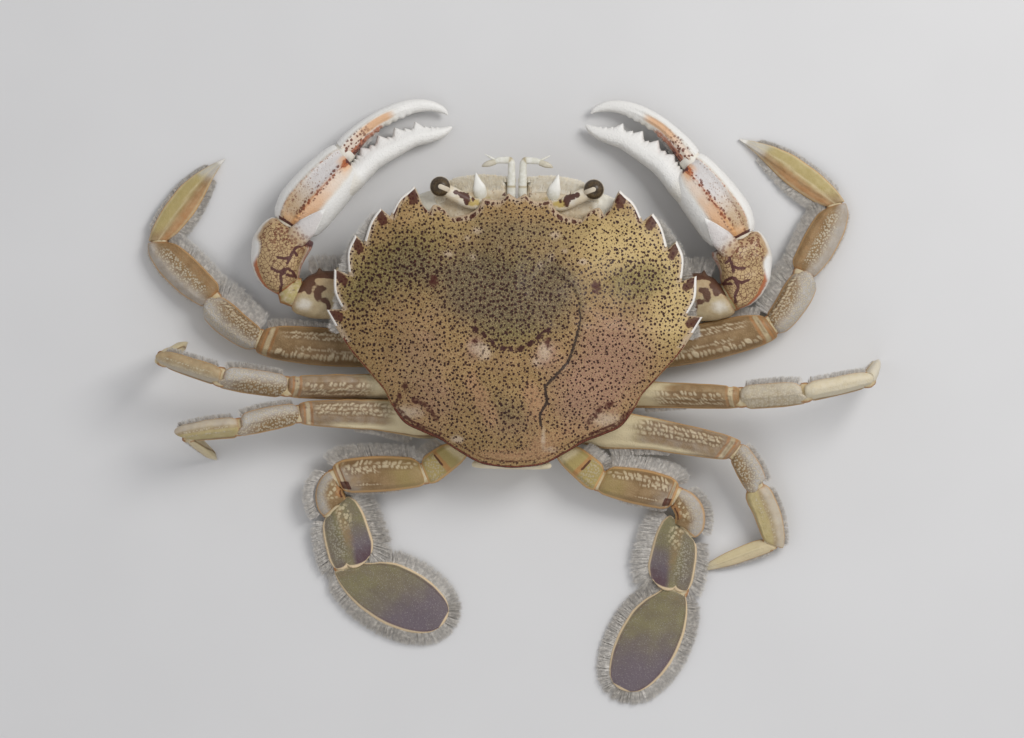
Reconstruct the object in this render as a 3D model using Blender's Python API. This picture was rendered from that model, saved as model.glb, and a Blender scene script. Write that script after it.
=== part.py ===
"""A life-size paddle crab laid out flat, every limb spread, as a museum shows it.

The crab faces -Y, its left side is +X and the floor is z = 0. The origin is the
middle of the flat of the belly, on which the crab lies. Sizes are in millimetres
and become metres when a mesh is made.
"""
import math
import random

import bmesh
import bpy
from mathutils import Vector

MM = 0.001
GAP = 0.3                      # clearance where two pieces meet

# Heights of the body
SHELL_UNDER = 15.6             # underside of the shell
SHELL_RIM = 17.4               # upper side of the shell at its margin
SHELL_TOP = 32.0               # highest point of the shell
SHELL_CENTRE = (0.0, -1.0)     # point from which the dome falls away

# The crab's left half of the shell's margin, front middle to rear middle.
# "notch" points lie on the smooth line between teeth, "tooth" points beyond it.
MARGIN = [
    ("notch", 0.0, -34.9), ("tooth", 2.2, -36.3), ("notch", 4.6, -34.5),
    ("tooth", 9.1, -34.8), ("notch", 10.3, -32.3), ("notch", 12.4, -30.8),
    ("notch", 15.0, -30.1), ("notch", 17.6, -29.7), ("tooth", 19.5, -31.9),
    ("tooth", 21.9, -32.9), ("notch", 23.3, -31.0), ("tooth", 25.2, -33.2),
    ("tooth", 27.3, -37.7), ("tooth", 28.6, -36.5), ("tooth", 31.1, -34.3),
    ("notch", 33.6, -29.6), ("tooth", 36.3, -31.7), ("tooth", 38.6, -28.2),
    ("notch", 40.5, -22.2), ("tooth", 42.8, -24.5), ("tooth", 44.6, -20.0),
    ("notch", 44.3, -13.8), ("tooth", 48.2, -15.3), ("tooth", 48.0, -9.4),
    ("notch", 45.8, -4.7), ("tooth", 50.0, -4.4), ("notch", 47.4, 0.2),
    ("notch", 43.7, 5.9), ("notch", 38.2, 12.2), ("notch", 34.4, 16.6),
    ("notch", 32.6, 20.0), ("notch", 29.0, 25.0), ("notch", 24.1, 27.5),
    ("notch", 19.2, 29.5), ("notch", 13.8, 32.8), ("notch", 8.4, 35.6),
    ("notch", 3.1, 36.5), ("notch", 0.0, 36.7),
]

SHELL_LOCKS = 9                # locks of hair between the teeth, each side

# Sternum and side walls under the shell: height, half width, front, rear
UNDERBODY_LEVELS = [
    (2.5, 17.0, -19.0, 30.0),
    (4.2, 25.2, -25.0, 33.2),
    (6.5, 25.8, -30.0, 33.9),
    (12.4, 26.0, -32.6, 33.9),
]
UNDERBODY_SQUARE = 2.6

# Half widths along each limb piece: (place, front, back, half thickness)
CHELIPED_MERUS = [
    (0.00, 4.4, 4.2, 3.6), (0.25, 5.4, 5.2, 4.3), (0.60, 6.6, 6.4, 4.8),
    (0.80, 6.6, 6.2, 4.9), (0.93, 5.6, 5.2, 4.6), (1.00, 4.2, 4.0, 4.0),
]
CHELIPED_CARPUS = [
    (0.00, 2.4, 2.8, 4.0), (0.10, 6.4, 3.0, 5.6), (0.25, 9.0, 3.2, 6.4),
    (0.45, 10.4, 4.0, 6.9), (0.65, 10.4, 5.0, 6.9), (0.82, 9.0, 5.8, 6.4),
    (0.94, 7.0, 6.0, 5.2), (1.00, 5.6, 5.4, 4.2),
]
LEG2_MERUS = [
    (0.00, 3.0, 3.0, 2.8), (0.20, 4.0, 4.6, 3.2), (0.60, 4.6, 5.7, 3.3),
    (0.85, 4.4, 5.2, 3.2), (0.95, 4.0, 4.6, 3.0), (1.00, 3.2, 3.6, 2.6),
]
LEG2_CARPUS = [
    (0.00, 2.2, 2.9, 2.5), (0.12, 2.6, 4.4, 2.9), (0.35, 2.6, 5.4, 3.0),
    (0.65, 2.8, 5.8, 3.0), (0.88, 2.5, 5.3, 2.8), (1.00, 2.0, 4.0, 2.4),
]
LEG2_PROPODUS = [
    (0.00, 3.2, 3.0, 2.3), (0.12, 4.2, 4.0, 2.6), (0.35, 4.2, 5.2, 2.6),
    (0.60, 4.0, 5.5, 2.4), (0.85, 3.3, 4.6, 2.2), (1.00, 1.9, 2.5, 1.8),
]
LEG2_DACTYL = [
    (0.00, 1.7, 2.3, 1.5), (0.14, 2.5, 3.8, 1.6), (0.35, 2.7, 4.8, 1.5),
    (0.52, 2.2, 4.9, 1.4), (0.70, 1.2, 4.0, 1.2), (0.86, 0.4, 2.3, 0.9),
    (1.00, 0.05, 0.25, 0.4),
]
LEG3_MERUS = [
    (0.00, 3.0, 3.0, 2.4), (0.25, 4.1, 4.1, 2.5), (0.65, 4.4, 4.4, 2.5),
    (0.93, 4.0, 4.0, 2.4), (1.00, 3.3, 3.3, 2.1),
]
LEG3_CARPUS = [
    (0.00, 3.0, 3.0, 2.1), (0.15, 3.8, 3.8, 2.5), (0.60, 4.1, 4.1, 2.5),
    (0.90, 3.6, 3.6, 2.2), (1.00, 2.9, 2.9, 1.8),
]
LEG3_PROPODUS = [
    (0.00, 2.9, 2.9, 1.8), (0.15, 3.7, 3.7, 2.1), (0.60, 3.6, 3.6, 2.0),
    (0.90, 3.0, 3.0, 1.8), (1.00, 2.4, 2.4, 1.5),
]
LEG3_DACTYL = [
    (0.00, 2.2, 2.2, 1.5), (0.15, 2.6, 2.6, 1.6), (0.45, 2.4, 2.4, 1.4),
    (0.75, 1.5, 1.6, 1.0), (1.00, 0.3, 0.3, 0.3),
]
LEG4_MERUS = [
    (0.00, 3.0, 3.0, 2.3), (0.20, 4.0, 4.0, 2.5), (0.50, 4.7, 4.0, 2.5),
    (0.85, 4.4, 3.4, 2.5), (0.95, 3.9, 3.2, 2.4), (1.00, 3.1, 2.6, 2.1),
]
LEG4_CARPUS = [
    (0.00, 2.6, 2.2, 2.1), (0.15, 3.6, 2.5, 2.5), (0.60, 4.2, 2.7, 2.5),
    (0.90, 3.8, 2.6, 2.3), (1.00, 3.0, 2.3, 2.0),
]
LEG4_PROPODUS = [
    (0.00, 3.0, 2.6, 1.9), (0.15, 4.2, 3.2, 2.2), (0.50, 4.9, 2.4, 2.1),
    (0.80, 4.3, 2.0, 1.9), (1.00, 3.0, 1.7, 1.6),
]
LEG4_DACTYL = [
    (0.00, 1.9, 1.9, 1.4), (0.15, 2.2, 2.2, 1.4), (0.50, 2.0, 2.0, 1.2),
    (0.80, 1.2, 1.3, 0.9), (1.00, 0.3, 0.3, 0.35),
]
LEG5_BASE = [
    (0.00, 2.6, 2.6, 2.4), (0.30, 3.6, 3.6, 2.9), (0.80, 3.9, 3.9, 2.9),
    (1.00, 3.2, 3.2, 2.5),
]
LEG5_MERUS = [
    (0.00, 3.2, 2.6, 2.4), (0.12, 4.6, 3.6, 2.9), (0.55, 5.4, 4.3, 3.0),
    (0.85, 5.0, 4.3, 2.9), (0.95, 4.4, 4.0, 2.7), (1.00, 3.5, 3.2, 2.3),
]
LEG5_CARPUS = [
    (0.00, 2.9, 2.9, 2.2), (0.20, 3.9, 3.2, 2.6), (0.55, 4.6, 3.4, 2.6),
    (0.85, 4.6, 3.6, 2.3), (1.00, 3.9, 3.4, 1.8),
]
LEG5_PROPODUS = [
    (0.00, 3.2, 4.8, 1.3), (0.14, 4.1, 6.7, 1.7), (0.40, 4.7, 7.7, 1.7),
    (0.75, 4.9, 7.9, 1.5), (0.92, 4.5, 7.0, 1.3), (1.00, 3.7, 5.7, 1.1),
]
LEG5_PADDLE = [
    (0.00, 3.4, 2.0, 1.0), (0.08, 5.4, 3.2, 1.2), (0.20, 7.3, 5.4, 1.3),
    (0.36, 8.7, 6.9, 1.3), (0.54, 9.2, 7.2, 1.25), (0.70, 8.6, 6.7, 1.2),
    (0.83, 7.0, 5.4, 1.1), (0.93, 5.0, 3.7, 1.0), (0.98, 2.8, 2.0, 0.85),
    (1.00, 1.1, 0.8, 0.6),
]

# The hand in its own plan: along from near the wrist to the finger's tip, and
# across, towards the outer side. Each is (along, across, half width, half thickness).
HANDS = {
    "left": ((60.3, -27.6), (18.9, -57.0)),
    "right": ((-59.2, -26.6), (-18.3, -58.9)),
}
SHOULDERS = {"left": -8.6, "right": -9.4}
# Elbow: end of the merus and its face, start of the carpus and its face
ELBOWS = {
    "left": ((58.6, -8.2), (0.93, -0.36), (60.9, -9.8), (0.6, -0.8)),
    "right": ((-57.2, -9.7), (-0.86, -0.50), (-57.2, -9.7), (-0.86, -0.50)),
}
ARM_HEIGHT = 6.8
WRIST = (-0.4, -1.2)
WRIST_FACE = (0.91, 0.41)
FINGER_FACE = (1.0, 0.1)
PALM = [
    (-0.4, -1.2, 5.7, 4.4), (1.6, -0.4, 7.0, 5.3), (6.0, 1.2, 7.8, 6.2),
    (11.0, 2.5, 7.7, 6.6), (17.0, 3.9, 7.4, 6.4), (20.6, 4.4, 7.0, 5.9),
    (22.2, 4.6, 6.2, 5.0),
]
FIXED_FINGER = [
    (15.0, 0.6, 3.4, 4.4), (20.5, 0.5, 3.2, 4.3), (24.0, 1.0, 2.9, 4.1), (28.0, 1.7, 3.0, 3.8),
    (33.0, 1.2, 2.7, 3.3), (39.0, 0.5, 2.4, 2.8), (43.5, -1.3, 2.0, 2.2),
    (47.0, -2.6, 1.4, 1.6), (49.3, -2.9, 0.7, 0.9), (50.1, -2.9, 0.25, 0.4),
]
MOVING_FINGER = [
    (22.3, 8.0, 3.1, 4.1), (24.6, 8.5, 3.0, 4.2), (29.5, 9.4, 2.6, 3.7),
    (34.0, 9.7, 2.3, 3.2), (39.0, 9.1, 2.2, 2.8), (43.0, 8.1, 2.0, 2.4),
    (46.6, 6.4, 1.7, 2.0), (49.2, 4.2, 1.3, 1.5), (50.8, 1.6, 0.7, 0.9),
    (51.0, 0.4, 0.25, 0.4),
]
CARPUS_SPINE = [(-3.5, -4.6, 5.4), (9.9, -2.4, 8.0)]    # along, across, above the hand
FIXED_TEETH = [(26.5, 4.1, 1.4), (31.6, 3.4, 2.1), (36.6, 2.8, 2.1), (41.4, 1.6, 2.3)]
MOVING_TEETH = [(32.0, 7.6, 1.2), (36.5, 7.2, 1.4), (40.8, 6.6, 1.4)]


class Pose:
    """Joint places of one limb, body to tip, with its rolls and set joint faces."""

    def __init__(self, joints, rolls=None, faces=None):
        self.joints = joints
        self.rolls = rolls or {}
        self.faces = faces or {}


POSES = {
    "left_leg_2": Pose([(6.4,), (68.2, 3.8, 5.4), (81.2, -6.6, 4.4),
                        (95.8, -21.9, 2.6), (78.5, -44.6, 0.5)]),
    "right_leg_2": Pose([(7.6,), (-68.8, -2.6, 5.4), (-77.2, -16.7, 4.4),
                         (-85.4, -35.2, 2.6), (-59.3, -52.5, 0.5)]),
    "left_leg_3": Pose([(15.8,), (60.4, 16.2, 15.5), (77.6, 14.0, 20.4),
                        (93.0, 9.4, 18.6), (87.8, 4.9, 0.0)],
                       rolls={"merus": 60, "carpus": 52, "propodus": 70, "dactyl": 90}),
    "right_leg_3": Pose([(16.4,), (-60.8, 16.8, 15.5), (-77.4, 15.2, 20.4),
                         (-94.2, 11.4, 19.0), (-98.2, 6.2, 0.0)],
                        rolls={"merus": 60, "carpus": 52, "propodus": 70, "dactyl": 90}),
    "left_leg_4": Pose([(23.6,), (57.1, 23.5, 13.6), (72.6, 27.2, 17.6),
                        (86.2, 29.5, 16.6), (79.2, 36.3, 0.0)],
                       rolls={"merus": 32, "carpus": 40, "propodus": 62, "dactyl": 90}),
    "right_leg_4": Pose([(24.4,), (-59.7, 31.2, 9.6), (-65.2, 40.8, 7.6),
                         (-69.8, 55.8, 3.4), (-50.9, 63.6, 0.5)],
                        rolls={"merus": 22, "carpus": 12, "propodus": 4}),
    "left_leg_5": Pose([(31.4,), (23.2, 38.8, 7.6), (47.0, 40.5, 6.0), (47.6, 48.9, 3.9),
                        (43.0, 64.0, 1.7), (16.6, 78.0, 1.0)],
                       faces={2: (0.92, 0.40), 3: (-0.73, 0.68), 4: (-0.33, 0.94)}),
    "right_leg_5": Pose([(31.4,), (-23.6, 39.8, 7.6), (-44.1, 43.6, 6.0), (-46.9, 52.6, 3.9),
                         (-43.9, 68.4, 1.7), (-30.0, 95.8, 1.0)],
                        faces={2: (-0.93, 0.36), 3: (0.73, 0.68), 4: (0.27, 0.96)}),
}

# Fringes of hair: (front side, from, to, locks, shortest and longest, width)
FRINGE_THICK = 0.9
PADDLE_FRINGE = (3.0, 3.3)
FRINGES = {
    "leg_2_carpus": [(True, 0.15, 0.95, 6, (3.6, 4.8), 3.2)],
    "leg_2_propodus": [(True, 0.10, 0.93, 7, (2.4, 2.8), 3.2)],
    "leg_2_dactyl": [(True, 0.08, 0.62, 6, (2.7, 1.8), 3.0), (False, 0.30, 0.80, 5, (1.1, 1.1), 2.8)],
    "leg_3_carpus": [(True, 0.15, 0.90, 4, (1.3, 1.5), 3.0)],
    "leg_3_propodus": [(True, 0.12, 0.85, 4, (1.4, 1.4), 3.0)],
    "leg_4_carpus": [(True, 0.20, 0.90, 4, (1.3, 1.5), 3.0)],
    "leg_4_propodus": [(True, 0.12, 0.85, 4, (1.3, 1.3), 3.0)],
    "leg_5_merus": [(True, 0.12, 0.96, 7, (2.6, 3.4), 3.4)],
    "leg_5_propodus": [(True, 0.14, 0.90, 5, (3.0, 3.4), 3.4), (False, 0.10, 0.92, 7, (4.6, 4.6), 3.4)],
}

COLOURS = {
    "shell": ((0.50, 0.37, 0.24), 0.45),
    "leg": ((0.46, 0.33, 0.20), 0.45),
    "claw": ((0.78, 0.70, 0.56), 0.40),
    "paddle": ((0.33, 0.27, 0.26), 0.45),
    "under": ((0.74, 0.66, 0.54), 0.55),
    "eye": ((0.06, 0.05, 0.03), 0.15),
    "feeler": ((0.56, 0.46, 0.34), 0.50),
}


def clear_scene():
    """Remove whatever objects the file holds."""
    for thing in list(bpy.data.objects):
        bpy.data.objects.remove(thing, do_unlink=True)


def material(kind):
    """Give the material of one kind of part, making it on first use."""
    if kind in bpy.data.materials:
        return bpy.data.materials[kind]
    colour, roughness = COLOURS[kind]
    made = bpy.data.materials.new(kind)
    made.use_nodes = True
    shader = made.node_tree.nodes["Principled BSDF"]
    shader.inputs["Base Color"].default_value = (*colour, 1.0)
    shader.inputs["Roughness"].default_value = roughness
    shader.inputs["Metallic"].default_value = 0.0
    return made


def make_object(name, shape, kind):
    """Make an object from points in millimetres; none goes below the floor."""
    points, faces = shape
    mesh = bpy.data.meshes.new(name)
    mesh.from_pydata([(x * MM, y * MM, max(z, 0.0) * MM) for x, y, z in points], [], faces)
    build = bmesh.new()
    build.from_mesh(mesh)
    bmesh.ops.recalc_face_normals(build, faces=build.faces)
    if build.calc_volume(signed=True) < 0:
        bmesh.ops.reverse_faces(build, faces=build.faces)
    build.to_mesh(mesh)
    build.free()
    mesh.shade_smooth()
    mesh.set_sharp_from_angle(angle=math.radians(50))
    made = bpy.data.objects.new(name, mesh)
    made.data.materials.append(material(kind))
    bpy.context.scene.collection.objects.link(made)
    return made


def skin_rings(rings):
    """Join rings of equal count into one closed shape, its ends capped."""
    count = len(rings[0])
    points = [tuple(p) for ring in rings for p in ring]
    faces = []
    for row in range(len(rings) - 1):
        for k in range(count):
            a = row * count + k
            b = row * count + (k + 1) % count
            faces.append((a, b, b + count, a + count))
    last = (len(rings) - 1) * count
    for ring_start in (0, last):
        loop = list(range(ring_start, ring_start + count))
        middle = len(points)
        centre = sum((Vector(points[i]) for i in loop), Vector()) / count
        points.append(tuple(centre))
        for k in range(count):
            faces.append((loop[k], loop[(k + 1) % count], middle))
    return points, faces


def section(front, back, top, bottom, count, square=2.3):
    """Give the offsets (across, up) of a rounded section."""
    offsets = []
    for k in range(count):
        turn = 2 * math.pi * k / count
        c, s = math.cos(turn), math.sin(turn)
        across = math.copysign(abs(c) ** (2 / square), c) * (front if c > 0 else back)
        up = math.copysign(abs(s) ** (2 / square), s) * (top if s > 0 else bottom)
        offsets.append((across, up))
    return offsets


class LimbPiece:
    """One piece of a limb, running straight between two joint faces."""

    def __init__(self, start, end, start_face, end_face, stations, side, roll=0.0):
        self.start, self.end = Vector(start), Vector(end)
        self.along = (self.end - self.start).normalized()
        level = Vector((self.along.y, -self.along.x, 0.0)).normalized() * side
        self.level = level
        upright = level.cross(self.along)
        if upright.z < 0:
            upright = -upright
        turn = math.radians(roll)
        self.across = level * math.cos(turn) + upright * math.sin(turn)
        self.up = upright * math.cos(turn) - level * math.sin(turn)
        self.length = (self.end - self.start).length
        self.faces = (Vector(start_face).normalized(), Vector(end_face).normalized())
        self.stations = stations

    def place(self, t, across, up):
        """Give the point at fraction t between the faces, set off across and up."""
        limits = []
        for normal, base, gap, row in ((self.faces[0], 0.0, GAP / 2, self.stations[0]),
                                       (self.faces[1], self.length, -GAP / 2, self.stations[-1])):
            a = max(-row[2], min(row[1], across))
            b = max(-row[3], min(row[3], up))
            lean = (self.across * a + self.up * b).dot(normal)
            limits.append(base + (gap - lean) / self.along.dot(normal))
        return (self.start + self.across * across + self.up * up
                + self.along * (limits[0] + t * (limits[1] - limits[0])))

    def widths(self, t):
        """Give front, back and half thickness at fraction t."""
        for low, high in zip(self.stations, self.stations[1:]):
            if low[0] <= t <= high[0]:
                mix = (t - low[0]) / (high[0] - low[0])
                return [a + (b - a) * mix for a, b in zip(low[1:], high[1:])]
        return list(self.stations[-1][1:])

    def shape(self, count=12):
        """Give the closed shape of the piece."""
        rings = []
        for t, front, back, thick in self.stations:
            rings.append([self.place(t, a, b) for a, b in section(front, back, thick, thick, count)])
        return skin_rings(rings)

    def edge(self, t, front=True):
        """Give the outermost point, seen from above, on the front or the back side."""
        f, b, thick = self.widths(t)
        sign = 1 if front else -1
        ring = [self.place(t, a, up) for a, up in section(f, b, thick, thick, 48)]
        return max(ring, key=lambda point: sign * point.dot(self.level))

    def edge_line(self, low, high, front=True, count=14):
        """Give points along one edge between two fractions."""
        return [self.edge(low + (high - low) * k / count, front) for k in range(count + 1)]


def sweep(path, wide, thick, count=8, faces=None, square=2.2):
    """Carry a section along a bent path, its planes halving each bend."""
    path = [Vector(p) for p in path]
    rings = []
    for i, here in enumerate(path):
        before = (here - path[i - 1]).normalized() if i else None
        after = (path[i + 1] - here).normalized() if i < len(path) - 1 else None
        along = (before or Vector()) + (after or Vector())
        if faces and faces[i]:
            along = Vector((faces[i][0], faces[i][1], 0.0))
        along.normalize()
        level = Vector((along.y, -along.x, 0.0)).normalized()
        upright = level.cross(along).normalized()
        if before and after and not (faces and faces[i]):
            stretch = 1.0 / max(0.5, before.dot(along))
        else:
            stretch = 1.0
        w, h = wide[i], thick[i]
        front, back = w if isinstance(w, tuple) else (w, w)
        rings.append([here + level * a * stretch + upright * b
                      for a, b in section(front, back, h, h, count, square)])
    return skin_rings(rings)


def lock(root, tip, width, thick):
    """Give a flat tapered lock of hair, a little wider past its root."""
    root, tip = Vector(root), Vector(tip)
    along = (tip - root).normalized()
    level = Vector((along.y, -along.x, 0.0)).normalized()
    upright = level.cross(along)
    rings = []
    for t, w, h in ((0.0, 0.45, 0.5), (0.55, 0.5, 0.45), (1.0, 0.10, 0.25)):
        here = root.lerp(tip, t)
        rings.append([here + level * width * w, here + upright * thick * h,
                      here - level * width * w, here - upright * thick * h])
    points = [tuple(p) for ring in rings for p in ring]
    faces = [(0, 1, 2, 3), (11, 10, 9, 8)]
    for row in range(2):
        for k in range(4):
            a, b = row * 4 + k, row * 4 + (k + 1) % 4
            faces.append((a, b, b + 4, a + 4))
    return points, faces


def cone(base, tip, radius, count=6):
    """Give a pointed tooth whose root ring lies round the base point."""
    base, tip = Vector(base), Vector(tip)
    along = (tip - base).normalized()
    one = along.orthogonal().normalized()
    two = along.cross(one)
    points = [tuple(base + (one * math.cos(2 * math.pi * k / count)
                            + two * math.sin(2 * math.pi * k / count)) * radius)
              for k in range(count)]
    points.append(tuple(tip))
    faces = [tuple(range(count))]
    faces += [(k, (k + 1) % count, count) for k in range(count)]
    return points, faces


def fuse(body, shapes):
    """Join closed shapes to a body with one union and keep its largest surface."""
    if not shapes:
        return body
    group = bpy.data.collections.new(body.name + "_growths")
    bpy.context.scene.collection.children.link(group)
    for index, shape in enumerate(shapes):
        growth = make_object(f"growth_{index}", shape, "shell")
        bpy.context.scene.collection.objects.unlink(growth)
        group.objects.link(growth)
    union = body.modifiers.new("growths", "BOOLEAN")
    union.operation = "UNION"
    union.operand_type = "COLLECTION"
    union.collection = group
    union.solver = "MANIFOLD"
    depsgraph = bpy.context.evaluated_depsgraph_get()
    joined = bpy.data.meshes.new_from_object(body.evaluated_get(depsgraph))
    body.modifiers.clear()
    body.data = joined
    for growth in list(group.objects):
        bpy.data.objects.remove(growth, do_unlink=True)
    bpy.data.collections.remove(group)
    keep_largest(body.data)
    body.data.shade_smooth()
    body.data.set_sharp_from_angle(angle=math.radians(50))
    return body


def keep_largest(mesh):
    """Drop every closed surface but the largest, and merge points that coincide."""
    build = bmesh.new()
    build.from_mesh(mesh)
    bmesh.ops.triangulate(build, faces=build.faces)
    bmesh.ops.remove_doubles(build, verts=build.verts, dist=1e-7)
    seen, groups = set(), []
    for vert in build.verts:
        if vert in seen:
            continue
        stack, group = [vert], []
        seen.add(vert)
        while stack:
            here = stack.pop()
            group.append(here)
            for edge in here.link_edges:
                other = edge.other_vert(here)
                if other not in seen:
                    seen.add(other)
                    stack.append(other)
        groups.append(group)
    groups.sort(key=len, reverse=True)
    for group in groups[1:]:
        bmesh.ops.delete(build, geom=group, context="VERTS")
    build.to_mesh(mesh)
    build.free()


def margin_ring():
    """Give the whole margin and, for each point, its place on the smooth line."""
    smooth = {}
    notches = [i for i, p in enumerate(MARGIN) if p[0] == "notch"]
    for a, b in zip(notches, notches[1:]):
        for i in range(a, b + 1):
            mix = (i - a) / (b - a)
            smooth[i] = tuple(MARGIN[a][k] + (MARGIN[b][k] - MARGIN[a][k]) * mix for k in (1, 2))
    left = [((x, y), smooth[i]) for i, (_, x, y) in enumerate(MARGIN)]
    right = [((-x, y), (-s[0], s[1])) for (x, y), s in left[-2:0:-1]]
    return left + right


def dome(fraction):
    """Give the shell's height at a fraction of the way from its centre to its margin."""
    return SHELL_RIM + (SHELL_TOP - SHELL_RIM) * (1.0 - fraction ** 2.3)


def carapace_shape():
    """Give the toothed shell: a dome above, a level underside below."""
    centre = Vector(SHELL_CENTRE)
    ring = margin_ring()
    rings = []
    for fraction in (0.14, 0.32, 0.48, 0.62, 0.74, 0.85, 0.94):
        rings.append([(*(centre + (Vector(s) - centre) * fraction), dome(fraction)) for _, s in ring])
    rings.append([(*p, SHELL_RIM) for p, _ in ring])
    drawn_in = [Vector(p) + (centre - Vector(p)).normalized() * 0.4 for p, _ in ring]
    rings.append([(*p, SHELL_RIM - 1.3) for p in drawn_in])
    rings.append([(*(centre + (Vector(s) - centre) * 0.95), SHELL_UNDER) for _, s in ring])
    height, half_width, front, rear = UNDERBODY_LEVELS[-1]
    middle = Vector((0.0, (front + rear) / 2))
    inner = [(*wall_reach((Vector(s) - middle).normalized(), half_width, front, rear), height + GAP)
             for _, s in ring]
    rings.append(inner)
    return skin_rings(rings)


def shell_hair():
    """Give the locks that show between the side teeth, from under the shell's edge."""
    centre = Vector((*SHELL_CENTRE, 0.0))
    locks = []
    for side in (1, -1):
        line = [Vector((x * side, y, 0.0)) for kind, x, y in MARGIN[15:30] if kind == "notch"]
        line = [centre + (point - centre) * 0.95 + Vector((0.0, 0.0, 14.9)) for point in line]
        locks += fringe(line, centre, SHELL_LOCKS, (3.8, 3.2), 3.4, lean=0.1, sink=3.0)
    return locks


def wall_reach(aim, half_width, front, rear):
    """Give the point where a level of the side wall meets a direction from its middle."""
    middle, reach = (front + rear) / 2, (rear - front) / 2
    far = (abs(aim.x) / half_width) ** UNDERBODY_SQUARE + (abs(aim.y) / reach) ** UNDERBODY_SQUARE
    length = far ** (-1 / UNDERBODY_SQUARE)
    return aim.x * length, middle + aim.y * length


def underbody_shape(count=44):
    """Give the sternum and the walls that carry the limbs, up to the shell."""
    rings = []
    for height, half_width, front, rear in UNDERBODY_LEVELS:
        aims = [Vector((math.cos(2 * math.pi * k / count), math.sin(2 * math.pi * k / count)))
                for k in range(count)]
        rings.append([(*wall_reach(aim, half_width, front, rear), height) for aim in aims])
    return skin_rings(rings)


def body_side(y, side):
    """Give the place on the side wall at one y, and its outward direction."""
    _, half_width, front, rear = UNDERBODY_LEVELS[-1]
    middle, reach = (front + rear) / 2, (rear - front) / 2
    part = abs((y - middle) / reach)
    x = half_width * (1 - part ** UNDERBODY_SQUARE) ** (1 / UNDERBODY_SQUARE)
    outward = Vector((part_slope(x / half_width) / half_width,
                      math.copysign(part_slope(part), y - middle) / reach, 0.0)).normalized()
    return Vector((x * side, y, 0.0)), Vector((outward.x * side, outward.y, 0.0))


def part_slope(value):
    """Give the slope of the wall's rule at one part of its reach."""
    return value ** (UNDERBODY_SQUARE - 1)


def limb(name, pieces, kinds, root_height):
    """Build the pieces of one limb from its pose; give them by piece name."""
    pose = POSES[name]
    side = 1 if name.startswith("left") else -1
    root, outward = body_side(pose.joints[0][0], side)
    places = [Vector((root.x, root.y, root_height)) + outward * GAP / 2]
    places += [Vector(p) for p in pose.joints[1:]]
    made = {}
    for i, (piece, stations) in enumerate(pieces):
        here, there = places[i], places[i + 1]
        along = (there - here).normalized()
        if i == 0:
            start_face = outward
        else:
            start_face = joint_face(pose, i, places)
        if i + 2 < len(places):
            end_face = joint_face(pose, i + 1, places)
        else:
            end_face = along
        made[piece] = LimbPiece(here, there, start_face, end_face, stations, side,
                                pose.rolls.get(piece, 0.0))
        if kinds.get(piece):
            solid = make_object(f"{name}_{piece}", made[piece].shape(), kinds[piece])
            locks = []
            for front, low, high, count, lengths, width in FRINGES.get(f"{name[-5:]}_{piece}", []):
                line = made[piece].edge_line(low, high, front)
                locks += fringe(line, made[piece].place(0.5, 0.0, 0.0), count, lengths, width)
            if piece == "paddle":
                locks = paddle_fringe(made[piece])
            fuse(solid, locks)
    return made


def paddle_fringe(paddle):
    """Give the fringe all round a paddle but its joint."""
    middle = paddle.place(0.5, 0.0, 0.0)
    front = paddle.edge_line(0.10, 0.995, True, 24)
    back = paddle.edge_line(0.16, 0.995, False, 24)
    return (fringe(front, middle, 12, PADDLE_FRINGE, 3.6) + fringe(back, middle, 11, PADDLE_FRINGE, 3.6))


def joint_face(pose, i, places):
    """Give the direction that a joint's face looks in."""
    if i in pose.faces:
        return Vector((*pose.faces[i], 0.0))
    before = (places[i] - places[i - 1]).normalized()
    after = (places[i + 1] - places[i]).normalized()
    return (before + after).normalized()


def fringe(line, middle, count, lengths, width, lean=0.3, sink=1.5):
    """Give locks of hair spread evenly along an edge line, away from a middle place.

    They lean the way the line runs, their roots sunk inside the edge.
    """
    chance = random.Random(len(line) * 31 + count)
    steps = [(b - a).length for a, b in zip(line, line[1:])]
    total = sum(steps)
    locks = []
    for k in range(count):
        part = (k + 0.5) / count
        left = part * total
        row = 0
        while row < len(steps) - 1 and left > steps[row]:
            left -= steps[row]
            row += 1
        here = line[row].lerp(line[row + 1], left / steps[row])
        ahead = line[row + 1] - line[row]
        ahead.z = 0.0
        ahead.normalize()
        out = Vector((ahead.y, -ahead.x, 0.0))
        if out.dot(here - middle) < 0:
            out = -out
        aim = (out + ahead * (lean + chance.uniform(-0.05, 0.05))).normalized()
        reach = (lengths[0] + (lengths[1] - lengths[0]) * part) * chance.uniform(0.93, 1.07)
        tip = here + aim * reach
        tip.z = max(0.4, here.z + (0.25 if k % 2 else -0.25))
        root = here - aim * sink
        root.z = max(0.55, root.z)
        locks.append(lock(root, tip, width, FRINGE_THICK))
    return locks


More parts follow.
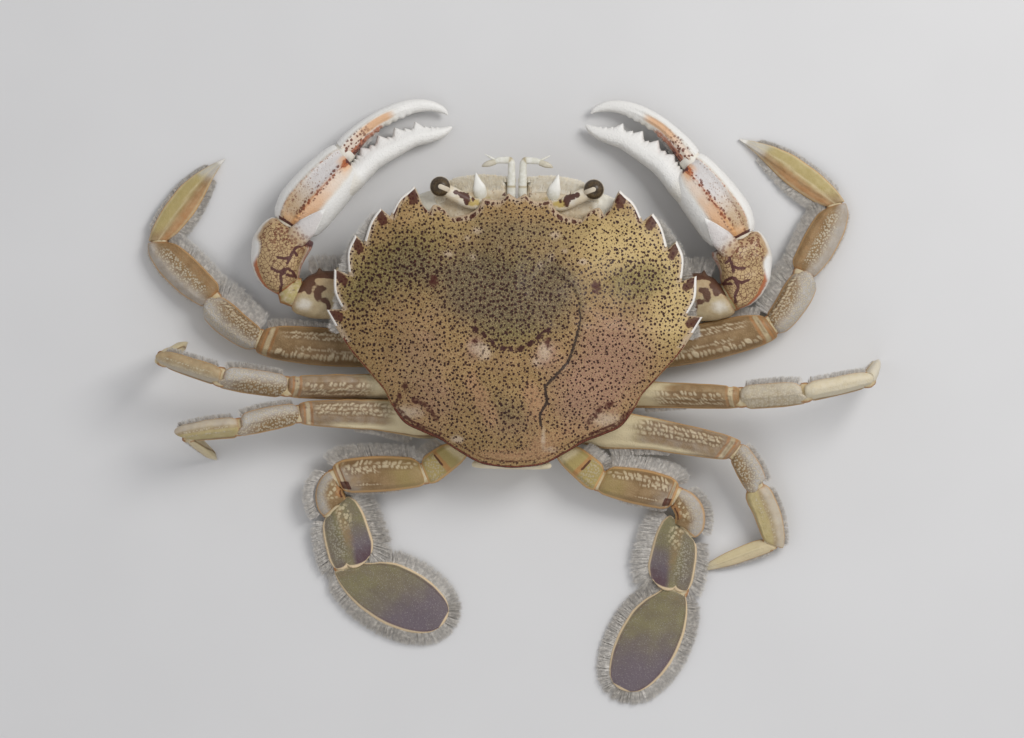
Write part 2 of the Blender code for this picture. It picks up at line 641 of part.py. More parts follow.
class HandPlan:
    """The plan of one hand, laid from its wrist towards its finger's tip."""

    def __init__(self, word):
        self.side = 1 if word == "left" else -1
        wrist, tip = (Vector(p) for p in HANDS[word])
        self.origin = wrist
        self.along = (tip - wrist).normalized()
        self.across = Vector((-self.along.y, self.along.x)) * self.side

    def place(self, along, across):
        """Give the world place of one point of the plan, at the hand's height there."""
        spot = self.origin + self.along * along + self.across * across
        return Vector((spot.x, spot.y, 7.4 - 4.6 * max(0.0, along - 8.0) / 42.0))

    def aim(self, along, across):
        """Give a level direction of the world from one of the plan."""
        aim = self.along * along + self.across * across
        return Vector((aim.x, aim.y, 0.0)).normalized()

    def sweep(self, rows, count, first_face=None, last_face=None):
        """Carry a section along rows of the plan."""
        path = [self.place(a, b) for a, b, _, _ in rows]
        wide = [w for _, _, w, _ in rows]
        thick = [h for _, _, _, h in rows]
        faces = [None] * len(rows)
        if first_face:
            faces[0] = (first_face.x, first_face.y)
            path[0] = path[0] + first_face * GAP / 2
        if last_face:
            faces[-1] = (last_face.x, last_face.y)
            path[-1] = path[-1] - last_face * GAP / 2
        return sweep(path, wide, thick, count, faces, square=2.4)

    def tooth(self, along, base, tip, radius):
        """Give a tooth standing across the hand between two offsets."""
        return cone(self.place(along, base), self.place(along + 0.3, tip), radius)


def main():
    """Build every piece of the crab."""
    clear_scene()
    fuse(make_object("carapace", carapace_shape(), "shell"), shell_hair())
    make_object("underbody", underbody_shape(), "under")
    abdomen()
    face()
    for side in ("left", "right"):
        cheliped(side)
        walking_legs(side)
        swimming_leg(side)


def abdomen():
    """Build the abdomen: a narrow plate under the belly that turns up behind."""
    path = [(0, -9.0, 1.1), (0, -4.0, 1.1), (0, 12.0, 1.1), (0, 28.0, 1.1), (0, 33.6, 2.0),
            (0, 35.6, 5.0), (0, 35.8, 11.0), (0, 36.0, 15.3)]
    half = [1.6, 2.6, 4.6, 8.0, 9.2, 9.8, 10.4, 10.6]
    rings = []
    for (x, y, z), w in zip(path, half):
        if y < 30:
            ring = [(w, y, 0.0), (w, y, 2.2), (-w, y, 2.2), (-w, y, 0.0)]
        elif z < 3:
            ring = [(w, y + 0.9, 0.6), (w, y - 0.9, 2.2), (-w, y - 0.9, 2.2), (-w, y + 0.9, 0.6)]
        elif z < 15:
            ring = [(w, y + 1.1, z), (w, y - 1.1, z), (-w, y - 1.1, z), (-w, y + 1.1, z)]
        else:
            ring = [(w, y + 1.2, z), (w, y - 1.1, z), (-w, y - 1.1, z), (-w, y + 1.2, z)]
        rings.append(ring)
    make_object("abdomen", skin_rings(rings), "under")


def face():
    """Build the mouthparts, feelers, eyestalks and eyes."""
    for side, word in ((1, "left"), (-1, "right")):
        mouth = [(5.1 * side, -20.5, 1.2), (5.2 * side, -30.6, 4.4),
                 (5.3 * side, -35.9, 9.0), (5.0 * side, -40.4, 10.8)]
        make_object(f"{word}_maxilliped",
                    sweep(mouth, [4.2, 4.9, 4.9, 3.6], [1.2, 1.3, 1.4, 1.0]), "under")
        stalk = [(11.6 * side, -33.5, 14.6), (14.4 * side, -34.6, 15.5), (18.4 * side, -36.6, 16.4)]
        make_object(f"{word}_eyestalk", sweep(stalk, [1.5, 1.9, 2.4], [1.4, 1.9, 2.4]), "feeler")
        eye = []
        aim = Vector((side * 0.88, -0.47, 0.12)).normalized()
        base = Vector(stalk[-1]) + aim * GAP
        wide = []
        for step, radius in ((0.0, 2.5), (0.9, 2.85), (2.2, 2.95), (3.6, 2.5), (4.6, 1.6), (5.1, 0.6)):
            eye.append(tuple(base + aim * step))
            wide.append(radius)
        make_object(f"{word}_eye", sweep(eye, wide, wide, count=14), "eye")
        feeler = [(1.5 * side, -33.2, 13.4), (1.5 * side, -38.4, 14.0), (1.5 * side, -45.3, 14.6),
                  (4.8 * side, -45.1, 14.8), (7.4 * side, -44.2, 14.8), (9.5 * side, -43.4, 14.6)]
        first = make_object(f"{word}_antennule",
                            sweep(feeler, [0.85, 0.95, 0.85, 0.85, 0.7, 0.35],
                                  [0.85, 0.95, 0.9, 0.85, 0.7, 0.35], count=8), "feeler")
        fuse(first, [sweep([(5.6 * side, -44.8, 14.8), (8.7 * side, -46.6, 14.7)],
                           [0.42, 0.26], [0.42, 0.26], count=6)])
        outer = [(8.6 * side, -33.3, 11.8), (10.6 * side, -37.6, 13.4), (11.5 * side, -41.4, 13.8)]
        make_object(f"{word}_antenna", sweep(outer, [1.2, 1.0, 0.3], [1.1, 0.9, 0.3], count=8), "feeler")


def cheliped(word):
    """Build one claw limb: merus, carpus with its spine, palm and finger."""
    name = f"{word}_cheliped"
    hand = HandPlan(word)
    merus_end, merus_face, carpus_start, carpus_face = ELBOWS[word]
    wrist, wrist_face, finger_face = hand.place(*WRIST), hand.aim(*WRIST_FACE), hand.aim(*FINGER_FACE)
    root, outward = body_side(SHOULDERS[word], hand.side)
    root = Vector((root.x, root.y, ARM_HEIGHT)) + outward * GAP / 2
    merus = LimbPiece(root, (*merus_end, ARM_HEIGHT), outward, (*merus_face, 0.0),
                      CHELIPED_MERUS, hand.side)
    make_object(f"{name}_merus", merus.shape(), "leg")
    inner_first = [(t, inner, outer, half) for t, outer, inner, half in CHELIPED_CARPUS]
    carpus = LimbPiece((*carpus_start, ARM_HEIGHT), wrist, (*carpus_face, 0.0), wrist_face,
                       inner_first, hand.side)
    shell = make_object(f"{name}_carpus", carpus.shape(14), "claw")
    spine = [hand.place(a, b) + Vector((0.0, 0.0, up)) for a, b, up in CARPUS_SPINE]
    fuse(shell, [cone(*spine, 1.7)])
    palm = make_object(f"{name}_palm", hand.sweep(PALM, 14, wrist_face, finger_face), "claw")
    teeth = [hand.tooth(a, b - 1.6, b + reach, 1.5) for a, b, reach in FIXED_TEETH]
    fuse(palm, [hand.sweep(FIXED_FINGER, 10)] + teeth)
    finger = make_object(f"{name}_finger", hand.sweep(MOVING_FINGER, 10, finger_face), "claw")
    fuse(finger, [hand.tooth(a, b + 1.6, b - reach, 1.4) for a, b, reach in MOVING_TEETH])


def walking_legs(word):
    """Build legs two to four of one side."""
    kinds = {"merus": "leg", "carpus": "leg", "propodus": "leg", "dactyl": "leg"}
    limb(f"{word}_leg_2", [("merus", LEG2_MERUS), ("carpus", LEG2_CARPUS),
                           ("propodus", LEG2_PROPODUS), ("dactyl", LEG2_DACTYL)], kinds, 6.6)
    limb(f"{word}_leg_3", [("merus", LEG3_MERUS), ("carpus", LEG3_CARPUS),
                           ("propodus", LEG3_PROPODUS), ("dactyl", LEG3_DACTYL)], kinds, 7.4)
    limb(f"{word}_leg_4", [("merus", LEG4_MERUS), ("carpus", LEG4_CARPUS),
                           ("propodus", LEG4_PROPODUS), ("dactyl", LEG4_DACTYL)], kinds, 7.4)


def swimming_leg(word):
    """Build the swimming leg of one side, out to its paddle."""
    name = f"{word}_leg_5"
    pose = POSES[name]
    made = limb(name, [("base", LEG5_BASE), ("merus", LEG5_MERUS), ("carpus", LEG5_CARPUS),
                       ("propodus", LEG5_PROPODUS), ("paddle", LEG5_PADDLE)],
                {"base": "leg", "merus": "leg", "propodus": "paddle", "paddle": "paddle"}, 8.6)
    first = Vector((*pose.faces[2], 0.0)).normalized()
    last = Vector((*pose.faces[3], 0.0)).normalized()
    start = Vector(pose.joints[2]) + first * GAP / 2
    end = Vector(pose.joints[3]) - last * GAP / 2
    path = []
    faces = []
    wide = []
    thick = []
    for t, outer, inner, half in LEG5_CARPUS:
        spot = start * (1 - t) ** 2 + end * t ** 2
        spot += (start + first * 4.4).lerp(end - last * 3.4, 0.5) * 2 * t * (1 - t)
        path.append(spot)
        heading = first.lerp(last, t).normalized()
        faces.append((heading.x, heading.y))
        wide.append((inner, outer))
        thick.append(half)
    make_object(f"{name}_carpus", sweep(path, wide, thick, 12, faces), "leg")


main()
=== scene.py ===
"""The looks of a life-size paddle crab that lies flat with every limb spread.

The crab faces -Y, its left side is +X and it lies on the floor, z = 0. Sizes and
places are in millimetres and become metres when a mesh is made. A limb piece is
described along its length from the body out (0 to 1), across (+1 at its front
edge, -1 at its rear edge) and by its rise (+1 on top, -1 below).
"""
import logging
import math
from dataclasses import dataclass, field
from enum import Enum
from typing import Callable, ClassVar, Optional, Sequence

import bpy
import numpy as np
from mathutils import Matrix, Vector


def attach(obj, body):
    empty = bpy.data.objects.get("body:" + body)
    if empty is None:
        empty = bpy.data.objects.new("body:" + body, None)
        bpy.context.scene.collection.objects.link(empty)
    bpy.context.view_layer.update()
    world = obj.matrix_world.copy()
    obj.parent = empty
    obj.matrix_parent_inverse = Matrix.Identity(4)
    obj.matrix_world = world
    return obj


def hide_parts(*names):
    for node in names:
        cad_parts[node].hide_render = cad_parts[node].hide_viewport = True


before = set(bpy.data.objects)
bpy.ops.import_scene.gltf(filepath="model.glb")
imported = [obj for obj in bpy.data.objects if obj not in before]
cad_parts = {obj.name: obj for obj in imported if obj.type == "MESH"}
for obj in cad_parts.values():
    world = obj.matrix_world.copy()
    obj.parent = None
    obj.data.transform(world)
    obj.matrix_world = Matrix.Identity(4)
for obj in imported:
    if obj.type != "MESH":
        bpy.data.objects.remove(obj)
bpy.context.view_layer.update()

logging.basicConfig(level=logging.INFO, format="%(message)s")
LOG = logging.getLogger("paddle_crab")

Array = np.ndarray
Colour = tuple[float, float, float]
Masks = dict[str, Array]

# Metres in a millimetre, the gap between pieces in millimetres, the seed of every random draw
MM = 0.001
GAP = 0.3
SEED = 7


class Slot(Enum):
    """The record's material slots."""

    SHELL = "shell"
    LEG = "leg"
    CLAW = "claw"
    PADDLE = "paddle"
    UNDER = "under"
    EYE = "eye"
    FEELER = "feeler"


class Side(Enum):
    """The crab's two sides, with the sign of X there."""

    LEFT = 1
    RIGHT = -1

    @property
    def word(self) -> str:
        """Name of the side as node names start."""
        return self.name.lower()


# Small maths

def unit(vectors: Array) -> Array:
    """Scale vectors to length one."""
    return vectors / np.maximum(np.linalg.norm(vectors, axis=-1, keepdims=True), 1e-9)


def clamp(value: Array) -> Array:
    """Keep values between 0 and 1."""
    return np.clip(value, 0.0, 1.0)


def step(low: float, high: float, value: Array) -> Array:
    """Rise smoothly from 0 at low to 1 at high; falls where low is above high."""
    share = clamp((value - low) / (high - low))
    return share * share * (3.0 - 2.0 * share)


def band(value: Array, middle: float, half: float, soft: float) -> Array:
    """Give 1 within half of the middle, fading out over soft."""
    return 1.0 - step(half, half + soft, np.abs(value - middle))


def rounded(near: Array) -> Array:
    """Give the height of a quarter circle, from 0 at its edge to 1 where near is 1 or more."""
    return np.sqrt(1 - (1 - clamp(near)) ** 2)


def seams(places: Array, cuts: Sequence[float], half: float) -> Array:
    """Give narrow bell curves, 1 at each cut."""
    return sum((np.exp(-((places - cut) / half) ** 2) for cut in cuts), np.zeros(np.shape(places)))


def lengths_along(line: Array) -> Array:
    """Give how far each point of a line is from its start."""
    return np.concatenate([[0.0], np.cumsum(np.linalg.norm(np.diff(line, axis=0), axis=1))])


def read_line(line: Array, known: Array, wanted: Array) -> Array:
    """Read a line at wanted places, where known says each point's own place."""
    return np.stack([np.interp(wanted, known, line[:, k]) for k in range(line.shape[1])], 1)


def outward_of(line: Array, middle: Array) -> Array:
    """Give level directions square to a line, away from a middle point."""
    heading = unit(np.gradient(line, axis=0))
    out = unit(np.stack([heading[:, 1], -heading[:, 0], np.zeros(len(line))], 1))
    return out * np.sign(((line - middle) * out).sum(1))[:, None]


def hermite(y: Array, tangent: tuple[Array, Array], row: Array, share: Array) -> Array:
    """Blend each row of points into the next one, with the tangents at both ends."""
    return ((2 * share ** 3 - 3 * share ** 2 + 1) * y[row]
            + (share ** 3 - 2 * share ** 2 + share) * tangent[0]
            + (3 * share ** 2 - 2 * share ** 3) * y[row + 1] + (share ** 3 - share ** 2) * tangent[1])


def blotch(x: Array, y: Array, spots: Sequence) -> Array:
    """Add up soft oval patches given as (x, y, half width, half length, strength)."""
    x, y = np.broadcast_arrays(x, y)
    total = np.zeros(x.shape)
    for cx, cy, rx, ry, strength in spots:
        total += strength * np.exp(-((x - cx) / rx) ** 2 - ((y - cy) / ry) ** 2)
    return total


def to_line(x: Array, y: Array, line: Sequence) -> tuple[Array, Array]:
    """Measure from points to a drawn line.

    Args:
        x: Places across.
        y: Places along.
        line: The line's points.

    Returns:
        Distances, and on which side each point is (above zero on the crab's left).
    """
    x, y = np.broadcast_arrays(x, y)
    best = np.full(x.shape, 1e9)
    hand = np.zeros(x.shape)
    for (ax, ay), (bx, by) in zip(line, line[1:]):
        dx, dy = bx - ax, by - ay
        share = clamp(((x - ax) * dx + (y - ay) * dy) / (dx * dx + dy * dy))
        far = np.hypot(x - ax - share * dx, y - ay - share * dy)
        hand = np.where(far < best, np.sign(dx * (y - ay) - dy * (x - ax)), hand)
        best = np.minimum(best, far)
    return best, hand


def follow(rows: Sequence[Sequence[float]], places: Array) -> Array:
    """Read a table smoothly, without passing its own values.

    Args:
        rows: Table rows; the first column is the place, in rising order.
        places: Places to read.

    Returns:
        One row of the other columns for each place.
    """
    table = np.array(rows, float)
    x, y = table[:, 0], table[:, 1:]
    width = np.diff(x)[:, None]
    slope = np.diff(y, axis=0) / width
    tangent = np.zeros_like(y)
    tangent[0], tangent[-1] = slope[0], slope[-1]
    same = slope[:-1] * slope[1:] > 0
    total = slope[:-1] + slope[1:]
    tangent[1:-1] = np.where(same, 2 * slope[:-1] * slope[1:] / np.where(same, total, 1.0), 0.0)
    row = np.clip(np.searchsorted(x, places, side="right") - 1, 0, len(x) - 2)
    share = ((places - x[row]) / width[row, 0])[:, None]
    return hermite(y, (width[row] * tangent[row], width[row] * tangent[row + 1]), row, share)


def ripple(points: Array, size: float, seed: int = SEED) -> Array:
    """Give a gentle uneven wave, about -1 to 1, over points.

    Args:
        points: Points in millimetres, last axis x, y, z.
        size: Rough distance between crests.
        seed: Picks the wave's directions.

    Returns:
        One value for each point.
    """
    chance = np.random.default_rng(seed)
    total = np.zeros(points.shape[:-1])
    for _ in range(6):
        aim = unit(chance.normal(size=3))
        total += np.sin(points @ aim * (2 * math.pi / size) * chance.uniform(0.7, 1.4)
                        + chance.uniform(0, 6.28))
    return total / 3.0


# Materials

class NodeMaker:
    """Adds nodes to a tree, a node for each call."""

    tree: bpy.types.NodeTree

    def node(self, kind: str, inputs: dict, **settings: object) -> bpy.types.Node:
        """Add a node.

        Args:
            kind: Blender's name of the node.
            inputs: Values or sockets by input name or index.
            settings: The node's own properties.

        Returns:
            The node.
        """
        made = self.tree.nodes.new(kind)
        for key, value in settings.items():
            setattr(made, key, value)
        for key, value in inputs.items():
            if isinstance(value, bpy.types.NodeSocket):
                self.tree.links.new(value, made.inputs[key])
            else:
                made.inputs[key].default_value = value
        return made


class Shader(NodeMaker):
    """Builds one material's nodes."""

    def __init__(self, name: str) -> None:
        """Start a material with one Principled BSDF, reading Object coordinates."""
        self.material = bpy.data.materials.new(name)
        self.material.use_nodes = True
        self.tree = self.material.node_tree
        self.surface = self.tree.nodes["Principled BSDF"]
        self.coordinates = self.tree.nodes.new("ShaderNodeTexCoord").outputs["Object"]

    def mask(self, name: str) -> bpy.types.NodeSocket:
        """Read one of the piece's own masks."""
        return self.node("ShaderNodeAttribute", {}, attribute_name=name).outputs["Fac"]

    def eaten(self, name: str, ragged: float, size: float, soft: float) -> bpy.types.NodeSocket:
        """Read a mask, its border eaten by noise with lumps of one size, unless ragged is 0."""
        share = self.mask(name)
        if not ragged:
            return share
        noise = self.maths("SUBTRACT", self.noise(size), 0.5)
        share = self.maths("ADD", share, self.maths("MULTIPLY", noise, ragged * 2))
        return self.ramp(share, 0.5 - soft, 0.5 + soft)

    def maths(self, operation: str, a: object, b: object = 0.0) -> bpy.types.NodeSocket:
        """Work out one sum of two values."""
        return self.node("ShaderNodeMath", {0: a, 1: b}, operation=operation).outputs[0]

    def noise(self, size: float, detail: float = 3.0, vector: object = None) -> bpy.types.NodeSocket:
        """Give soft noise, 0 to 1, with lumps of one size in millimetres."""
        inputs = {"Vector": vector or self.coordinates, "Scale": 1.0 / (size * MM), "Detail": detail}
        return self.node("ShaderNodeTexNoise", inputs).outputs["Fac"]

    def shaken(self, size: float, amount: float) -> bpy.types.NodeSocket:
        """Give the coordinates pushed about by noise, sizes in millimetres."""
        inputs = {"Vector": self.coordinates, "Scale": 1.0 / (size * MM), "Detail": 1.0}
        push = self.node("ShaderNodeTexNoise", inputs).outputs["Color"]
        centred = self.node("ShaderNodeVectorMath", {0: push, 1: (0.5, 0.5, 0.5)}, operation="SUBTRACT")
        scaled = self.node("ShaderNodeVectorMath", {0: centred.outputs[0], "Scale": amount * MM * 2},
                           operation="SCALE")
        return self.node("ShaderNodeVectorMath", {0: self.coordinates, 1: scaled.outputs[0]},
                         operation="ADD").outputs[0]

    def cells(self, size: float, feature: str = "F1", flat: bool = False, shake: float = 0.0,
              ) -> bpy.types.Node:
        """Add a cell pattern with cells of one size in millimetres."""
        vector = self.shaken(size * 0.7, shake * size) if shake else self.coordinates
        inputs = {"Vector": vector, "Scale": 1.0 / (size * MM)}
        return self.node("ShaderNodeTexVoronoi", inputs, feature=feature,
                         voronoi_dimensions="2D" if flat else "3D")

    def ramp(self, value: object, low: float, high: float) -> bpy.types.NodeSocket:
        """Rise smoothly from 0 at low to 1 at high."""
        inputs = {"Value": value, "From Min": min(low, high), "From Max": max(low, high)}
        if low > high:
            inputs |= {"To Min": 1.0, "To Max": 0.0}
        return self.node("ShaderNodeMapRange", inputs, interpolation_type="SMOOTHSTEP").outputs["Result"]

    def mix(self, share: object, first: object, second: object) -> bpy.types.NodeSocket:
        """Mix two colours."""
        inputs = {0: share, 6: self.rgba(first), 7: self.rgba(second)}
        return self.node("ShaderNodeMix", inputs, data_type="RGBA").outputs[2]

    @staticmethod
    def rgba(colour: object) -> object:
        """Give a plain colour its fourth value."""
        return (*colour, 1.0) if isinstance(colour, tuple) else colour


@dataclass(frozen=True)
class Tint:
    """A colour laid where a mask says, its border eaten by noise."""

    mask: str
    colour: Colour
    ragged: float = 0.0
    size: float = 2.0
    amount: float = 1.0
    soft: float = 0.15

    def lay(self, shader: Shader, colour: object) -> object:
        """Lay the tint over a colour.

        Args:
            shader: The material in the making.
            colour: The colour below.

        Returns:
            The new colour.
        """
        share = shader.eaten(self.mask, self.ragged, self.size, self.soft)
        return shader.mix(shader.maths("MULTIPLY", share, self.amount), colour, self.colour)


@dataclass(frozen=True)
class Dots:
    """Small rounded marks scattered over a surface, each of its own size."""

    spacing: float
    radius: float
    colour: Colour
    mask: str = ""
    grow: str = ""
    growth: float = 0.12
    flat: bool = False
    amount: float = 1.0
    soft: float = 0.05

    def lay(self, shader: Shader, colour: object) -> object:
        """Lay the dots over a colour.

        Args:
            shader: The material in the making.
            colour: The colour below.

        Returns:
            The new colour.
        """
        cells = shader.cells(self.spacing, flat=self.flat, shake=0.22)
        chance = shader.node("ShaderNodeSeparateColor", {0: cells.outputs["Color"]}).outputs[0]
        reach = shader.maths("MULTIPLY_ADD", chance, self.radius * 0.7)
        reach.node.inputs[2].default_value = self.radius * 0.7
        if self.grow:
            reach = shader.maths("ADD", reach, shader.maths("MULTIPLY", shader.mask(self.grow), self.growth))
        inside = shader.maths("SUBTRACT", reach, cells.outputs["Distance"])
        share = shader.maths("MULTIPLY", shader.ramp(inside, -self.soft, self.soft), self.amount)
        if self.mask:
            share = shader.maths("MULTIPLY", share, shader.mask(self.mask))
        return shader.mix(share, colour, self.colour)


@dataclass(frozen=True)
class Net:
    """Islands parted by a net of lines, where a mask says."""

    spacing: float
    line: float
    islands: Colour
    lines: Colour
    mask: str
    ragged: float = 0.0
    amount: float = 1.0

    def lay(self, shader: Shader, colour: object) -> object:
        """Lay the net over a colour.

        Args:
            shader: The material in the making.
            colour: The colour below.

        Returns:
            The new colour.
        """
        cells = shader.cells(self.spacing, "DISTANCE_TO_EDGE", shake=0.3)
        island = shader.ramp(cells.outputs["Distance"], self.line * 0.4, self.line * 1.6)
        share = shader.eaten(self.mask, self.ragged, self.spacing * 2.6, 0.1)
        share = shader.maths("MULTIPLY", share, self.amount)
        return shader.mix(share, colour, shader.mix(island, self.lines, self.islands))


@dataclass(frozen=True)
class Grain:
    """Raised granules or pits, sizes and heights in millimetres."""

    size: float
    height: float
    round: bool = True


# Noise range over which a finish's two tones mix, how uneven its roughness is, its coat's roughness
MOTTLE_RANGE = (0.38, 0.66)
UNEVEN = (-0.1, 0.12)
COAT_ROUGHNESS = 0.25


@dataclass(frozen=True)
class Finish:
    """One whole finish: colours, layers laid over them, gloss and grain."""

    name: str
    base: Colour
    mottle: Colour
    mottle_size: float = 5.0
    layers: tuple = ()
    roughness: float = 0.42
    coat: float = 0.25
    grains: tuple[Grain, ...] = ()
    shine: float = 0.22

    def build(self) -> bpy.types.Material:
        """Make the material, once."""
        if self.name in bpy.data.materials:
            return bpy.data.materials[self.name]
        shader = Shader(self.name)
        share = shader.ramp(shader.noise(self.mottle_size, 5.0), *MOTTLE_RANGE)
        colour = shader.mix(share, self.base, self.mottle)
        for layer in self.layers:
            colour = layer.lay(shader, colour)
        surface = shader.surface
        shader.tree.links.new(colour, surface.inputs["Base Color"])
        rough = shader.node("ShaderNodeMapRange", {"Value": shader.noise(1.2, 4.0),
                                                   "To Min": self.roughness + UNEVEN[0],
                                                   "To Max": self.roughness + UNEVEN[1]})
        shader.tree.links.new(rough.outputs["Result"], surface.inputs["Roughness"])
        surface.inputs["Coat Weight"].default_value = self.coat
        surface.inputs["Coat Roughness"].default_value = COAT_ROUGHNESS
        surface.inputs["Specular IOR Level"].default_value = self.shine
        normal = None
        for grain in self.grains:
            if grain.round:
                height = shader.ramp(shader.cells(grain.size).outputs["Distance"], 0.62, 0.1)
            else:
                height = shader.noise(grain.size, 4.0)
            inputs = {"Height": height, "Distance": grain.height * MM, "Strength": 1.0}
            if normal:
                inputs["Normal"] = normal
            normal = shader.node("ShaderNodeBump", inputs).outputs["Normal"]
        if normal:
            shader.tree.links.new(normal, surface.inputs["Normal"])
        return shader.material


# Colours are linear; a Dots is (spacing, radius, colour, mask), sizes in millimetres
MAROON = (0.062, 0.012, 0.007)
RIM_ORANGE = (0.56, 0.33, 0.14)

SHELL_FINISH = Finish(
    "shell_speckled", (0.350, 0.215, 0.088), (0.290, 0.175, 0.068), 7.0,
    layers=(
        # Painted light: paler patches, strongest at the shell's right front, stand in for the stronger light
        # that falls there
        Tint("bright", (0.560, 0.410, 0.178), ragged=0.25, size=4.0, amount=0.85, soft=0.45),
        Tint("olive", (0.180, 0.142, 0.045), ragged=0.30, size=3.0, amount=0.85, soft=0.48),
        Tint("grey", (0.115, 0.088, 0.052), ragged=0.25, size=4.0, amount=0.85, soft=0.48),
        Tint("pink", (0.330, 0.180, 0.125), ragged=0.30, size=4.0, amount=0.80, soft=0.45),
        Tint("peach", (0.400, 0.215, 0.115), ragged=0.25, size=1.6, amount=0.70, soft=0.45),
        Tint("pale", (0.56, 0.43, 0.31), ragged=0.35, size=1.3, amount=0.78, soft=0.38),
        Dots(0.52, 0.22, (0.54, 0.42, 0.20), "top", flat=True, amount=0.42, soft=0.15),
        Dots(0.41, 0.18, (0.10, 0.055, 0.024), "top", flat=True, amount=0.42, soft=0.15),
        Dots(1.16, 0.215, (0.030, 0.008, 0.005), "speckle", "coarse", 0.085, flat=True, amount=0.98),
        Dots(0.92, 0.120, (0.060, 0.014, 0.007), "speckle", "coarse", 0.07, flat=True, amount=0.92),
        Tint("smile", (0.040, 0.008, 0.006), ragged=1.0, size=0.75, amount=0.95),
        Tint("streak", MAROON, ragged=0.70, size=0.9, amount=0.90, soft=0.22),
        Tint("crack", (0.040, 0.024, 0.018), ragged=0.75, size=0.5, amount=0.92),
        Tint("white", (0.80, 0.76, 0.70), ragged=0.10, size=1.0),
        Tint("under", (0.62, 0.54, 0.40), ragged=0.10, size=2.0),
    ),
    roughness=0.50, coat=0.04, grains=(Grain(0.45, 0.05), Grain(2.4, 0.10, False)),
)
LEG_FINISH = Finish(
    "leg_netted", (0.275, 0.178, 0.085), (0.215, 0.132, 0.058), 3.0,
    layers=(
        Dots(0.40, 0.22, (0.40, 0.29, 0.155), "granules", amount=0.50, soft=0.15),
        Tint("olive", (0.400, 0.320, 0.115), ragged=0.20, size=3.0, amount=0.80, soft=0.45),
        Tint("blue", (0.500, 0.482, 0.450), ragged=0.25, size=2.0, amount=0.80, soft=0.45),
        Tint("warm", (0.420, 0.190, 0.066), ragged=0.25, size=1.2, amount=0.75, soft=0.48),
        Dots(0.66, 0.44, (0.150, 0.092, 0.045), "beads", flat=True, amount=0.50, soft=0.10),
        Dots(0.66, 0.33, (0.58, 0.51, 0.38), "beads", flat=True, amount=0.70, soft=0.12),
        Dots(1.10, 0.34, (0.60, 0.50, 0.32), "net", flat=True, amount=0.80, soft=0.11),
        Tint("pale", (0.64, 0.54, 0.34), ragged=0.20, size=1.6, amount=0.88, soft=0.45),
        Tint("gaps", (0.165, 0.092, 0.040), amount=0.55),
        Tint("beans", (0.58, 0.48, 0.32), amount=0.90),
        Tint("dark", MAROON, ragged=0.30, size=0.9, amount=0.88),
        Tint("rim", RIM_ORANGE, amount=0.75),
        Tint("white", (0.70, 0.67, 0.61), ragged=0.15, size=1.2, amount=0.9, soft=0.3),
    ),
    roughness=0.50, coat=0.05, grains=(Grain(0.42, 0.06), Grain(1.6, 0.06, False)),
)
CLAW_FINISH = Finish(
    "claw_ivory", (0.70, 0.66, 0.585), (0.75, 0.72, 0.66), 7.0,
    layers=(
        Tint("tan", (0.44, 0.28, 0.135), ragged=0.30, size=2.0, amount=0.92, soft=0.48),
        Tint("channel", (0.58, 0.545, 0.53), ragged=0.20, size=2.0, amount=0.85, soft=0.48),
        Net(1.05, 0.060, (0.46, 0.32, 0.160), (0.110, 0.038, 0.018), "net", ragged=0.60, amount=0.85),
        Dots(0.62, 0.24, (0.25, 0.120, 0.055), "granules", amount=0.75, soft=0.12),
        Tint("orange", (0.66, 0.33, 0.125), ragged=0.15, size=2.5, amount=0.75, soft=0.48),
        Dots(0.98, 0.40, (0.14, 0.036, 0.018), "spots", amount=0.92, soft=0.10),
        Tint("warm", (0.40, 0.105, 0.030), ragged=0.45, size=0.8, amount=0.85, soft=0.25),
        Tint("dark", (0.075, 0.020, 0.022), ragged=0.45, size=0.8, amount=0.92),
        Tint("white", (0.77, 0.75, 0.71), ragged=0.12, size=1.6, soft=0.35),
    ),
    roughness=0.42, coat=0.12, grains=(Grain(0.55, 0.06), Grain(2.2, 0.06, False)),
)
PADDLE_FINISH = Finish(
    "paddle_violet", (0.212, 0.184, 0.095), (0.182, 0.150, 0.090), 5.0,
    layers=(
        Tint("violet", (0.138, 0.106, 0.134), ragged=0.20, size=4.0, amount=0.88, soft=0.50),
        Dots(0.42, 0.22, (0.38, 0.35, 0.32), "top", amount=0.42, soft=0.15),
        Dots(0.36, 0.18, (0.060, 0.042, 0.038), "top", amount=0.42, soft=0.12),
        Tint("warm", (0.30, 0.185, 0.085), ragged=0.35, size=1.2, amount=0.70, soft=0.45),
        Dots(0.62, 0.32, (0.56, 0.52, 0.42), "beads", flat=True, amount=0.50, soft=0.14),
        Dots(1.05, 0.34, (0.58, 0.49, 0.31), "net", flat=True, amount=0.75, soft=0.11),
        Tint("dark", (0.080, 0.034, 0.040), ragged=0.30, size=1.4, amount=0.75, soft=0.45),
        Tint("pale", (0.62, 0.52, 0.34), ragged=0.20, size=1.2, amount=0.85, soft=0.35),
        Tint("rim", (0.70, 0.54, 0.34), amount=0.95),
    ),
    roughness=0.52, coat=0.04, grains=(Grain(0.40, 0.05), Grain(1.4, 0.05, False)),
)
UNDER_FINISH = Finish(
    "underside_cream", (0.66, 0.56, 0.38), (0.72, 0.64, 0.48), 6.0,
    layers=(Tint("warm", (0.50, 0.28, 0.11), ragged=0.4, size=1.5, amount=0.75, soft=0.4),
            Tint("groove", (0.34, 0.22, 0.12), amount=0.8)),
    roughness=0.55, coat=0.04, grains=(Grain(0.6, 0.03), Grain(1.8, 0.06, False)),
)
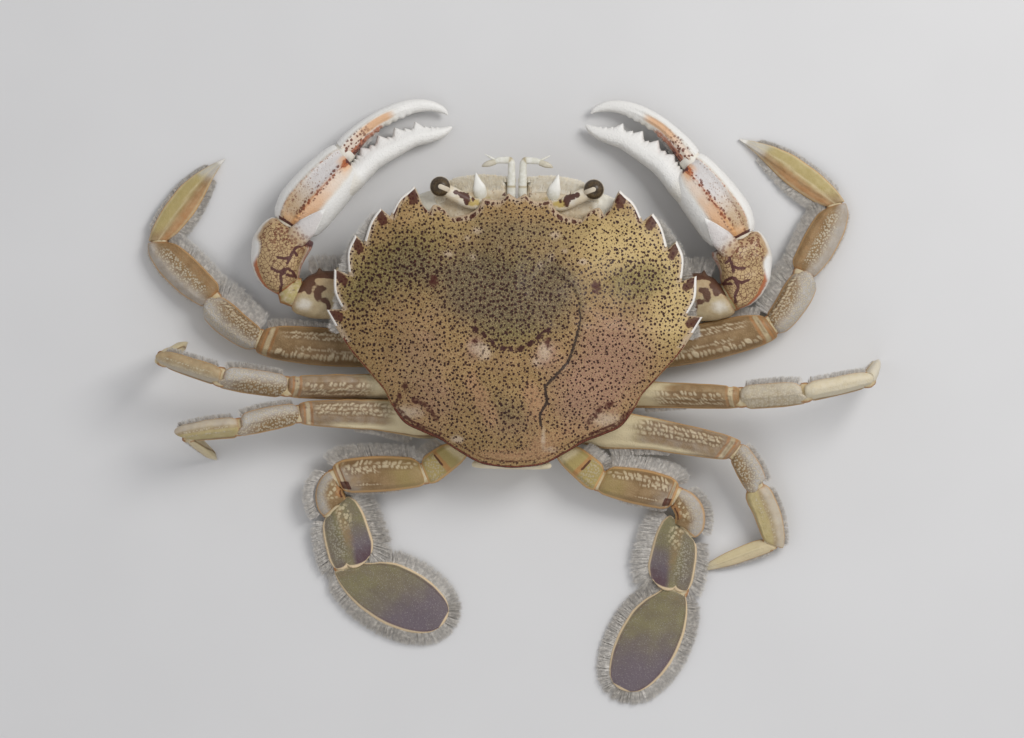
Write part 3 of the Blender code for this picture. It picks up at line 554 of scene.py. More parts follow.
TISSUE_FINISH = Finish(
    "face_tissue", (0.53, 0.43, 0.29), (0.60, 0.52, 0.39), 2.6,
    layers=(Dots(0.55, 0.20, (0.74, 0.69, 0.58), "", amount=0.35, soft=0.2),
            Dots(1.15, 0.15, (0.34, 0.18, 0.09), "", amount=0.65, soft=0.12),
            Tint("white", (0.72, 0.69, 0.60), ragged=0.3, size=1.2, amount=0.9, soft=0.4),
            Tint("yellow", (0.34, 0.24, 0.04), ragged=0.4, size=0.8, amount=0.85, soft=0.35),
            Tint("dark", MAROON, ragged=0.55, size=0.7, amount=0.92)),
    roughness=0.5, coat=0.08, grains=(Grain(0.5, 0.08, False),),
)
SKIN_FINISH = Finish(
    "joint_skin", (0.56, 0.47, 0.31), (0.48, 0.37, 0.20), 1.6,
    layers=(Tint("olive", (0.36, 0.30, 0.085), ragged=0.7, size=1.0, amount=0.80, soft=0.3),
            Tint("white", (0.74, 0.70, 0.62), amount=0.95),
            Tint("warm", (0.36, 0.15, 0.05), ragged=0.6, size=0.8, amount=0.8, soft=0.3)),
    roughness=0.55, coat=0.05, grains=(Grain(0.5, 0.06, False),),
)
EYE_FINISH = Finish(
    "eye_olive", (0.090, 0.058, 0.026), (0.050, 0.030, 0.014), 1.2,
    layers=(Dots(0.22, 0.28, (0.24, 0.185, 0.105), "", amount=0.5, soft=0.1),
            Tint("dark", (0.022, 0.013, 0.007), amount=0.85),
            Tint("white", (0.60, 0.52, 0.40), ragged=0.06, size=0.7),
            Tint("rim", (0.42, 0.34, 0.22), amount=0.9)),
    roughness=0.32, coat=0.22, grains=(Grain(0.24, 0.03),),
)
STALK_FINISH = Finish(
    "stalk_marked", (0.64, 0.55, 0.40), (0.70, 0.64, 0.53), 2.0,
    layers=(Tint("warm", (0.42, 0.29, 0.05), ragged=0.4, size=0.8, amount=0.85, soft=0.35),
            Tint("dark", MAROON, ragged=0.65, size=0.7, amount=0.95)),
    roughness=0.45, coat=0.12, grains=(Grain(0.5, 0.03, False),),
)
FEELER_FINISH = Finish(
    "feeler_straw", (0.64, 0.62, 0.53), (0.74, 0.72, 0.65), 1.0,
    layers=(Tint("groove", (0.36, 0.27, 0.12), amount=0.8),
            Tint("warm", (0.50, 0.38, 0.10), ragged=0.3, size=0.8, amount=0.8),
            Tint("white", (0.78, 0.76, 0.70), amount=0.9)),
    roughness=0.42, coat=0.2, grains=(Grain(0.4, 0.02, False),),
)
BEAD_FINISH = Finish(
    "bead_maroon", (0.120, 0.026, 0.014), (0.180, 0.050, 0.024), 1.5, roughness=0.38, coat=0.1,
    grains=(Grain(0.3, 0.01, False),),
)
HAIR_FINISH = Finish(
    "hair_grey", (0.50, 0.47, 0.43), (0.70, 0.66, 0.60), 0.8, roughness=0.7, coat=0.0,
    grains=(Grain(0.5, 0.01, False),),
)
PALE_HAIR_FINISH = Finish(
    "hair_cream", (0.87, 0.80, 0.66), (0.93, 0.88, 0.77), 1.0, roughness=0.7, coat=0.0,
    grains=(Grain(0.5, 0.01, False),),
)


# Meshes

@dataclass
class Skin:
    """A closed mesh in the making, in millimetres, with masks on its points."""

    points: Array
    quads: Array
    triangles: Array
    masks: Masks

    @classmethod
    def from_rings(cls, rings: Array, masks: Optional[Masks] = None) -> "Skin":
        """Close rings of equal count into a skin with capped ends.

        Args:
            rings: Points, rows by count by 3.
            masks: Values, rows by count, by name.

        Returns:
            The skin, its faces outwards.
        """
        rows, count = rings.shape[:2]
        base = (np.arange(rows - 1)[:, None] * count + np.arange(count)[None, :]).ravel()
        ahead = (np.arange(rows - 1)[:, None] * count + (np.arange(count)[None, :] + 1) % count).ravel()
        quads = np.stack([base, ahead, ahead + count, base + count], 1)
        points = rings.reshape(-1, 3)
        first, last = len(points), len(points) + 1
        points = np.vstack([points, rings[0].mean(0), rings[-1].mean(0)])
        near = np.arange(count)
        beside = (near + 1) % count
        far = (rows - 1) * count
        triangles = np.vstack([np.stack([beside, near, np.full(count, first)], 1),
                               np.stack([near + far, beside + far, np.full(count, last)], 1)])
        values = {}
        for name, value in (masks or {}).items():
            value = np.broadcast_to(clamp(value), (rows, count))
            values[name] = np.concatenate([value.ravel(), [value[0].mean(), value[-1].mean()]])
        made = cls(points, quads, triangles, values)
        if made.volume() < 0:
            made.quads = made.quads[:, ::-1]
            made.triangles = made.triangles[:, ::-1]
        return made

    def volume(self) -> float:
        """Give the signed volume, above zero where the faces point outwards."""
        split = np.vstack([self.quads[:, [0, 1, 2]], self.quads[:, [0, 2, 3]], self.triangles])
        a, b, c = (self.points[split[:, k]] for k in range(3))
        return float(np.einsum("ij,ij->i", a, np.cross(b, c)).sum() / 6.0)

    @classmethod
    def join(cls, skins: Sequence["Skin"]) -> "Skin":
        """Put several skins in one mesh; a mask that one lacks is 0 there."""
        names = sorted({name for skin in skins for name in skin.masks})
        points, quads, triangles, start = [], [], [], 0
        values: dict[str, list] = {name: [] for name in names}
        for skin in skins:
            points.append(skin.points)
            quads.append(skin.quads + start)
            triangles.append(skin.triangles + start)
            for name in names:
                values[name].append(skin.masks.get(name, np.zeros(len(skin.points))))
            start += len(skin.points)
        masks = {name: np.concatenate(value) for name, value in values.items()}
        return cls(np.vstack(points), np.vstack(quads), np.vstack(triangles), masks)

    def mesh(self, name: str) -> bpy.types.Mesh:
        """Make Blender's mesh of the skin, nothing below the floor."""
        points = self.points.copy()
        points[:, 2] = np.maximum(points[:, 2], 0.0)
        made = bpy.data.meshes.new(name)
        made.from_pydata((points * MM).tolist(), [], self.quads.tolist() + self.triangles.tolist())
        for mask, value in self.masks.items():
            layer = made.attributes.new(mask, "FLOAT", "POINT")
            layer.data.foreach_set("value", value.astype(np.float32))
        made.shade_smooth()
        return made


def finish_piece(name: str, shape: object, finish: Finish,
                 nodes: Sequence[str] = ()) -> bpy.types.Object:
    """Put a shape in the scene as one piece of the crab.

    Args:
        name: The piece's name.
        shape: Its skin or its mesh, in place.
        finish: Its finish.
        nodes: CAD nodes that it stands for.

    Returns:
        The piece.
    """
    mesh = shape.mesh(name) if isinstance(shape, Skin) else shape
    mesh.materials.clear()
    mesh.materials.append(finish.build())
    piece = bpy.data.objects.new(name, mesh)
    bpy.context.scene.collection.objects.link(piece)
    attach(piece, "root")
    if nodes:
        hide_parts(*nodes)
    LOG.info("%s: %d faces", name, len(mesh.polygons))
    return piece


def shares(count: int, square: float) -> tuple[Array, Array]:
    """Give the across and rise shares, -1 to 1, round a squared oval."""
    turn = 2 * math.pi * np.arange(count) / count
    across = np.sign(np.cos(turn)) * np.abs(np.cos(turn)) ** (2 / square)
    rise = np.sign(np.sin(turn)) * np.abs(np.sin(turn)) ** (2 / square)
    return across, rise


def eased(count: int) -> Array:
    """Give places from 0 to 1, closer together at both ends."""
    even = np.linspace(0.0, 1.0, count)
    keep, ease = 0.45, 0.55
    return keep * even + ease * (0.5 - 0.5 * np.cos(math.pi * even))


# The limbs' own sizes: (place, front, back, half thickness)

Station = tuple[float, float, float, float]
STATIONS: dict[str, list[Station]] = {
    "cheliped_merus": [
        (0.00, 4.4, 4.2, 3.6), (0.25, 5.4, 5.2, 4.3), (0.60, 6.6, 6.4, 4.8),
        (0.80, 6.6, 6.2, 4.9), (0.93, 5.6, 5.2, 4.6), (1.00, 4.2, 4.0, 4.0)],
    "cheliped_carpus": [
        (0.00, 2.8, 2.4, 4.0), (0.10, 3.0, 6.4, 5.6), (0.25, 3.2, 9.0, 6.4),
        (0.45, 4.0, 10.4, 6.9), (0.65, 5.0, 10.4, 6.9), (0.82, 5.8, 9.0, 6.4),
        (0.94, 6.0, 7.0, 5.2), (1.00, 5.4, 5.6, 4.2)],
    "leg_2_merus": [
        (0.00, 3.0, 3.0, 2.8), (0.20, 4.0, 4.6, 3.2), (0.60, 4.6, 5.7, 3.3),
        (0.85, 4.3, 5.1, 3.2), (0.95, 3.6, 4.2, 3.0), (1.00, 2.9, 3.3, 2.6)],
    "leg_2_carpus": [
        (0.00, 2.2, 2.9, 2.5), (0.12, 2.6, 4.4, 2.9), (0.35, 2.6, 5.4, 3.0),
        (0.65, 2.8, 5.8, 3.0), (0.88, 2.5, 5.3, 2.8), (1.00, 2.0, 4.0, 2.4)],
    "leg_2_propodus": [
        (0.00, 3.2, 3.0, 2.3), (0.12, 4.2, 4.0, 2.6), (0.35, 4.2, 5.2, 2.6),
        (0.60, 4.0, 5.5, 2.4), (0.85, 3.3, 4.6, 2.2), (1.00, 1.9, 2.5, 1.8)],
    "leg_2_dactyl": [
        (0.00, 1.7, 2.3, 1.5), (0.14, 2.5, 3.8, 1.6), (0.35, 2.7, 4.8, 1.5),
        (0.52, 2.2, 4.9, 1.4), (0.70, 1.2, 4.0, 1.2), (0.86, 0.4, 2.3, 0.9),
        (1.00, 0.05, 0.25, 0.4)],
    "leg_3_merus": [
        (0.00, 3.0, 3.0, 2.4), (0.25, 4.1, 4.1, 2.5), (0.65, 4.4, 4.4, 2.5),
        (0.86, 4.0, 4.0, 2.4), (0.95, 3.5, 3.5, 2.4), (1.00, 3.0, 3.0, 2.1)],
    "leg_3_carpus": [
        (0.00, 3.0, 3.0, 2.1), (0.15, 3.8, 3.8, 2.5), (0.60, 4.1, 4.1, 2.5),
        (0.90, 3.6, 3.6, 2.2), (1.00, 2.9, 2.9, 1.8)],
    "leg_3_propodus": [
        (0.00, 2.9, 2.9, 1.8), (0.15, 3.7, 3.7, 2.1), (0.60, 3.6, 3.6, 2.0),
        (0.90, 3.0, 3.0, 1.8), (1.00, 2.4, 2.4, 1.5)],
    "leg_3_dactyl": [
        (0.00, 2.2, 2.2, 1.5), (0.15, 2.6, 2.6, 1.6), (0.45, 2.4, 2.4, 1.4),
        (0.75, 1.5, 1.6, 1.0), (1.00, 0.3, 0.3, 0.3)],
    "leg_4_merus": [
        (0.00, 3.0, 3.0, 2.3), (0.20, 4.0, 4.0, 2.5), (0.50, 4.7, 4.0, 2.5),
        (0.85, 4.1, 3.3, 2.5), (0.95, 3.5, 2.9, 2.4), (1.00, 2.9, 2.4, 2.1)],
    "leg_4_carpus": [
        (0.00, 2.6, 2.2, 2.1), (0.15, 3.6, 2.5, 2.5), (0.60, 4.2, 2.7, 2.5),
        (0.90, 3.8, 2.6, 2.3), (1.00, 3.0, 2.3, 2.0)],
    "leg_4_propodus": [
        (0.00, 3.0, 2.6, 1.9), (0.15, 4.2, 3.2, 2.2), (0.50, 4.9, 2.4, 2.1),
        (0.80, 4.3, 2.0, 1.9), (1.00, 3.0, 1.7, 1.6)],
    "leg_4_dactyl": [
        (0.00, 1.9, 1.9, 1.4), (0.15, 2.2, 2.2, 1.4), (0.50, 2.0, 2.0, 1.2),
        (0.80, 1.2, 1.3, 0.9), (1.00, 0.3, 0.3, 0.35)],
    "leg_5_base": [
        (0.00, 2.6, 2.6, 2.4), (0.30, 3.6, 3.6, 2.9), (0.80, 3.9, 3.9, 2.9),
        (1.00, 3.2, 3.2, 2.5)],
    "leg_5_merus": [
        (0.00, 3.2, 2.6, 2.4), (0.12, 4.6, 3.6, 2.9), (0.55, 5.4, 4.3, 3.0),
        (0.85, 4.9, 4.2, 2.9), (0.95, 4.0, 3.7, 2.7), (1.00, 3.2, 3.0, 2.3)],
    "leg_5_carpus": [
        (0.00, 2.9, 2.9, 2.2), (0.20, 3.9, 3.2, 2.6), (0.55, 4.6, 3.4, 2.6),
        (0.85, 4.6, 3.6, 2.3), (1.00, 3.9, 3.4, 1.8)],
    "leg_5_propodus": [
        (0.00, 3.2, 4.8, 1.3), (0.14, 4.1, 6.7, 1.7), (0.40, 4.7, 7.7, 1.7),
        (0.75, 4.9, 7.9, 1.5), (0.92, 4.5, 7.0, 1.3), (1.00, 3.7, 5.7, 1.1)],
    "leg_5_paddle": [
        (0.00, 3.4, 2.0, 1.0), (0.08, 5.4, 3.2, 1.2), (0.20, 7.3, 5.4, 1.3),
        (0.36, 8.7, 6.9, 1.3), (0.54, 9.2, 7.2, 1.25), (0.70, 8.6, 6.7, 1.2),
        (0.83, 7.3, 5.6, 1.1), (0.93, 5.4, 4.1, 1.0), (0.98, 3.1, 2.3, 0.85),
        (1.00, 1.2, 0.9, 0.6)],
}


@dataclass(frozen=True)
class Pose:
    """Where one limb's joints are, body to tip; the first gives only y on the side wall."""

    joints: tuple
    rolls: dict[str, float] = field(default_factory=dict)
    faces: dict[int, tuple[float, float]] = field(default_factory=dict)


LEG_3_ROLLS = {"merus": 60.0, "carpus": 52.0, "propodus": 70.0, "dactyl": 90.0}
POSES: dict[str, Pose] = {
    "left_leg_2": Pose((6.4, (68.2, 3.8, 5.4), (81.2, -6.6, 4.4), (95.8, -21.9, 2.6), (78.5, -44.6, 0.5))),
    "right_leg_2": Pose((7.6, (-68.8, -2.6, 5.4), (-77.2, -16.7, 4.4), (-85.4, -35.2, 2.6),
                         (-59.3, -52.5, 0.5))),
    "left_leg_3": Pose((15.8, (60.4, 16.2, 15.5), (77.6, 14.0, 20.4), (93.0, 9.4, 18.6), (87.8, 4.9, 0.0)),
                       rolls=LEG_3_ROLLS),
    "right_leg_3": Pose((16.4, (-60.8, 16.8, 15.5), (-77.4, 15.2, 20.4), (-94.2, 11.4, 19.0),
                         (-98.2, 6.2, 0.0)), rolls=LEG_3_ROLLS),
    "left_leg_4": Pose((23.6, (57.1, 23.5, 13.6), (72.6, 27.2, 17.6), (86.2, 29.5, 16.6), (79.2, 36.3, 0.0)),
                       rolls={"merus": 32.0, "carpus": 40.0, "propodus": 62.0, "dactyl": 90.0}),
    "right_leg_4": Pose((24.4, (-59.7, 31.2, 9.6), (-65.2, 40.8, 7.6), (-69.8, 55.8, 3.4),
                         (-50.9, 63.6, 0.5)), rolls={"merus": 22.0, "carpus": 12.0, "propodus": 4.0}),
    "left_leg_5": Pose((31.4, (23.2, 38.8, 7.6), (47.0, 40.5, 6.0), (47.6, 48.9, 3.9), (43.0, 64.0, 1.7),
                        (16.6, 78.0, 1.0)),
                       faces={2: (0.92, 0.40), 3: (-0.73, 0.68), 4: (-0.33, 0.94)}),
    "right_leg_5": Pose((31.4, (-23.6, 39.8, 7.6), (-44.1, 43.6, 6.0), (-46.9, 52.6, 3.9),
                         (-43.9, 68.4, 1.7), (-30.0, 95.8, 1.0)),
                        faces={2: (-0.93, 0.36), 3: (0.73, 0.68), 4: (0.27, 0.96)}),
}


@dataclass(frozen=True)
class SideWall:
    """The squared oval of the body's side wall, which the limbs grow from."""

    half_width: float = 26.0
    front: float = -32.6
    rear: float = 33.9
    square: float = 2.6

    def root(self, y: float, side: Side) -> tuple[Array, Array]:
        """Find where a limb leaves the wall.

        Args:
            y: Place along the body.
            side: Left or right.

        Returns:
            The point on the wall, at height 0, and the outward direction.
        """
        middle, reach = (self.front + self.rear) / 2, (self.rear - self.front) / 2
        share = abs((y - middle) / reach)
        x = self.half_width * (1 - share ** self.square) ** (1 / self.square)
        out = np.array([(x / self.half_width) ** (self.square - 1) / self.half_width,
                        math.copysign(share ** (self.square - 1), y - middle) / reach, 0.0])
        out = unit(out) * np.array([side.value, 1.0, 1.0])
        return np.array([x * side.value, y, 0.0]), out

    def oval(self, aim: Array, half: float, front: float, rear: float) -> Array:
        """Give how far a level squared oval reaches from its middle in each direction."""
        return ((np.abs(aim[:, 0]) / half) ** self.square
                + (np.abs(aim[:, 1]) / ((rear - front) / 2)) ** self.square) ** (-1 / self.square)


WALL = SideWall()


class LimbPiece:
    """One piece of a limb, straight between two joint planes."""

    def __init__(self, start: Array, end: Array, faces: tuple[Array, Array],
                 stations: list[Station], side: Side, roll: float = 0.0) -> None:
        """Set the piece's directions.

        Args:
            start: Middle of the joint nearer the body.
            end: Middle of the farther joint.
            faces: Directions of the two joint planes.
            stations: Sizes along the piece.
            side: Left or right.
            roll: Degrees that the piece's front edge turns upwards.
        """
        self.start, self.end = np.array(start, float), np.array(end, float)
        self.length = float(np.linalg.norm(self.end - self.start))
        self.along = (self.end - self.start) / self.length
        self.level = unit(np.array([self.along[1], -self.along[0], 0.0])) * side.value
        upright = np.cross(self.level, self.along)
        upright *= math.copysign(1.0, upright[2])
        turn = math.radians(roll)
        self.across = self.level * math.cos(turn) + upright * math.sin(turn)
        self.up = upright * math.cos(turn) - self.level * math.sin(turn)
        self.faces = tuple(unit(np.array(face, float)) for face in faces)
        self.stations = stations

    def place(self, t: Array, across: Array, up: Array) -> Array:
        """Give points at shares t between the planes, set off across and up."""
        limits = []
        for face, base, gap, row in ((self.faces[0], 0.0, GAP / 2, self.stations[0]),
                                     (self.faces[1], self.length, -GAP / 2, self.stations[-1])):
            a = np.clip(across, -row[2], row[1])
            b = np.clip(up, -row[3], row[3])
            lean = a * self.across.dot(face) + b * self.up.dot(face)
            limits.append(base + (gap - lean) / self.along.dot(face))
        reach = limits[0] + t * (limits[1] - limits[0])
        return (self.start + across[..., None] * self.across + up[..., None] * self.up
                + reach[..., None] * self.along)

    def rings(self, t: Array, count: int, square: float = 2.3, round_ends: float = 1.1,
              flat: Optional[Callable] = None) -> tuple[Array, Array, Array]:
        """Give the piece's rings.

        Args:
            t: Shares along the piece.
            count: Points in a ring.
            square: How squared the section is.
            round_ends: Length over which the ends draw in, in millimetres.
            flat: Turns the across share into a share of the thickness, if the piece is a plate.

        Returns:
            Points, and the across and rise shares, rows by count.
        """
        sizes = follow(self.stations, t)
        draw = (0.78 + 0.22 * rounded(np.minimum(t, 1 - t) * self.length / round_ends))[:, None]
        part, rise = shares(count, square)
        part, rise = (np.broadcast_to(value, (len(t), count)) for value in (part, rise))
        across = np.where(part > 0, part * sizes[:, :1], part * sizes[:, 1:2]) * draw
        up = rise * sizes[:, 2:3] * draw
        if flat:
            up = up * flat(part)
        return self.place(np.broadcast_to(t[:, None], up.shape), across, up), part, rise

    def middle(self) -> Array:
        """Give the middle of the piece."""
        return self.place(np.array(0.5), np.array(0.0), np.array(0.0))

    def seen(self, points: Array) -> tuple[Array, Array]:
        """Give shares as seen from above: across (+1 at the front edge) and of the height."""
        shares_of = []
        for values in (points @ self.level, points[..., 2]):
            low = values.min(1, keepdims=True)
            high = values.max(1, keepdims=True)
            shares_of.append(2 * (values - low) / np.maximum(high - low, 1e-6) - 1)
        return shares_of[0], shares_of[1]

    def edge(self, t: Array, front: bool) -> Array:
        """Give the outermost points, seen from above, of the front or the rear edge."""
        points, _, _ = self.rings(t, 48)
        sign = 1.0 if front else -1.0
        pick = (points @ self.level * sign).argmax(1)
        return points[np.arange(len(t)), pick]


def limb_pieces(name: str, names: Sequence[str], root_height: float) -> dict[str, LimbPiece]:
    """Lay out the pieces of one limb from its pose.

    Args:
        name: Side and leg, as node names start.
        names: The pieces, body to tip.
        root_height: Height at which the limb leaves the wall.

    Returns:
        The pieces by name.
    """
    pose = POSES[name]
    side = Side.LEFT if name.startswith("left") else Side.RIGHT
    root, outward = WALL.root(pose.joints[0], side)
    root[2] = root_height
    places = [root + outward * GAP / 2] + [np.array(joint, float) for joint in pose.joints[1:]]

    def face(i: int) -> Array:
        """Give the direction of one joint's plane."""
        if i in pose.faces:
            return np.array([*pose.faces[i], 0.0])
        return unit(unit(places[i] - places[i - 1]) + unit(places[i + 1] - places[i]))

    made = {}
    for i, piece in enumerate(names):
        first = outward if i == 0 else face(i)
        last = face(i + 1) if i + 2 < len(places) else unit(places[i + 1] - places[i])
        stations = STATIONS[f"{name[-5:]}_{piece}"]
        made[piece] = LimbPiece(places[i], places[i + 1], (first, last), stations, side,
                                pose.rolls.get(piece, 0.0))
    return made


def joint_skin(place: Array, before: Array, after: Array, wide: float, thick: float,
               reach: float = 1.5, olive: float = 0.0, white: float = 0.0) -> Skin:
    """Give the soft skin inside one joint: a short bent barrel between two pieces.

    Args:
        place: Middle of the joint.
        before: Direction in which the inner piece arrives.
        after: Direction in which the outer piece leaves.
        wide: Half width.
        thick: Half thickness.
        reach: How far it runs into each piece.
        olive: How yellow-green it is, 0 to 1.
        white: How white it is, 0 to 1.

    Returns:
        The skin.
    """
    t = np.linspace(-1.0, 1.0, 9)
    path = np.array([place + (before if v < 0 else after) * v * reach for v in t])
    swell = 1.0 - 0.12 * t ** 2
    rings, part, _ = sweep_rings(path, np.outer(swell, [wide, wide]), swell * thick, 28)
    edge = np.broadcast_to(step(0.7, 1.0, np.abs(part)), rings.shape[:2])
    return Skin.from_rings(rings, {"warm": edge * (1 - white), "olive": olive, "white": white})


def beans(t: Array, seen: Array, length: float, rows: Sequence) -> tuple[Array, Array]:
    """Lay rows of rounded beans over a limb piece.

    Args:
        t: Shares along the piece.
        seen: Shares across it.
        length: The piece's length in millimetres.
        rows: Middle and half width across, pitch and slant in millimetres, first and last share.

    Returns:
        Where the beans are, and where the rows are, 0 to 1.
    """
    spots, ground = np.zeros(t.shape), np.zeros(t.shape)
    for k, (middle, half, pitch, slant, first, last) in enumerate(rows):
        place = (t * length + slant * (seen - middle) / half) / pitch + 0.5 * k
        place = place + 0.30 * np.sin(t * length * 0.83 + 2.1 * k) + 0.16 * np.sin(t * length * 2.3 + k)
        cell = np.round(place)
        chance = np.sin(cell * 12.9898 + k * 78.233) * 43758.5453
        chance = chance - np.floor(chance)
        wander = 0.25 * half * np.sin(t * length * 0.61 + 1.7 * k)
        aside = (seen - middle - wander - (chance - 0.5) * 0.9 * half) / (half * (0.62 + 0.50 * chance))
        ends = step(first - 0.05, first + 0.05, t) * step(last + 0.04, last - 0.04, t)
        far = np.hypot((place - cell) / (0.30 + 0.16 * (1 - chance)), aside)
        core = 0.30 * step(0.55, 0.15, far)
        spots = np.maximum(spots, (step(1.15, 0.70, far) - core) * (0.55 + 0.45 * chance) * ends)
        ground = np.maximum(ground, band(seen, middle, half * 1.05, 0.12) * ends)
    return spots, ground


def sweep_rings(path: Array, wide: Array, thick: Array, count: int,
                square: float = 2.2, faces: Optional[tuple] = None,
                ) -> tuple[Array, Array, Array]:
    """Carry a squared oval along a bent path.

    Args:
        path: Points along the middle.
        wide: Half widths on the front and the back side, for each point.
        thick: Half thicknesses.
        count: Points in a ring.
        square: How squared the section is.
        faces: Directions that the first and the last ring look in, or None for each.

    Returns:
        Points, and the across and rise shares, rows by count.
    """
    heading = unit(np.gradient(path, axis=0))
    if faces:
        share = np.linspace(0.0, 1.0, len(path))[:, None]
        for face, near in ((faces[0], 1 - step(0.0, 0.14, share)), (faces[1], step(0.86, 1.0, share))):
            if face is not None:
                heading = unit(heading * (1 - near) + np.array(face, float) * near)
    level = unit(np.stack([heading[:, 1], -heading[:, 0], np.zeros(len(path))], 1))
    upright = np.cross(level, heading)
    part, rise = shares(count, square)
    across = np.where(part > 0, part * wide[:, :1], part * wide[:, 1:2])
    up = rise * thick[:, None]
    points = path[:, None] + across[..., None] * level[:, None] + up[..., None] * upright[:, None]
    return points, np.broadcast_to(part, across.shape), np.broadcast_to(rise, across.shape)


# Hair and beads, set by Geometry Nodes

# How deep a root lies in its piece, and the least heights of a root and of a tip
ROOT_SINK = 0.5
LOWEST_ROOT = 0.15
LOWEST_TIP = 0.1


@dataclass
class Roots:
    """Places from which hair grows: point, direction, length and place on the unwrap."""

    points: list = field(default_factory=list)
    aims: list = field(default_factory=list)
    lengths: list = field(default_factory=list)
    unwrap: list = field(default_factory=list)

    def add(self, line: Array, out: Array, lengths: tuple[float, float], density: float,
            row: int, rows: int, lean: float = 0.3, layers: float = 0.5, drop_by: float = 0.0) -> None:
        """Grow hair along a line.

        Args:
            line: Points along the edge, in millimetres.
            out: Outward direction at each point.
            lengths: Length of the hair at the line's start and end.
            density: Hairs on each millimetre.
            row: Which strip of the unwrap this line takes.
            rows: How many strips there are.
            lean: How far the hair leans the way the line runs.
            layers: Half the height over which the roots spread.
            drop_by: How far below the line the roots lie.
        """
        chance = np.random.default_rng(SEED + len(self.points) * 13 + row)
        known = lengths_along(line)
        total = known[-1]
        count = max(4, int(total * density))
        share = np.sort(chance.uniform(0.0, 1.0, count))
        here = read_line(line, known / total, share)
        away = unit(read_line(out, known / total, share))
        ahead = unit(read_line(np.gradient(line, axis=0), known / total, share))
        clump = np.sin(share * total * 2.9 + row) * 0.5 + np.sin(share * total * 7.1 + 2 * row) * 0.5
        aim = away + ahead * (lean + 0.06 * clump[:, None] + chance.normal(0, 0.05, (count, 1)))
        height = chance.uniform(-1.0, 1.0, count)
        aim[:, 2] += height * 0.06 + chance.normal(0, 0.03, count)
        aim = unit(aim)
        tuft = np.sin(share * total * 1.3 + 3 * row) * np.sin(share * total * 4.3 + row)
        length = np.interp(share, [0, 1], lengths) * (0.96 + 0.06 * tuft + chance.normal(0, 0.07, count))
        length *= 0.50 + 0.50 * step(0.0, 0.05, share) * step(1.0, 0.95, share)
        here = here - away * ROOT_SINK
        here[:, 2] = np.maximum(here[:, 2] + (height * layers - drop_by), LOWEST_ROOT)
        drop = (LOWEST_TIP - here[:, 2]) / np.maximum(length + ROOT_SINK, 0.1)
        aim[:, 2] = np.maximum(aim[:, 2], drop)
        self.points.extend(here)
        self.aims.extend(unit(aim))
        self.lengths.extend(length + ROOT_SINK)
        self.unwrap.extend(np.stack([share * 0.99, (row + 0.5 + 0.4 * height) / rows], 1))

    def mesh(self, name: str) -> bpy.types.Mesh:
        """Make the mesh of loose points that the hair tree reads."""
        made = bpy.data.meshes.new(name)
        made.from_pydata((np.array(self.points) * MM).tolist(), [], [])
        aim = made.attributes.new("aim", "FLOAT_VECTOR", "POINT")
        aim.data.foreach_set("vector", np.array(self.aims, np.float32).ravel())
        length = made.attributes.new("length", "FLOAT", "POINT")
        length.data.foreach_set("value", (np.array(self.lengths) * MM).astype(np.float32))
        unwrap = made.attributes.new("root_uv", "FLOAT_VECTOR", "POINT")
        flat = np.array(self.unwrap)
        unwrap.data.foreach_set("vector", np.c_[flat, np.zeros(len(flat))].astype(np.float32).ravel())
        return made


class NodeTree(NodeMaker):
    """Builds a Geometry Nodes tree with named inputs."""

    def __init__(self, name: str, inputs: dict[str, tuple[str, float]]) -> None:
        """Start a tree.

        Args:
            name: The tree's name.
            inputs: Socket type and default value, by input name.
        """
        self.tree = bpy.data.node_groups.new(name, "GeometryNodeTree")
        face = self.tree.interface
        face.new_socket("Geometry", in_out="INPUT", socket_type="NodeSocketGeometry")
        face.new_socket("Geometry", in_out="OUTPUT", socket_type="NodeSocketGeometry")
        self.keys: dict[str, str] = {}
        for label, (kind, value) in inputs.items():
            socket = face.new_socket(label, in_out="INPUT", socket_type=kind)
            socket.default_value = value
            self.keys[label] = socket.identifier
        self.start = self.tree.nodes.new("NodeGroupInput")
        self.end = self.tree.nodes.new("NodeGroupOutput")

    def named(self, name: str, kind: str) -> bpy.types.NodeSocket:
        """Read a named attribute."""
        return self.node("GeometryNodeInputNamedAttribute", {"Name": name}, data_type=kind).outputs[0]

    def close(self, geometry: bpy.types.NodeSocket, finish: Finish) -> None:
        """End the tree in Realize Instances and Set Material."""
        real = self.node("GeometryNodeRealizeInstances", {0: geometry})
        dressed = self.node("GeometryNodeSetMaterial", {0: real.outputs[0], "Material": finish.build()})
        self.tree.links.new(dressed.outputs[0], self.end.inputs[0])

    def run(self, mesh: bpy.types.Mesh, values: dict[str, object]) -> bpy.types.Mesh:
        """Run the tree over a mesh.

        Args:
            mesh: What the tree reads.
            values: Inputs by name.

        Returns:
            A plain mesh of the result.
        """
        carrier = bpy.data.objects.new(mesh.name, mesh)
        bpy.context.scene.collection.objects.link(carrier)
        modifier = carrier.modifiers.new("tree", "NODES")
        modifier.node_group = self.tree
        for label, value in values.items():
            modifier[self.keys[label]] = value
        depsgraph = bpy.context.evaluated_depsgraph_get()
        made = bpy.data.meshes.new_from_object(carrier.evaluated_get(depsgraph))
        carrier.modifiers.clear()
        bpy.data.objects.remove(carrier, do_unlink=True)
        return made


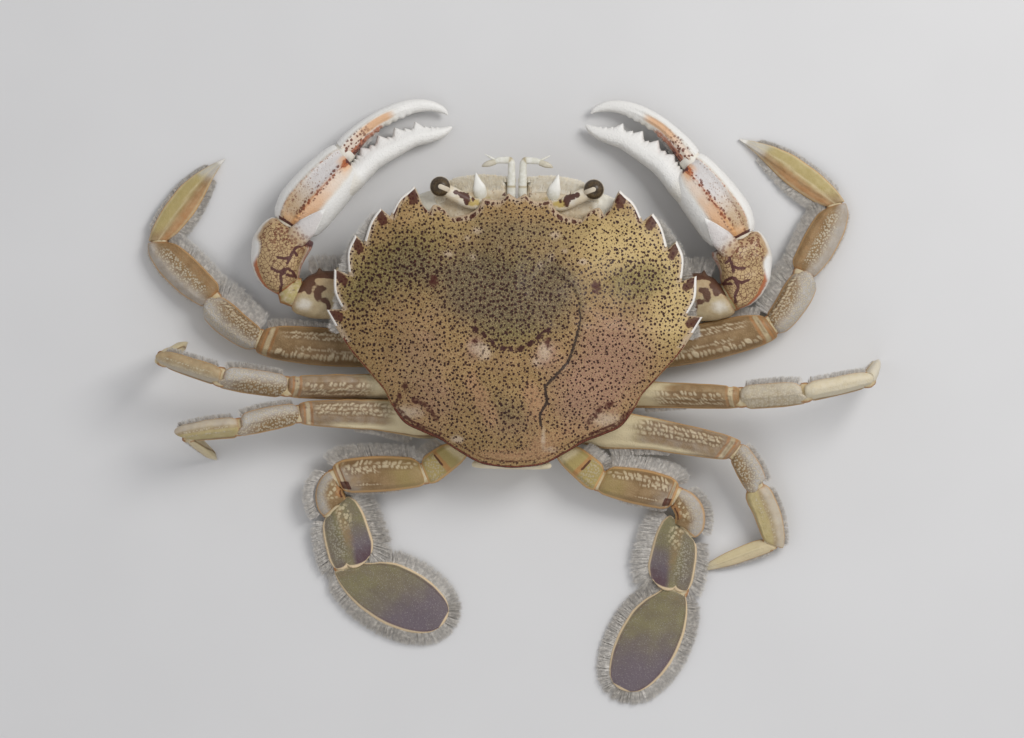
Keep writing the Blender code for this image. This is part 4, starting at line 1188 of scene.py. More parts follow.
@dataclass
class HairTree:
    """Sets one thin tapered bristle on each root."""

    thickness: float = 0.062
    patch: float = 0.003

    def grow(self, name: str, roots: Roots, slot: Slot, thickness: Optional[float] = None,
             finish: Finish = HAIR_FINISH) -> bpy.types.Object:
        """Grow hair from roots.

        Args:
            name: The piece's name.
            roots: Where it grows.
            slot: Not used.
            thickness: Half thickness of a hair at its root, if not the usual one.
            finish: The hair's finish.

        Returns:
            The piece.
        """
        tree = NodeTree(name + "_tree", {"Thickness": ("NodeSocketFloat", self.thickness * MM),
                                         "Patch": ("NodeSocketFloat", self.patch)})
        cone = tree.node("GeometryNodeMeshCone", {"Vertices": 3, "Side Segments": 2, "Radius Top": 0.22,
                                                  "Radius Bottom": 1.0, "Depth": 1.0})
        small = tree.node("ShaderNodeVectorMath", {0: cone.outputs["UV Map"],
                                                   "Scale": tree.start.outputs["Patch"]}, operation="SCALE")
        mapped = tree.node("GeometryNodeStoreNamedAttribute",
                           {0: cone.outputs["Mesh"], "Name": "OFBake", "Value": small.outputs[0]},
                           data_type="FLOAT2", domain="CORNER")
        turn = tree.node("FunctionNodeAlignRotationToVector", {"Vector": tree.named("aim", "FLOAT_VECTOR")},
                         axis="Z")
        size = tree.node("ShaderNodeCombineXYZ", {0: tree.start.outputs["Thickness"],
                                                  1: tree.start.outputs["Thickness"],
                                                  2: tree.named("length", "FLOAT")})
        placed = tree.node("GeometryNodeInstanceOnPoints",
                           {"Points": tree.start.outputs[0], "Instance": mapped.outputs[0],
                            "Rotation": turn.outputs[0], "Scale": size.outputs[0]})
        real = tree.node("GeometryNodeRealizeInstances", {0: placed.outputs[0]})
        spot = tree.node("ShaderNodeVectorMath", {0: tree.named("OFBake", "FLOAT_VECTOR"),
                                                  1: tree.named("root_uv", "FLOAT_VECTOR")}, operation="ADD")
        stored = tree.node("GeometryNodeStoreNamedAttribute",
                           {0: real.outputs[0], "Name": "OFBake", "Value": spot.outputs[0]},
                           data_type="FLOAT2", domain="CORNER")
        tree.close(stored.outputs[0], finish)
        values = {"Thickness": (thickness or self.thickness) * MM, "Patch": self.patch}
        mesh = tree.run(roots.mesh(name), values)
        for spare in ("aim", "length", "root_uv"):
            if spare in mesh.attributes:
                mesh.attributes.remove(mesh.attributes[spare])
        return finish_piece(name, mesh, finish)


HAIR = HairTree()
SHORT_HAIR = 0.06
# Half the height over which a fringe's roots spread, and how far below the edge they lie
FRINGE_DEPTH = (0.45, 0.35)


def fringe(roots: Roots, piece: LimbPiece, row: int, rows: int, front: bool, span: tuple[float, float],
           lengths: tuple[float, float], density: float = 26.0, lean: float = 0.3) -> None:
    """Grow a fringe along one edge of a limb piece.

    Args:
        roots: Where the hair is kept.
        piece: The limb piece.
        row: Strip of the unwrap.
        rows: How many strips there are.
        front: Whether it is the front edge.
        span: Shares along the piece between which it grows.
        lengths: Length of the hair at both ends of the span.
        density: Hairs on each millimetre.
        lean: How far the hair leans towards the limb's tip.
    """
    t = np.linspace(span[0], span[1], 40)
    line = piece.edge(t, front)
    roots.add(line, outward_of(line, piece.middle()), lengths, density, row, rows, lean, *FRINGE_DEPTH)


# The shell

class Edge(Enum):
    """What a point of the shell's margin is."""

    LINE = "on the smooth line between teeth"
    NOTCH = "a sharp corner between teeth"
    TIP = "a tooth's sharp tip"
    SWELL = "on a tooth's rounded flank"


Margin = tuple[Edge, float, float]


@dataclass
class Carapace:
    """The toothed shell, its beaded rear rim and the hair round its front."""

    under: float = 15.6
    rim: float = 17.4
    top: float = 32.0
    centre: tuple[float, float] = (0.0, -1.0)
    neck: float = 0.94
    wall_top: float = 12.7
    rings: int = 112
    around: int = 760
    # The left half of the margin, from the front's middle to the rear's
    margin: tuple[Margin, ...] = (
        (Edge.LINE, 0.0, -34.9), (Edge.TIP, 2.2, -36.3), (Edge.LINE, 4.6, -34.5),
        (Edge.TIP, 9.1, -34.8), (Edge.LINE, 10.3, -32.3), (Edge.LINE, 12.4, -30.8),
        (Edge.LINE, 15.0, -30.1), (Edge.NOTCH, 17.6, -29.7), (Edge.SWELL, 19.5, -31.9),
        (Edge.SWELL, 21.9, -32.9), (Edge.NOTCH, 23.3, -31.0), (Edge.SWELL, 25.2, -33.2),
        (Edge.TIP, 27.3, -37.7), (Edge.SWELL, 28.6, -36.5), (Edge.SWELL, 31.1, -34.3),
        (Edge.NOTCH, 33.6, -29.6), (Edge.TIP, 36.3, -31.7), (Edge.SWELL, 38.6, -28.2),
        (Edge.NOTCH, 40.5, -22.2), (Edge.TIP, 42.8, -24.5), (Edge.SWELL, 44.6, -20.0),
        (Edge.NOTCH, 44.3, -13.8), (Edge.TIP, 48.2, -15.3), (Edge.SWELL, 48.0, -9.4),
        (Edge.NOTCH, 45.8, -4.7), (Edge.TIP, 50.0, -4.4), (Edge.NOTCH, 47.4, 0.2),
        (Edge.LINE, 43.7, 5.9), (Edge.LINE, 38.2, 12.2), (Edge.LINE, 34.4, 16.6),
        (Edge.LINE, 32.6, 20.0), (Edge.LINE, 29.0, 25.0), (Edge.LINE, 24.1, 27.5),
        (Edge.LINE, 19.2, 29.5), (Edge.LINE, 13.8, 32.8), (Edge.LINE, 8.4, 35.6),
        (Edge.LINE, 3.1, 36.5), (Edge.LINE, 0.0, 36.7))
    crack: tuple[tuple[float, float], ...] = (
        (-7.8, -16.2), (-11.8, -14.4), (-15.1, -11.5), (-17.0, -7.8), (-17.4, -3.0), (-15.9, 3.7),
        (-14.4, 8.3), (-10.5, 12.6), (-8.4, 14.8), (-9.0, 19.0), (-7.2, 22.3), (-7.5, 25.2))
    smile: tuple[tuple[float, float], ...] = (
        (10.5, 0.0), (7.5, 1.8), (4.9, 4.4), (1.9, 5.1), (-0.7, 5.5), (-3.2, 4.4), (-6.1, 2.3), (-8.8, -0.2))
    seams: tuple = (((20.3, 24.0), (22.6, 21.0), (26.0, 19.0)),
                    ((18.6, 29.6), (23.4, 27.2), (28.4, 24.6), (31.6, 20.6)))
    # Patches by mask, each (x, y, half width, half length, strength)
    # bright holds painted light: paler patches, strongest at the right front, where the light falls stronger
    bright: tuple = ((-26.0, -24.0, 15.0, 10.0, 0.9), (-43.5, -8.0, 7.0, 10.0, 0.9),
                     (-36.0, -19.0, 6.0, 5.0, 0.7), (0.0, -26.0, 10.0, 4.5, 0.35),
                     (25.0, 11.0, 7.0, 7.0, 0.40), (-20.5, 23.0, 8.0, 5.0, 0.45),
                     (-36.0, 0.0, 10.0, 8.0, 0.5), (18.0, -28.0, 12.0, 5.0, 0.45),
                     (42.5, -18.0, 4.0, 7.0, 0.45), (-37.0, -16.0, 4.0, 4.0, 0.5))
    olive: tuple = ((34.0, -16.0, 10.0, 8.0, 0.85), (24.0, -22.5, 9.0, 6.5, 0.55),
                    (-35.0, -14.5, 8.0, 5.0, 0.75), (2.5, -15.0, 16.0, 9.0, 0.7), (1.0, 0.5, 10.0, 5.0, 0.9),
                    (43.0, -8.0, 6.0, 8.0, 0.6), (-28.0, -10.0, 9.0, 7.0, 0.5), (4.0, 22.0, 9.0, 8.0, 0.3))
    grey: tuple = ((4.0, -9.0, 15.0, 10.5, 1.05), (12.0, -13.5, 9.0, 8.0, 0.6),
                   (-11.0, -11.0, 7.0, 12.0, 0.6),
                   (25.0, -16.0, 6.0, 5.5, 0.45), (31.0, -17.5, 6.0, 5.0, 0.35), (1.0, 25.0, 9.0, 4.0, 0.40),
                   (36.0, -8.5, 6.0, 6.0, 0.35), (1.0, -27.0, 14.0, 5.5, 0.55), (1.0, 20.0, 8.0, 7.0, 0.35))
    pink: tuple = ((-27.0, 6.0, 11.0, 13.0, 1.0), (-18.0, 18.5, 10.0, 10.0, 0.8), (25.0, 6.0, 9.0, 13.0, 0.5),
                   (20.0, 20.0, 9.0, 8.0, 0.45), (10.2, 4.6, 2.6, 3.2, 1.0), (-8.3, 6.0, 2.8, 3.4, 1.0),
                   (1.0, 9.0, 9.0, 3.0, 0.35))
    peach: tuple = ((11.0, 13.8, 1.8, 2.8, 1.0), (8.4, 18.4, 2.1, 3.4, 1.15), (5.8, 22.6, 2.0, 2.6, 1.05),
                    (-4.6, 16.2, 2.3, 3.0, 0.9), (-6.4, 20.4, 2.7, 3.6, 1.05), (1.6, 33.4, 9.0, 1.7, 0.95),
                    (1.0, 26.0, 9.0, 4.0, 0.45), (-20.5, 23.5, 5.0, 4.0, 0.4),
                    (-8.6, 30.6, 4.6, 3.4, 0.95), (-15.0, 27.0, 4.0, 2.2, 0.6), (-24.0, 24.0, 5.0, 3.0, 0.45),
                    (27.0, 22.5, 6.0, 3.5, 0.55), (33.0, 12.0, 4.0, 6.0, 0.35))
    pale: tuple = ((14.5, 29.3, 1.6, 0.9, 1.5), (10.4, -26.1, 1.6, 1.2, 0.75), (17.8, -19.7, 1.5, 1.1, 0.8),
                   (11.2, -19.1, 1.2, 1.0, 0.6), (-10.6, -25.4, 1.7, 1.3, 0.75),
                   (-17.8, -18.2, 1.7, 1.0, 0.85),
                   (-9.4, -19.3, 1.3, 1.5, 0.6), (9.4, 4.8, 3.0, 1.8, 0.80), (7.4, 6.8, 2.0, 1.8, 0.70),
                   (-8.2, 5.6, 2.2, 2.9, 0.80), (-5.6, 8.4, 1.8, 1.6, 0.5), (13.0, -24.0, 1.0, 0.9, 0.6),
                   (-13.0, -21.0, 1.0, 0.9, 0.6), (4.0, -21.5, 0.9, 0.8, 0.5), (-6.5, -17.0, 1.0, 1.4, 0.5),
                   (-24.8, 23.4, 4.8, 2.2, 0.85), (27.8, 22.4, 4.6, 2.0, 0.85), (-8.2, 28.6, 0.7, 2.8, 0.8),
                   (-10.5, 31.6, 2.2, 1.0, 0.6))
    coarse: tuple = ((34.0, -15.0, 10.0, 8.0, 1.0), (24.0, -20.0, 8.0, 7.0, 0.6),
                     (-33.0, -17.0, 9.0, 7.0, 0.9),
                     (3.0, -8.0, 17.0, 13.0, 0.85), (40.0, -4.0, 6.0, 8.0, 0.6), (-40.0, -8.0, 5.0, 8.0, 0.5),
                     (14.0, 14.0, 8.0, 9.0, 0.35), (2.0, 22.0, 8.0, 7.0, 0.45))
    bare: tuple = ((10.0, 5.0, 1.8, 2.4, 0.9), (-8.3, 6.0, 1.8, 2.4, 0.9), (-8.3, 30.2, 3.6, 3.0, 0.9),
                   (-25.0, 23.5, 3.6, 2.2, 0.8), (28.0, 22.5, 3.6, 2.2, 0.8), (1.0, 33.8, 9.0, 1.2, 0.8),
                   (8.2, 18.6, 1.6, 3.6, 0.5), (-5.4, 18.6, 1.6, 3.2, 0.5))
    streaks: tuple = ((21.5, -12.4, 1.3, 2.0, 1.0), (-21.4, -11.6, 1.4, 2.2, 1.0),
                      (28.6, 15.5, 1.2, 1.6, 0.9), (30.2, 18.2, 0.9, 1.6, 0.9),
                      (10.2, 3.4, 1.0, 1.6, 0.8), (-8.8, 3.4, 1.0, 1.6, 0.8))
    # Patches behind each tooth's tip: (along its flank, inwards, size, strength)
    patches: tuple = ((0.6, 1.1, 0.60, 1.3), (1.3, 1.4, 0.85, 1.4), (2.1, 1.8, 0.85, 1.3),
                      (2.9, 2.2, 0.70, 1.1), (1.2, 2.5, 0.65, 1.1), (2.2, 3.3, 0.5, 0.8))
    bead_spacing: float = 0.58
    bead_radius: float = 0.34
    hair_level: float = 15.2
    face_hair_level: float = 12.9

    def outline(self) -> dict[str, Array]:
        """Draw the whole margin.

        Returns:
            By name: the margin's points, its smooth line, and how far each point is on
            a tooth's white flank and on a tooth's dark front.
        """
        half = self.half_outline()
        columns = {}
        for name, values in half.items():
            mirrored = values[-2:0:-1].copy()
            if values.ndim == 2:
                mirrored[:, 0] *= -1
            columns[name] = np.concatenate([values, mirrored])
        known = lengths_along(np.vstack([columns["edge"], columns["edge"][:1]]))
        wanted = np.linspace(0.0, known[-1], self.around, endpoint=False)
        for corner in np.flatnonzero(columns["corner"] > 0.5):
            wanted[np.abs(wanted - known[corner]).argmin()] = known[corner]
        made = {}
        for name, values in columns.items():
            closed = np.concatenate([values, values[:1]])
            if values.ndim == 2:
                made[name] = read_line(closed, known, wanted)
            else:
                made[name] = np.interp(wanted, known, closed)
        return made

    def half_outline(self) -> dict[str, Array]:
        """Draw the left half of the margin, each run between corners as a smooth curve."""
        corners = [i for i, (kind, _, _) in enumerate(self.margin) if kind in (Edge.NOTCH, Edge.TIP)]
        corners = sorted({0, len(self.margin) - 1, *corners})
        places = np.array([(x, y) for _, x, y in self.margin])
        edge, flank, front, corner, where = [], [], [], [], []
        for a, b in zip(corners, corners[1:]):
            rows = np.column_stack([np.arange(a, b + 1), places[a:b + 1]])
            count = max(6, int(np.linalg.norm(np.diff(places[a:b + 1], axis=0), axis=1).sum() / 0.25))
            t = np.linspace(a, b, count, endpoint=False)
            edge.append(self.curve(rows, t))
            is_flank = self.margin[a][0] is Edge.TIP and a > 11
            is_front = self.margin[b][0] is Edge.TIP and b > 11
            share = (t - a) / (b - a)
            flank.append(np.full(count, float(is_flank)) * step(1.0, 0.86, share))
            front.append(np.full(count, float(is_front)) * step(0.15, 0.5, share))
            corner.append((share == 0).astype(float) if a else np.zeros(count))
            where.append(t)
        edge.append(places[-1:])
        flank.append([0.0])
        front.append([0.0])
        corner.append([0.0])
        where.append([float(len(self.margin) - 1)])
        line = [i for i, (kind, _, _) in enumerate(self.margin) if kind in (Edge.LINE, Edge.NOTCH)
                and not (kind is Edge.LINE and i == 2)]
        t = np.concatenate(where)
        smooth = read_line(places[line], line, t)
        return {"edge": np.vstack(edge), "line": smooth, "flank": np.concatenate(flank),
                "front": np.concatenate(front), "corner": np.concatenate(corner)}

    @staticmethod
    def curve(rows: Array, t: Array) -> Array:
        """Draw a rounded curve through a run's points."""
        if len(rows) < 3:
            return read_line(rows[:, 1:], rows[:, 0], t)
        x, y = rows[:, 0], rows[:, 1:]
        tangent = np.gradient(y, axis=0)
        row = np.clip((t - x[0]).astype(int), 0, len(x) - 2)
        return hermite(y, (tangent[row], tangent[row + 1]), row, (t - x[row])[:, None])

    @staticmethod
    def level_ring(flat: Array, height: float) -> Array:
        """Give one level ring as a row of points."""
        return np.column_stack([flat, np.full(len(flat), height)])[None]

    def height(self, x: Array, y: Array, share: Array) -> Array:
        """Give the shell's upper height, with its low swellings and grooves.

        Args:
            x: Places across the body.
            y: Places along the body.
            share: How far from the centre to the smooth line, 0 to 1.

        Returns:
            Heights in millimetres.
        """
        z = self.rim + (self.top - self.rim) * (1.0 - share ** 2.3)
        side = np.abs(x)
        inside = 1 - step(0.86, 0.98, share)
        relief = 0.30 * np.exp(-((side - 25) / 8) ** 2 - ((y + 4) / 12) ** 2)
        relief += 0.25 * np.exp(-(x / 9) ** 2 - ((y + 14) / 8) ** 2)
        relief += 0.25 * np.exp(-(x / 7) ** 2 - ((y - 12) / 7) ** 2)
        groove = np.exp(-((side - 11.5 - 0.06 * (y - 2) ** 2 * (y > 2)) / 2.2) ** 2
                        - ((y - 4) / 9) ** 2)
        relief -= 0.45 * groove
        relief -= 0.35 * np.exp(-((y - 5.0 + 0.09 * x ** 2) / 1.4) ** 2 - (x / 8) ** 2)
        relief += 0.22 * ripple(np.stack([x, y, z * 0], -1), 14.0)
        relief += 0.10 * ripple(np.stack([x, y, z * 0], -1), 5.0, 11)
        return z + relief * inside - 0.35

    def build(self) -> None:
        """Build the shell, its beads and its hair."""
        margin = self.outline()
        centre = np.array(self.centre)
        edge, line = margin["edge"], margin["line"]
        share = np.concatenate([np.linspace(0.012, 0.80, int(self.rings * 0.62)),
                                np.linspace(0.80, self.neck, int(self.rings * 0.2))[1:]])
        flat = centre + (line[None] - centre) * share[:, None, None]
        out = np.linspace(0.0, 1.0, int(self.rings * 0.2))[1:]
        inner = centre + (line - centre) * self.neck
        outer = inner[None] + (edge - inner)[None] * out[:, None, None]
        flat = np.concatenate([flat, outer])
        far = np.concatenate([share, 0.94 + 0.06 * out])[:, None] * np.ones(len(edge))
        x, y = flat[..., 0], flat[..., 1]
        z = self.height(x, y, far)
        to_edge = np.linalg.norm(flat - edge[None], axis=-1)
        crack, hand = to_line(x, y, self.crack)
        z += 0.22 * (1 - step(0.0, 3.5, crack)) * (hand > 0) - 0.30 * (1 - step(0.0, 0.35, crack))
        z += 0.16 * band(to_edge, 0.45, 0.1, 0.5) * margin["flank"][None]
        z -= 0.22 * (1 - step(0.0, 0.5, to_edge))
        masks = self.markings(x, y, far, to_edge, margin, crack, hand)
        z -= 0.12 * clamp(masks["streak"]) * step(2.5, 4.0, to_edge)
        top = np.dstack([flat, z])
        rings = [top]
        for pull, height in ((0.15, self.rim - 0.8), (0.30, self.rim - 1.2), (0.9, self.under + 0.3)):
            inward = edge + unit(centre - edge) * pull
            rings.append(self.level_ring(inward, height))
        lower = centre + (line - centre) * 0.95
        rings.append(self.level_ring(lower, self.under))
        middle = np.array([0.0, (WALL.front + WALL.rear) / 2])
        aim = unit(line - middle)
        reach = WALL.oval(aim, WALL.half_width, WALL.front, WALL.rear)
        wall = middle + aim * reach[:, None]
        for mix in (0.3, 0.65, 1.0):
            ring = lower + (wall - lower) * mix
            drop = self.under + (self.wall_top - self.under) * mix ** 1.3
            rings.append(self.level_ring(ring, drop))
        extra = (sum(len(ring) for ring in rings[1:]), len(edge))
        filled = {name: np.vstack([value, np.full(extra, float(name == "under"))])
                  for name, value in masks.items()}
        skin = Skin.from_rings(np.concatenate(rings), filled)
        finish_piece("carapace_shell", skin, SHELL_FINISH, ["carapace"])
        self.beads(edge)
        self.hair()

    def markings(self, x: Array, y: Array, far: Array, to_edge: Array, margin: dict,
                 crack: Array, hand: Array) -> Masks:
        """Lay out the shell's markings as masks.

        Args:
            x: Places across the body.
            y: Places along the body.
            far: Shares from the centre to the smooth line.
            to_edge: Distances to the margin.
            margin: What outline gives.
            crack: Distances to the crack.
            hand: Sides of the crack.

        Returns:
            Masks by name.
        """
        rear = step(20.0, 30.0, y) * step(0.90, 0.97, far)
        smile, _ = to_line(x, y, self.smile)
        streaks = [*self.streaks, *self.tooth_patches()]
        lines = np.full(x.shape, 1e9)
        for line in self.seams:
            for side in (1, -1):
                lines = np.minimum(lines, to_line(x, y, [(a * side, b) for a, b in line])[0])
        dash = step(-0.35, 0.45, np.sin(np.abs(x) * 3.4 + 1.3 * np.sin(np.abs(x) * 1.9)))
        orbit = (band(np.abs(x), 16.5, 8.0, 0.6) * band(to_edge, 1.05, 0.42, 0.30)
                 + band(np.abs(x), 5.0, 3.8, 0.6) * band(to_edge, 1.0, 0.30, 0.30)
                 + band(np.abs(x), 29.5, 3.2, 0.6) * band(to_edge, 1.0, 0.2, 0.30)) * (y < -20) * dash
        masks = {name: blotch(x, y, getattr(self, name))
                 for name in ("coarse", "bright", "olive", "grey", "pink", "peach", "pale")}
        masks["grey"] += 0.35 * (1 - step(0.3, 3.2, crack)) * (hand > 0) * step(24.0, 14.0, y)
        masks["pale"] += 0.80 * step(3.0, 0.5, to_edge) * (y < 4)
        return masks | {
            "top": np.ones_like(x),
            "speckle": clamp(1.0 - blotch(x, y, self.bare)) * step(0.25, 0.9, to_edge),
            "smile": (1 - step(0.15, 1.25, smile)) * (0.72 + 0.22 * np.sin(x * 2.6)),
            "streak": (blotch(x, y, streaks) * 0.95 + orbit + 0.62 * (1 - step(0.2, 1.9, lines))
                       + rear * (0.80 * step(0.9, 0.4, to_edge) + 0.62 * band(to_edge, 1.75, 0.15, 0.3))),
            "crack": ((1 - step(0.06, 0.48 + 0.22 * step(-6.0, 6.0, y), crack))
                      * (0.68 + 0.32 * step(-12.0, -4.0, y))),
            "white": step(1.00, 0.50, to_edge) * margin["flank"][None],
            "under": np.zeros_like(x),
        }

    def tooth_patches(self) -> list[tuple[float, float, float, float, float]]:
        """Place a maroon patch behind the tip of each side tooth, on its front flank."""
        made = []
        for i, (kind, x, y) in enumerate(self.margin):
            if kind is not Edge.TIP or i < 12:
                continue
            notch = next(k for k in range(i - 1, 0, -1) if self.margin[k][0] is Edge.NOTCH)
            behind = next(k for k in range(i + 1, len(self.margin)) if self.margin[k][0] is Edge.NOTCH)
            aim = unit(np.array([self.margin[notch][1] - x, self.margin[notch][2] - y]))
            inward = unit(np.array([self.margin[behind][1] - x, self.margin[behind][2] - y]))
            for along, deep, size, strong in self.patches:
                spot = np.array([x, y]) + aim * along + inward * deep
                made += [(spot[0] * side, spot[1], size, size * 1.1, strong) for side in (1, -1)]
        return made

    def beads(self, edge: Array) -> None:
        """Set a row of small beads along the shell's rear rim."""
        rear = edge[edge[:, 1] > 3.0]
        rear = rear[np.argsort(-np.arctan2(rear[:, 0], rear[:, 1]))]
        known = lengths_along(rear)
        place = read_line(rear, known, np.arange(0.0, known[-1], self.bead_spacing))
        place = place + unit(np.array(self.centre) - place) * 0.45
        chance = np.random.default_rng(SEED)
        points = np.column_stack([place, np.full(len(place), self.rim - 0.22)])
        carrier = bpy.data.meshes.new("carapace_beads")
        carrier.from_pydata((points * MM).tolist(), [], [])
        size = carrier.attributes.new("bead", "FLOAT", "POINT")
        size.data.foreach_set("value", chance.uniform(0.8, 1.15, len(points)).astype(np.float32))
        tree = NodeTree("bead_tree", {"Radius": ("NodeSocketFloat", self.bead_radius * MM)})
        ball = tree.node("GeometryNodeMeshIcoSphere", {"Radius": tree.start.outputs["Radius"],
                                                       "Subdivisions": 2})
        placed = tree.node("GeometryNodeInstanceOnPoints",
                           {"Points": tree.start.outputs[0], "Instance": ball.outputs["Mesh"],
                            "Scale": tree.named("bead", "FLOAT")})
        tree.close(placed.outputs[0], BEAD_FINISH)
        mesh = tree.run(carrier, {"Radius": self.bead_radius * MM})
        mesh.shade_smooth()
        finish_piece("carapace_beads", mesh, BEAD_FINISH)

    def hair(self) -> None:
        """Grow the short hair under the toothed sides and across the front."""
        roots = Roots()
        centre = np.array([*self.centre, 0.0])
        for side, row in ((1, 0), (-1, 1)):
            places = [(x, y) for kind, x, y in self.margin[12:27] if kind is Edge.NOTCH] + [(47.2, 1.5)]
            line = np.array([(x * side, y, self.hair_level) for x, y in places])
            line = centre * [1, 1, 0] + (line - centre) * [0.97, 0.97, 1.0]
            line = read_line(line, np.arange(len(line)), np.linspace(0, len(line) - 1, 60))
            out = unit((line - centre) * [1, 1, 0])
            roots.add(line, out, (5.6, 3.6), 130.0, row, 2, lean=0.15, layers=0.7)
        HAIR.grow("carapace_hair", roots, Slot.SHELL, SHORT_HAIR)
        roots = Roots()
        for side, row in ((1, 0), (-1, 1)):
            x = np.linspace(0.3, 21.5, 40)
            line = np.column_stack([x * side, np.interp(x, [3, 9, 13, 16, 20, 25],
                                                        [-39.9, -40.2, -39.6, -38.9, -36.8, -35.4]),
                                    np.full(40, self.face_hair_level)])
            out = np.tile([0.0, -1.0, 0.0], (40, 1)) + np.outer(x * side * 0.02, [1, 0, 0])
            roots.add(line, unit(out), (1.0, 1.7), 80.0, 3 * row, 6, lean=0.0, layers=1.0)
            for behind, strip in ((1.3, 1), (2.8, 2)):
                upper = line[6:] + [0.0, behind, 1.0]
                rise = unit(out[6:] + [0.0, 0.0, 0.30])
                roots.add(upper, rise, (1.9, 2.2), 46.0, 3 * row + strip, 6, lean=0.0, layers=0.15)
        HAIR.grow("face_hair", roots, Slot.SHELL, SHORT_HAIR, PALE_HAIR_FINISH)


# The underside and the face

@dataclass
class Underside:
    """The sternum with its side walls, the folded abdomen and the mouthparts."""

    # Height, half width, front and rear of the body at four levels; then the grooves' places
    levels: tuple = ((2.5, 17.0, -19.0, 30.0), (4.2, 25.2, -25.0, 33.2), (6.5, 25.8, -30.0, 33.9),
                     (12.4, 26.0, -32.6, 33.9))
    plates: tuple[float, ...] = (-16.0, -8.6, -0.5, 6.5, 14.5, 22.0, 28.0)

    def build(self) -> None:
        """Build the three parts."""
        self.sternum()
        self.abdomen()
        for side in Side:
            self.mouthpart(side)

    def sternum(self) -> None:
        """Build the body below the shell, with a groove between each two plates."""
        count = 220
        turn = 2 * math.pi * np.arange(count) / count
        aim = np.stack([np.cos(turn), np.sin(turn)], 1)
        rings, grooves = [], []
        foot, top = self.levels[0][0], self.levels[-1][0]
        heights = np.concatenate([[foot], np.linspace(foot, top, 40)])
        table = follow(self.levels, heights)
        table[0] = [1.0, 4.5, 6.5]
        for height, (half, front, rear) in zip(heights, table):
            far = WALL.oval(aim, half, front, rear)
            ring = np.column_stack([aim[:, 0] * far, (front + rear) / 2 + aim[:, 1] * far,
                                    np.full(count, height)])
            seam = seams(ring[:, 1], self.plates, 0.5) * step(8.0, 16.0, np.abs(ring[:, 0]))
            ring[:, :2] -= aim * (0.45 * seam)[:, None]
            rings.append(ring)
            grooves.append(seam)
        grid = np.array(rings)
        skin = Skin.from_rings(grid, {"groove": np.array(grooves) * 0.7,
                                      "warm": 0.4 * step(7.0, 12.0, grid[..., 2])})
        finish_piece("sternum", skin, UNDER_FINISH, ["underbody"])

    def abdomen(self) -> None:
        """Build the narrow abdomen, its rings set off by grooves."""
        rows = [(0.0, -9.0, 1.1, 1.6), (0.14, -4.0, 1.1, 2.6), (0.40, 12.0, 1.1, 4.6),
                (0.68, 28.0, 1.1, 8.0), (0.78, 33.2, 1.9, 9.2), (0.84, 35.4, 5.0, 9.8),
                (0.93, 35.8, 11.0, 10.4), (1.0, 36.0, 15.1, 10.6)]
        t = np.linspace(0.0, 1.0, 150)
        y, z, half = follow(rows, t).T
        seam = seams(t, (0.20, 0.36, 0.50, 0.62, 0.76, 0.90), 0.008)
        heading = unit(np.stack([np.gradient(y), np.gradient(z)], 1))
        part, rise = shares(40, 3.6)
        across = part[None] * (half - 0.35 * seam)[:, None]
        thick = rise[None] * (1.08 - 0.30 * seam)[:, None]
        points = np.stack([across, y[:, None] - thick * heading[:, 1:2],
                           z[:, None] + thick * heading[:, 0:1]], -1)
        skin = Skin.from_rings(points, {"groove": seam[:, None]})
        finish_piece("abdomen_plates", skin, UNDER_FINISH, ["abdomen"])

    def mouthpart(self, side: Side) -> None:
        """Build one outer mouthpart: a folded plate with a seam and a small palp."""
        rows = [(0.0, 5.1, -20.5, 1.2, 4.2, 1.2), (0.5, 5.2, -30.6, 4.4, 4.9, 1.3),
                (0.8, 5.3, -35.9, 9.0, 4.9, 1.4), (1.0, 5.0, -40.4, 10.8, 3.4, 1.0)]
        t = eased(90)
        x, y, z, half, thick = follow(rows, t).T
        seam = seams(t, (0.46, 0.74), 0.012)
        path = np.stack([x * side.value, y, z], 1)
        ends = 0.5 + 0.5 * rounded(np.minimum(t, 1 - t) / 0.06)
        wide = (half * ends - 0.35 * seam)[:, None] * np.ones(2)
        rings, part, _ = sweep_rings(path, wide, thick * ends - 0.25 * seam, 36, 2.8)
        crease = np.exp(-((part + 0.35) / 0.08) ** 2)
        skin = Skin.from_rings(rings, {"groove": seam[:, None] + 0.7 * crease})
        palp_path = np.array([(8.6 * side.value, -31.5, 5.8), (9.3 * side.value, -35.5, 9.6),
                              (8.0 * side.value, -39.6, 12.0), (5.6 * side.value, -40.9, 12.6)])
        fine = np.linspace(0, 3, 26)
        path = follow(np.column_stack([np.arange(4), palp_path]), fine)
        size = np.interp(fine, [0, 1, 2, 3], [0.9, 1.1, 1.0, 0.5])
        palp, _, _ = sweep_rings(path, size[:, None] * np.ones(2), size * 0.8, 18)
        finish_piece(f"{side.word}_mouthpart", Skin.join([skin, Skin.from_rings(palp, {"warm": 0.4})]),
                     UNDER_FINISH, [f"{side.word}_maxilliped"])


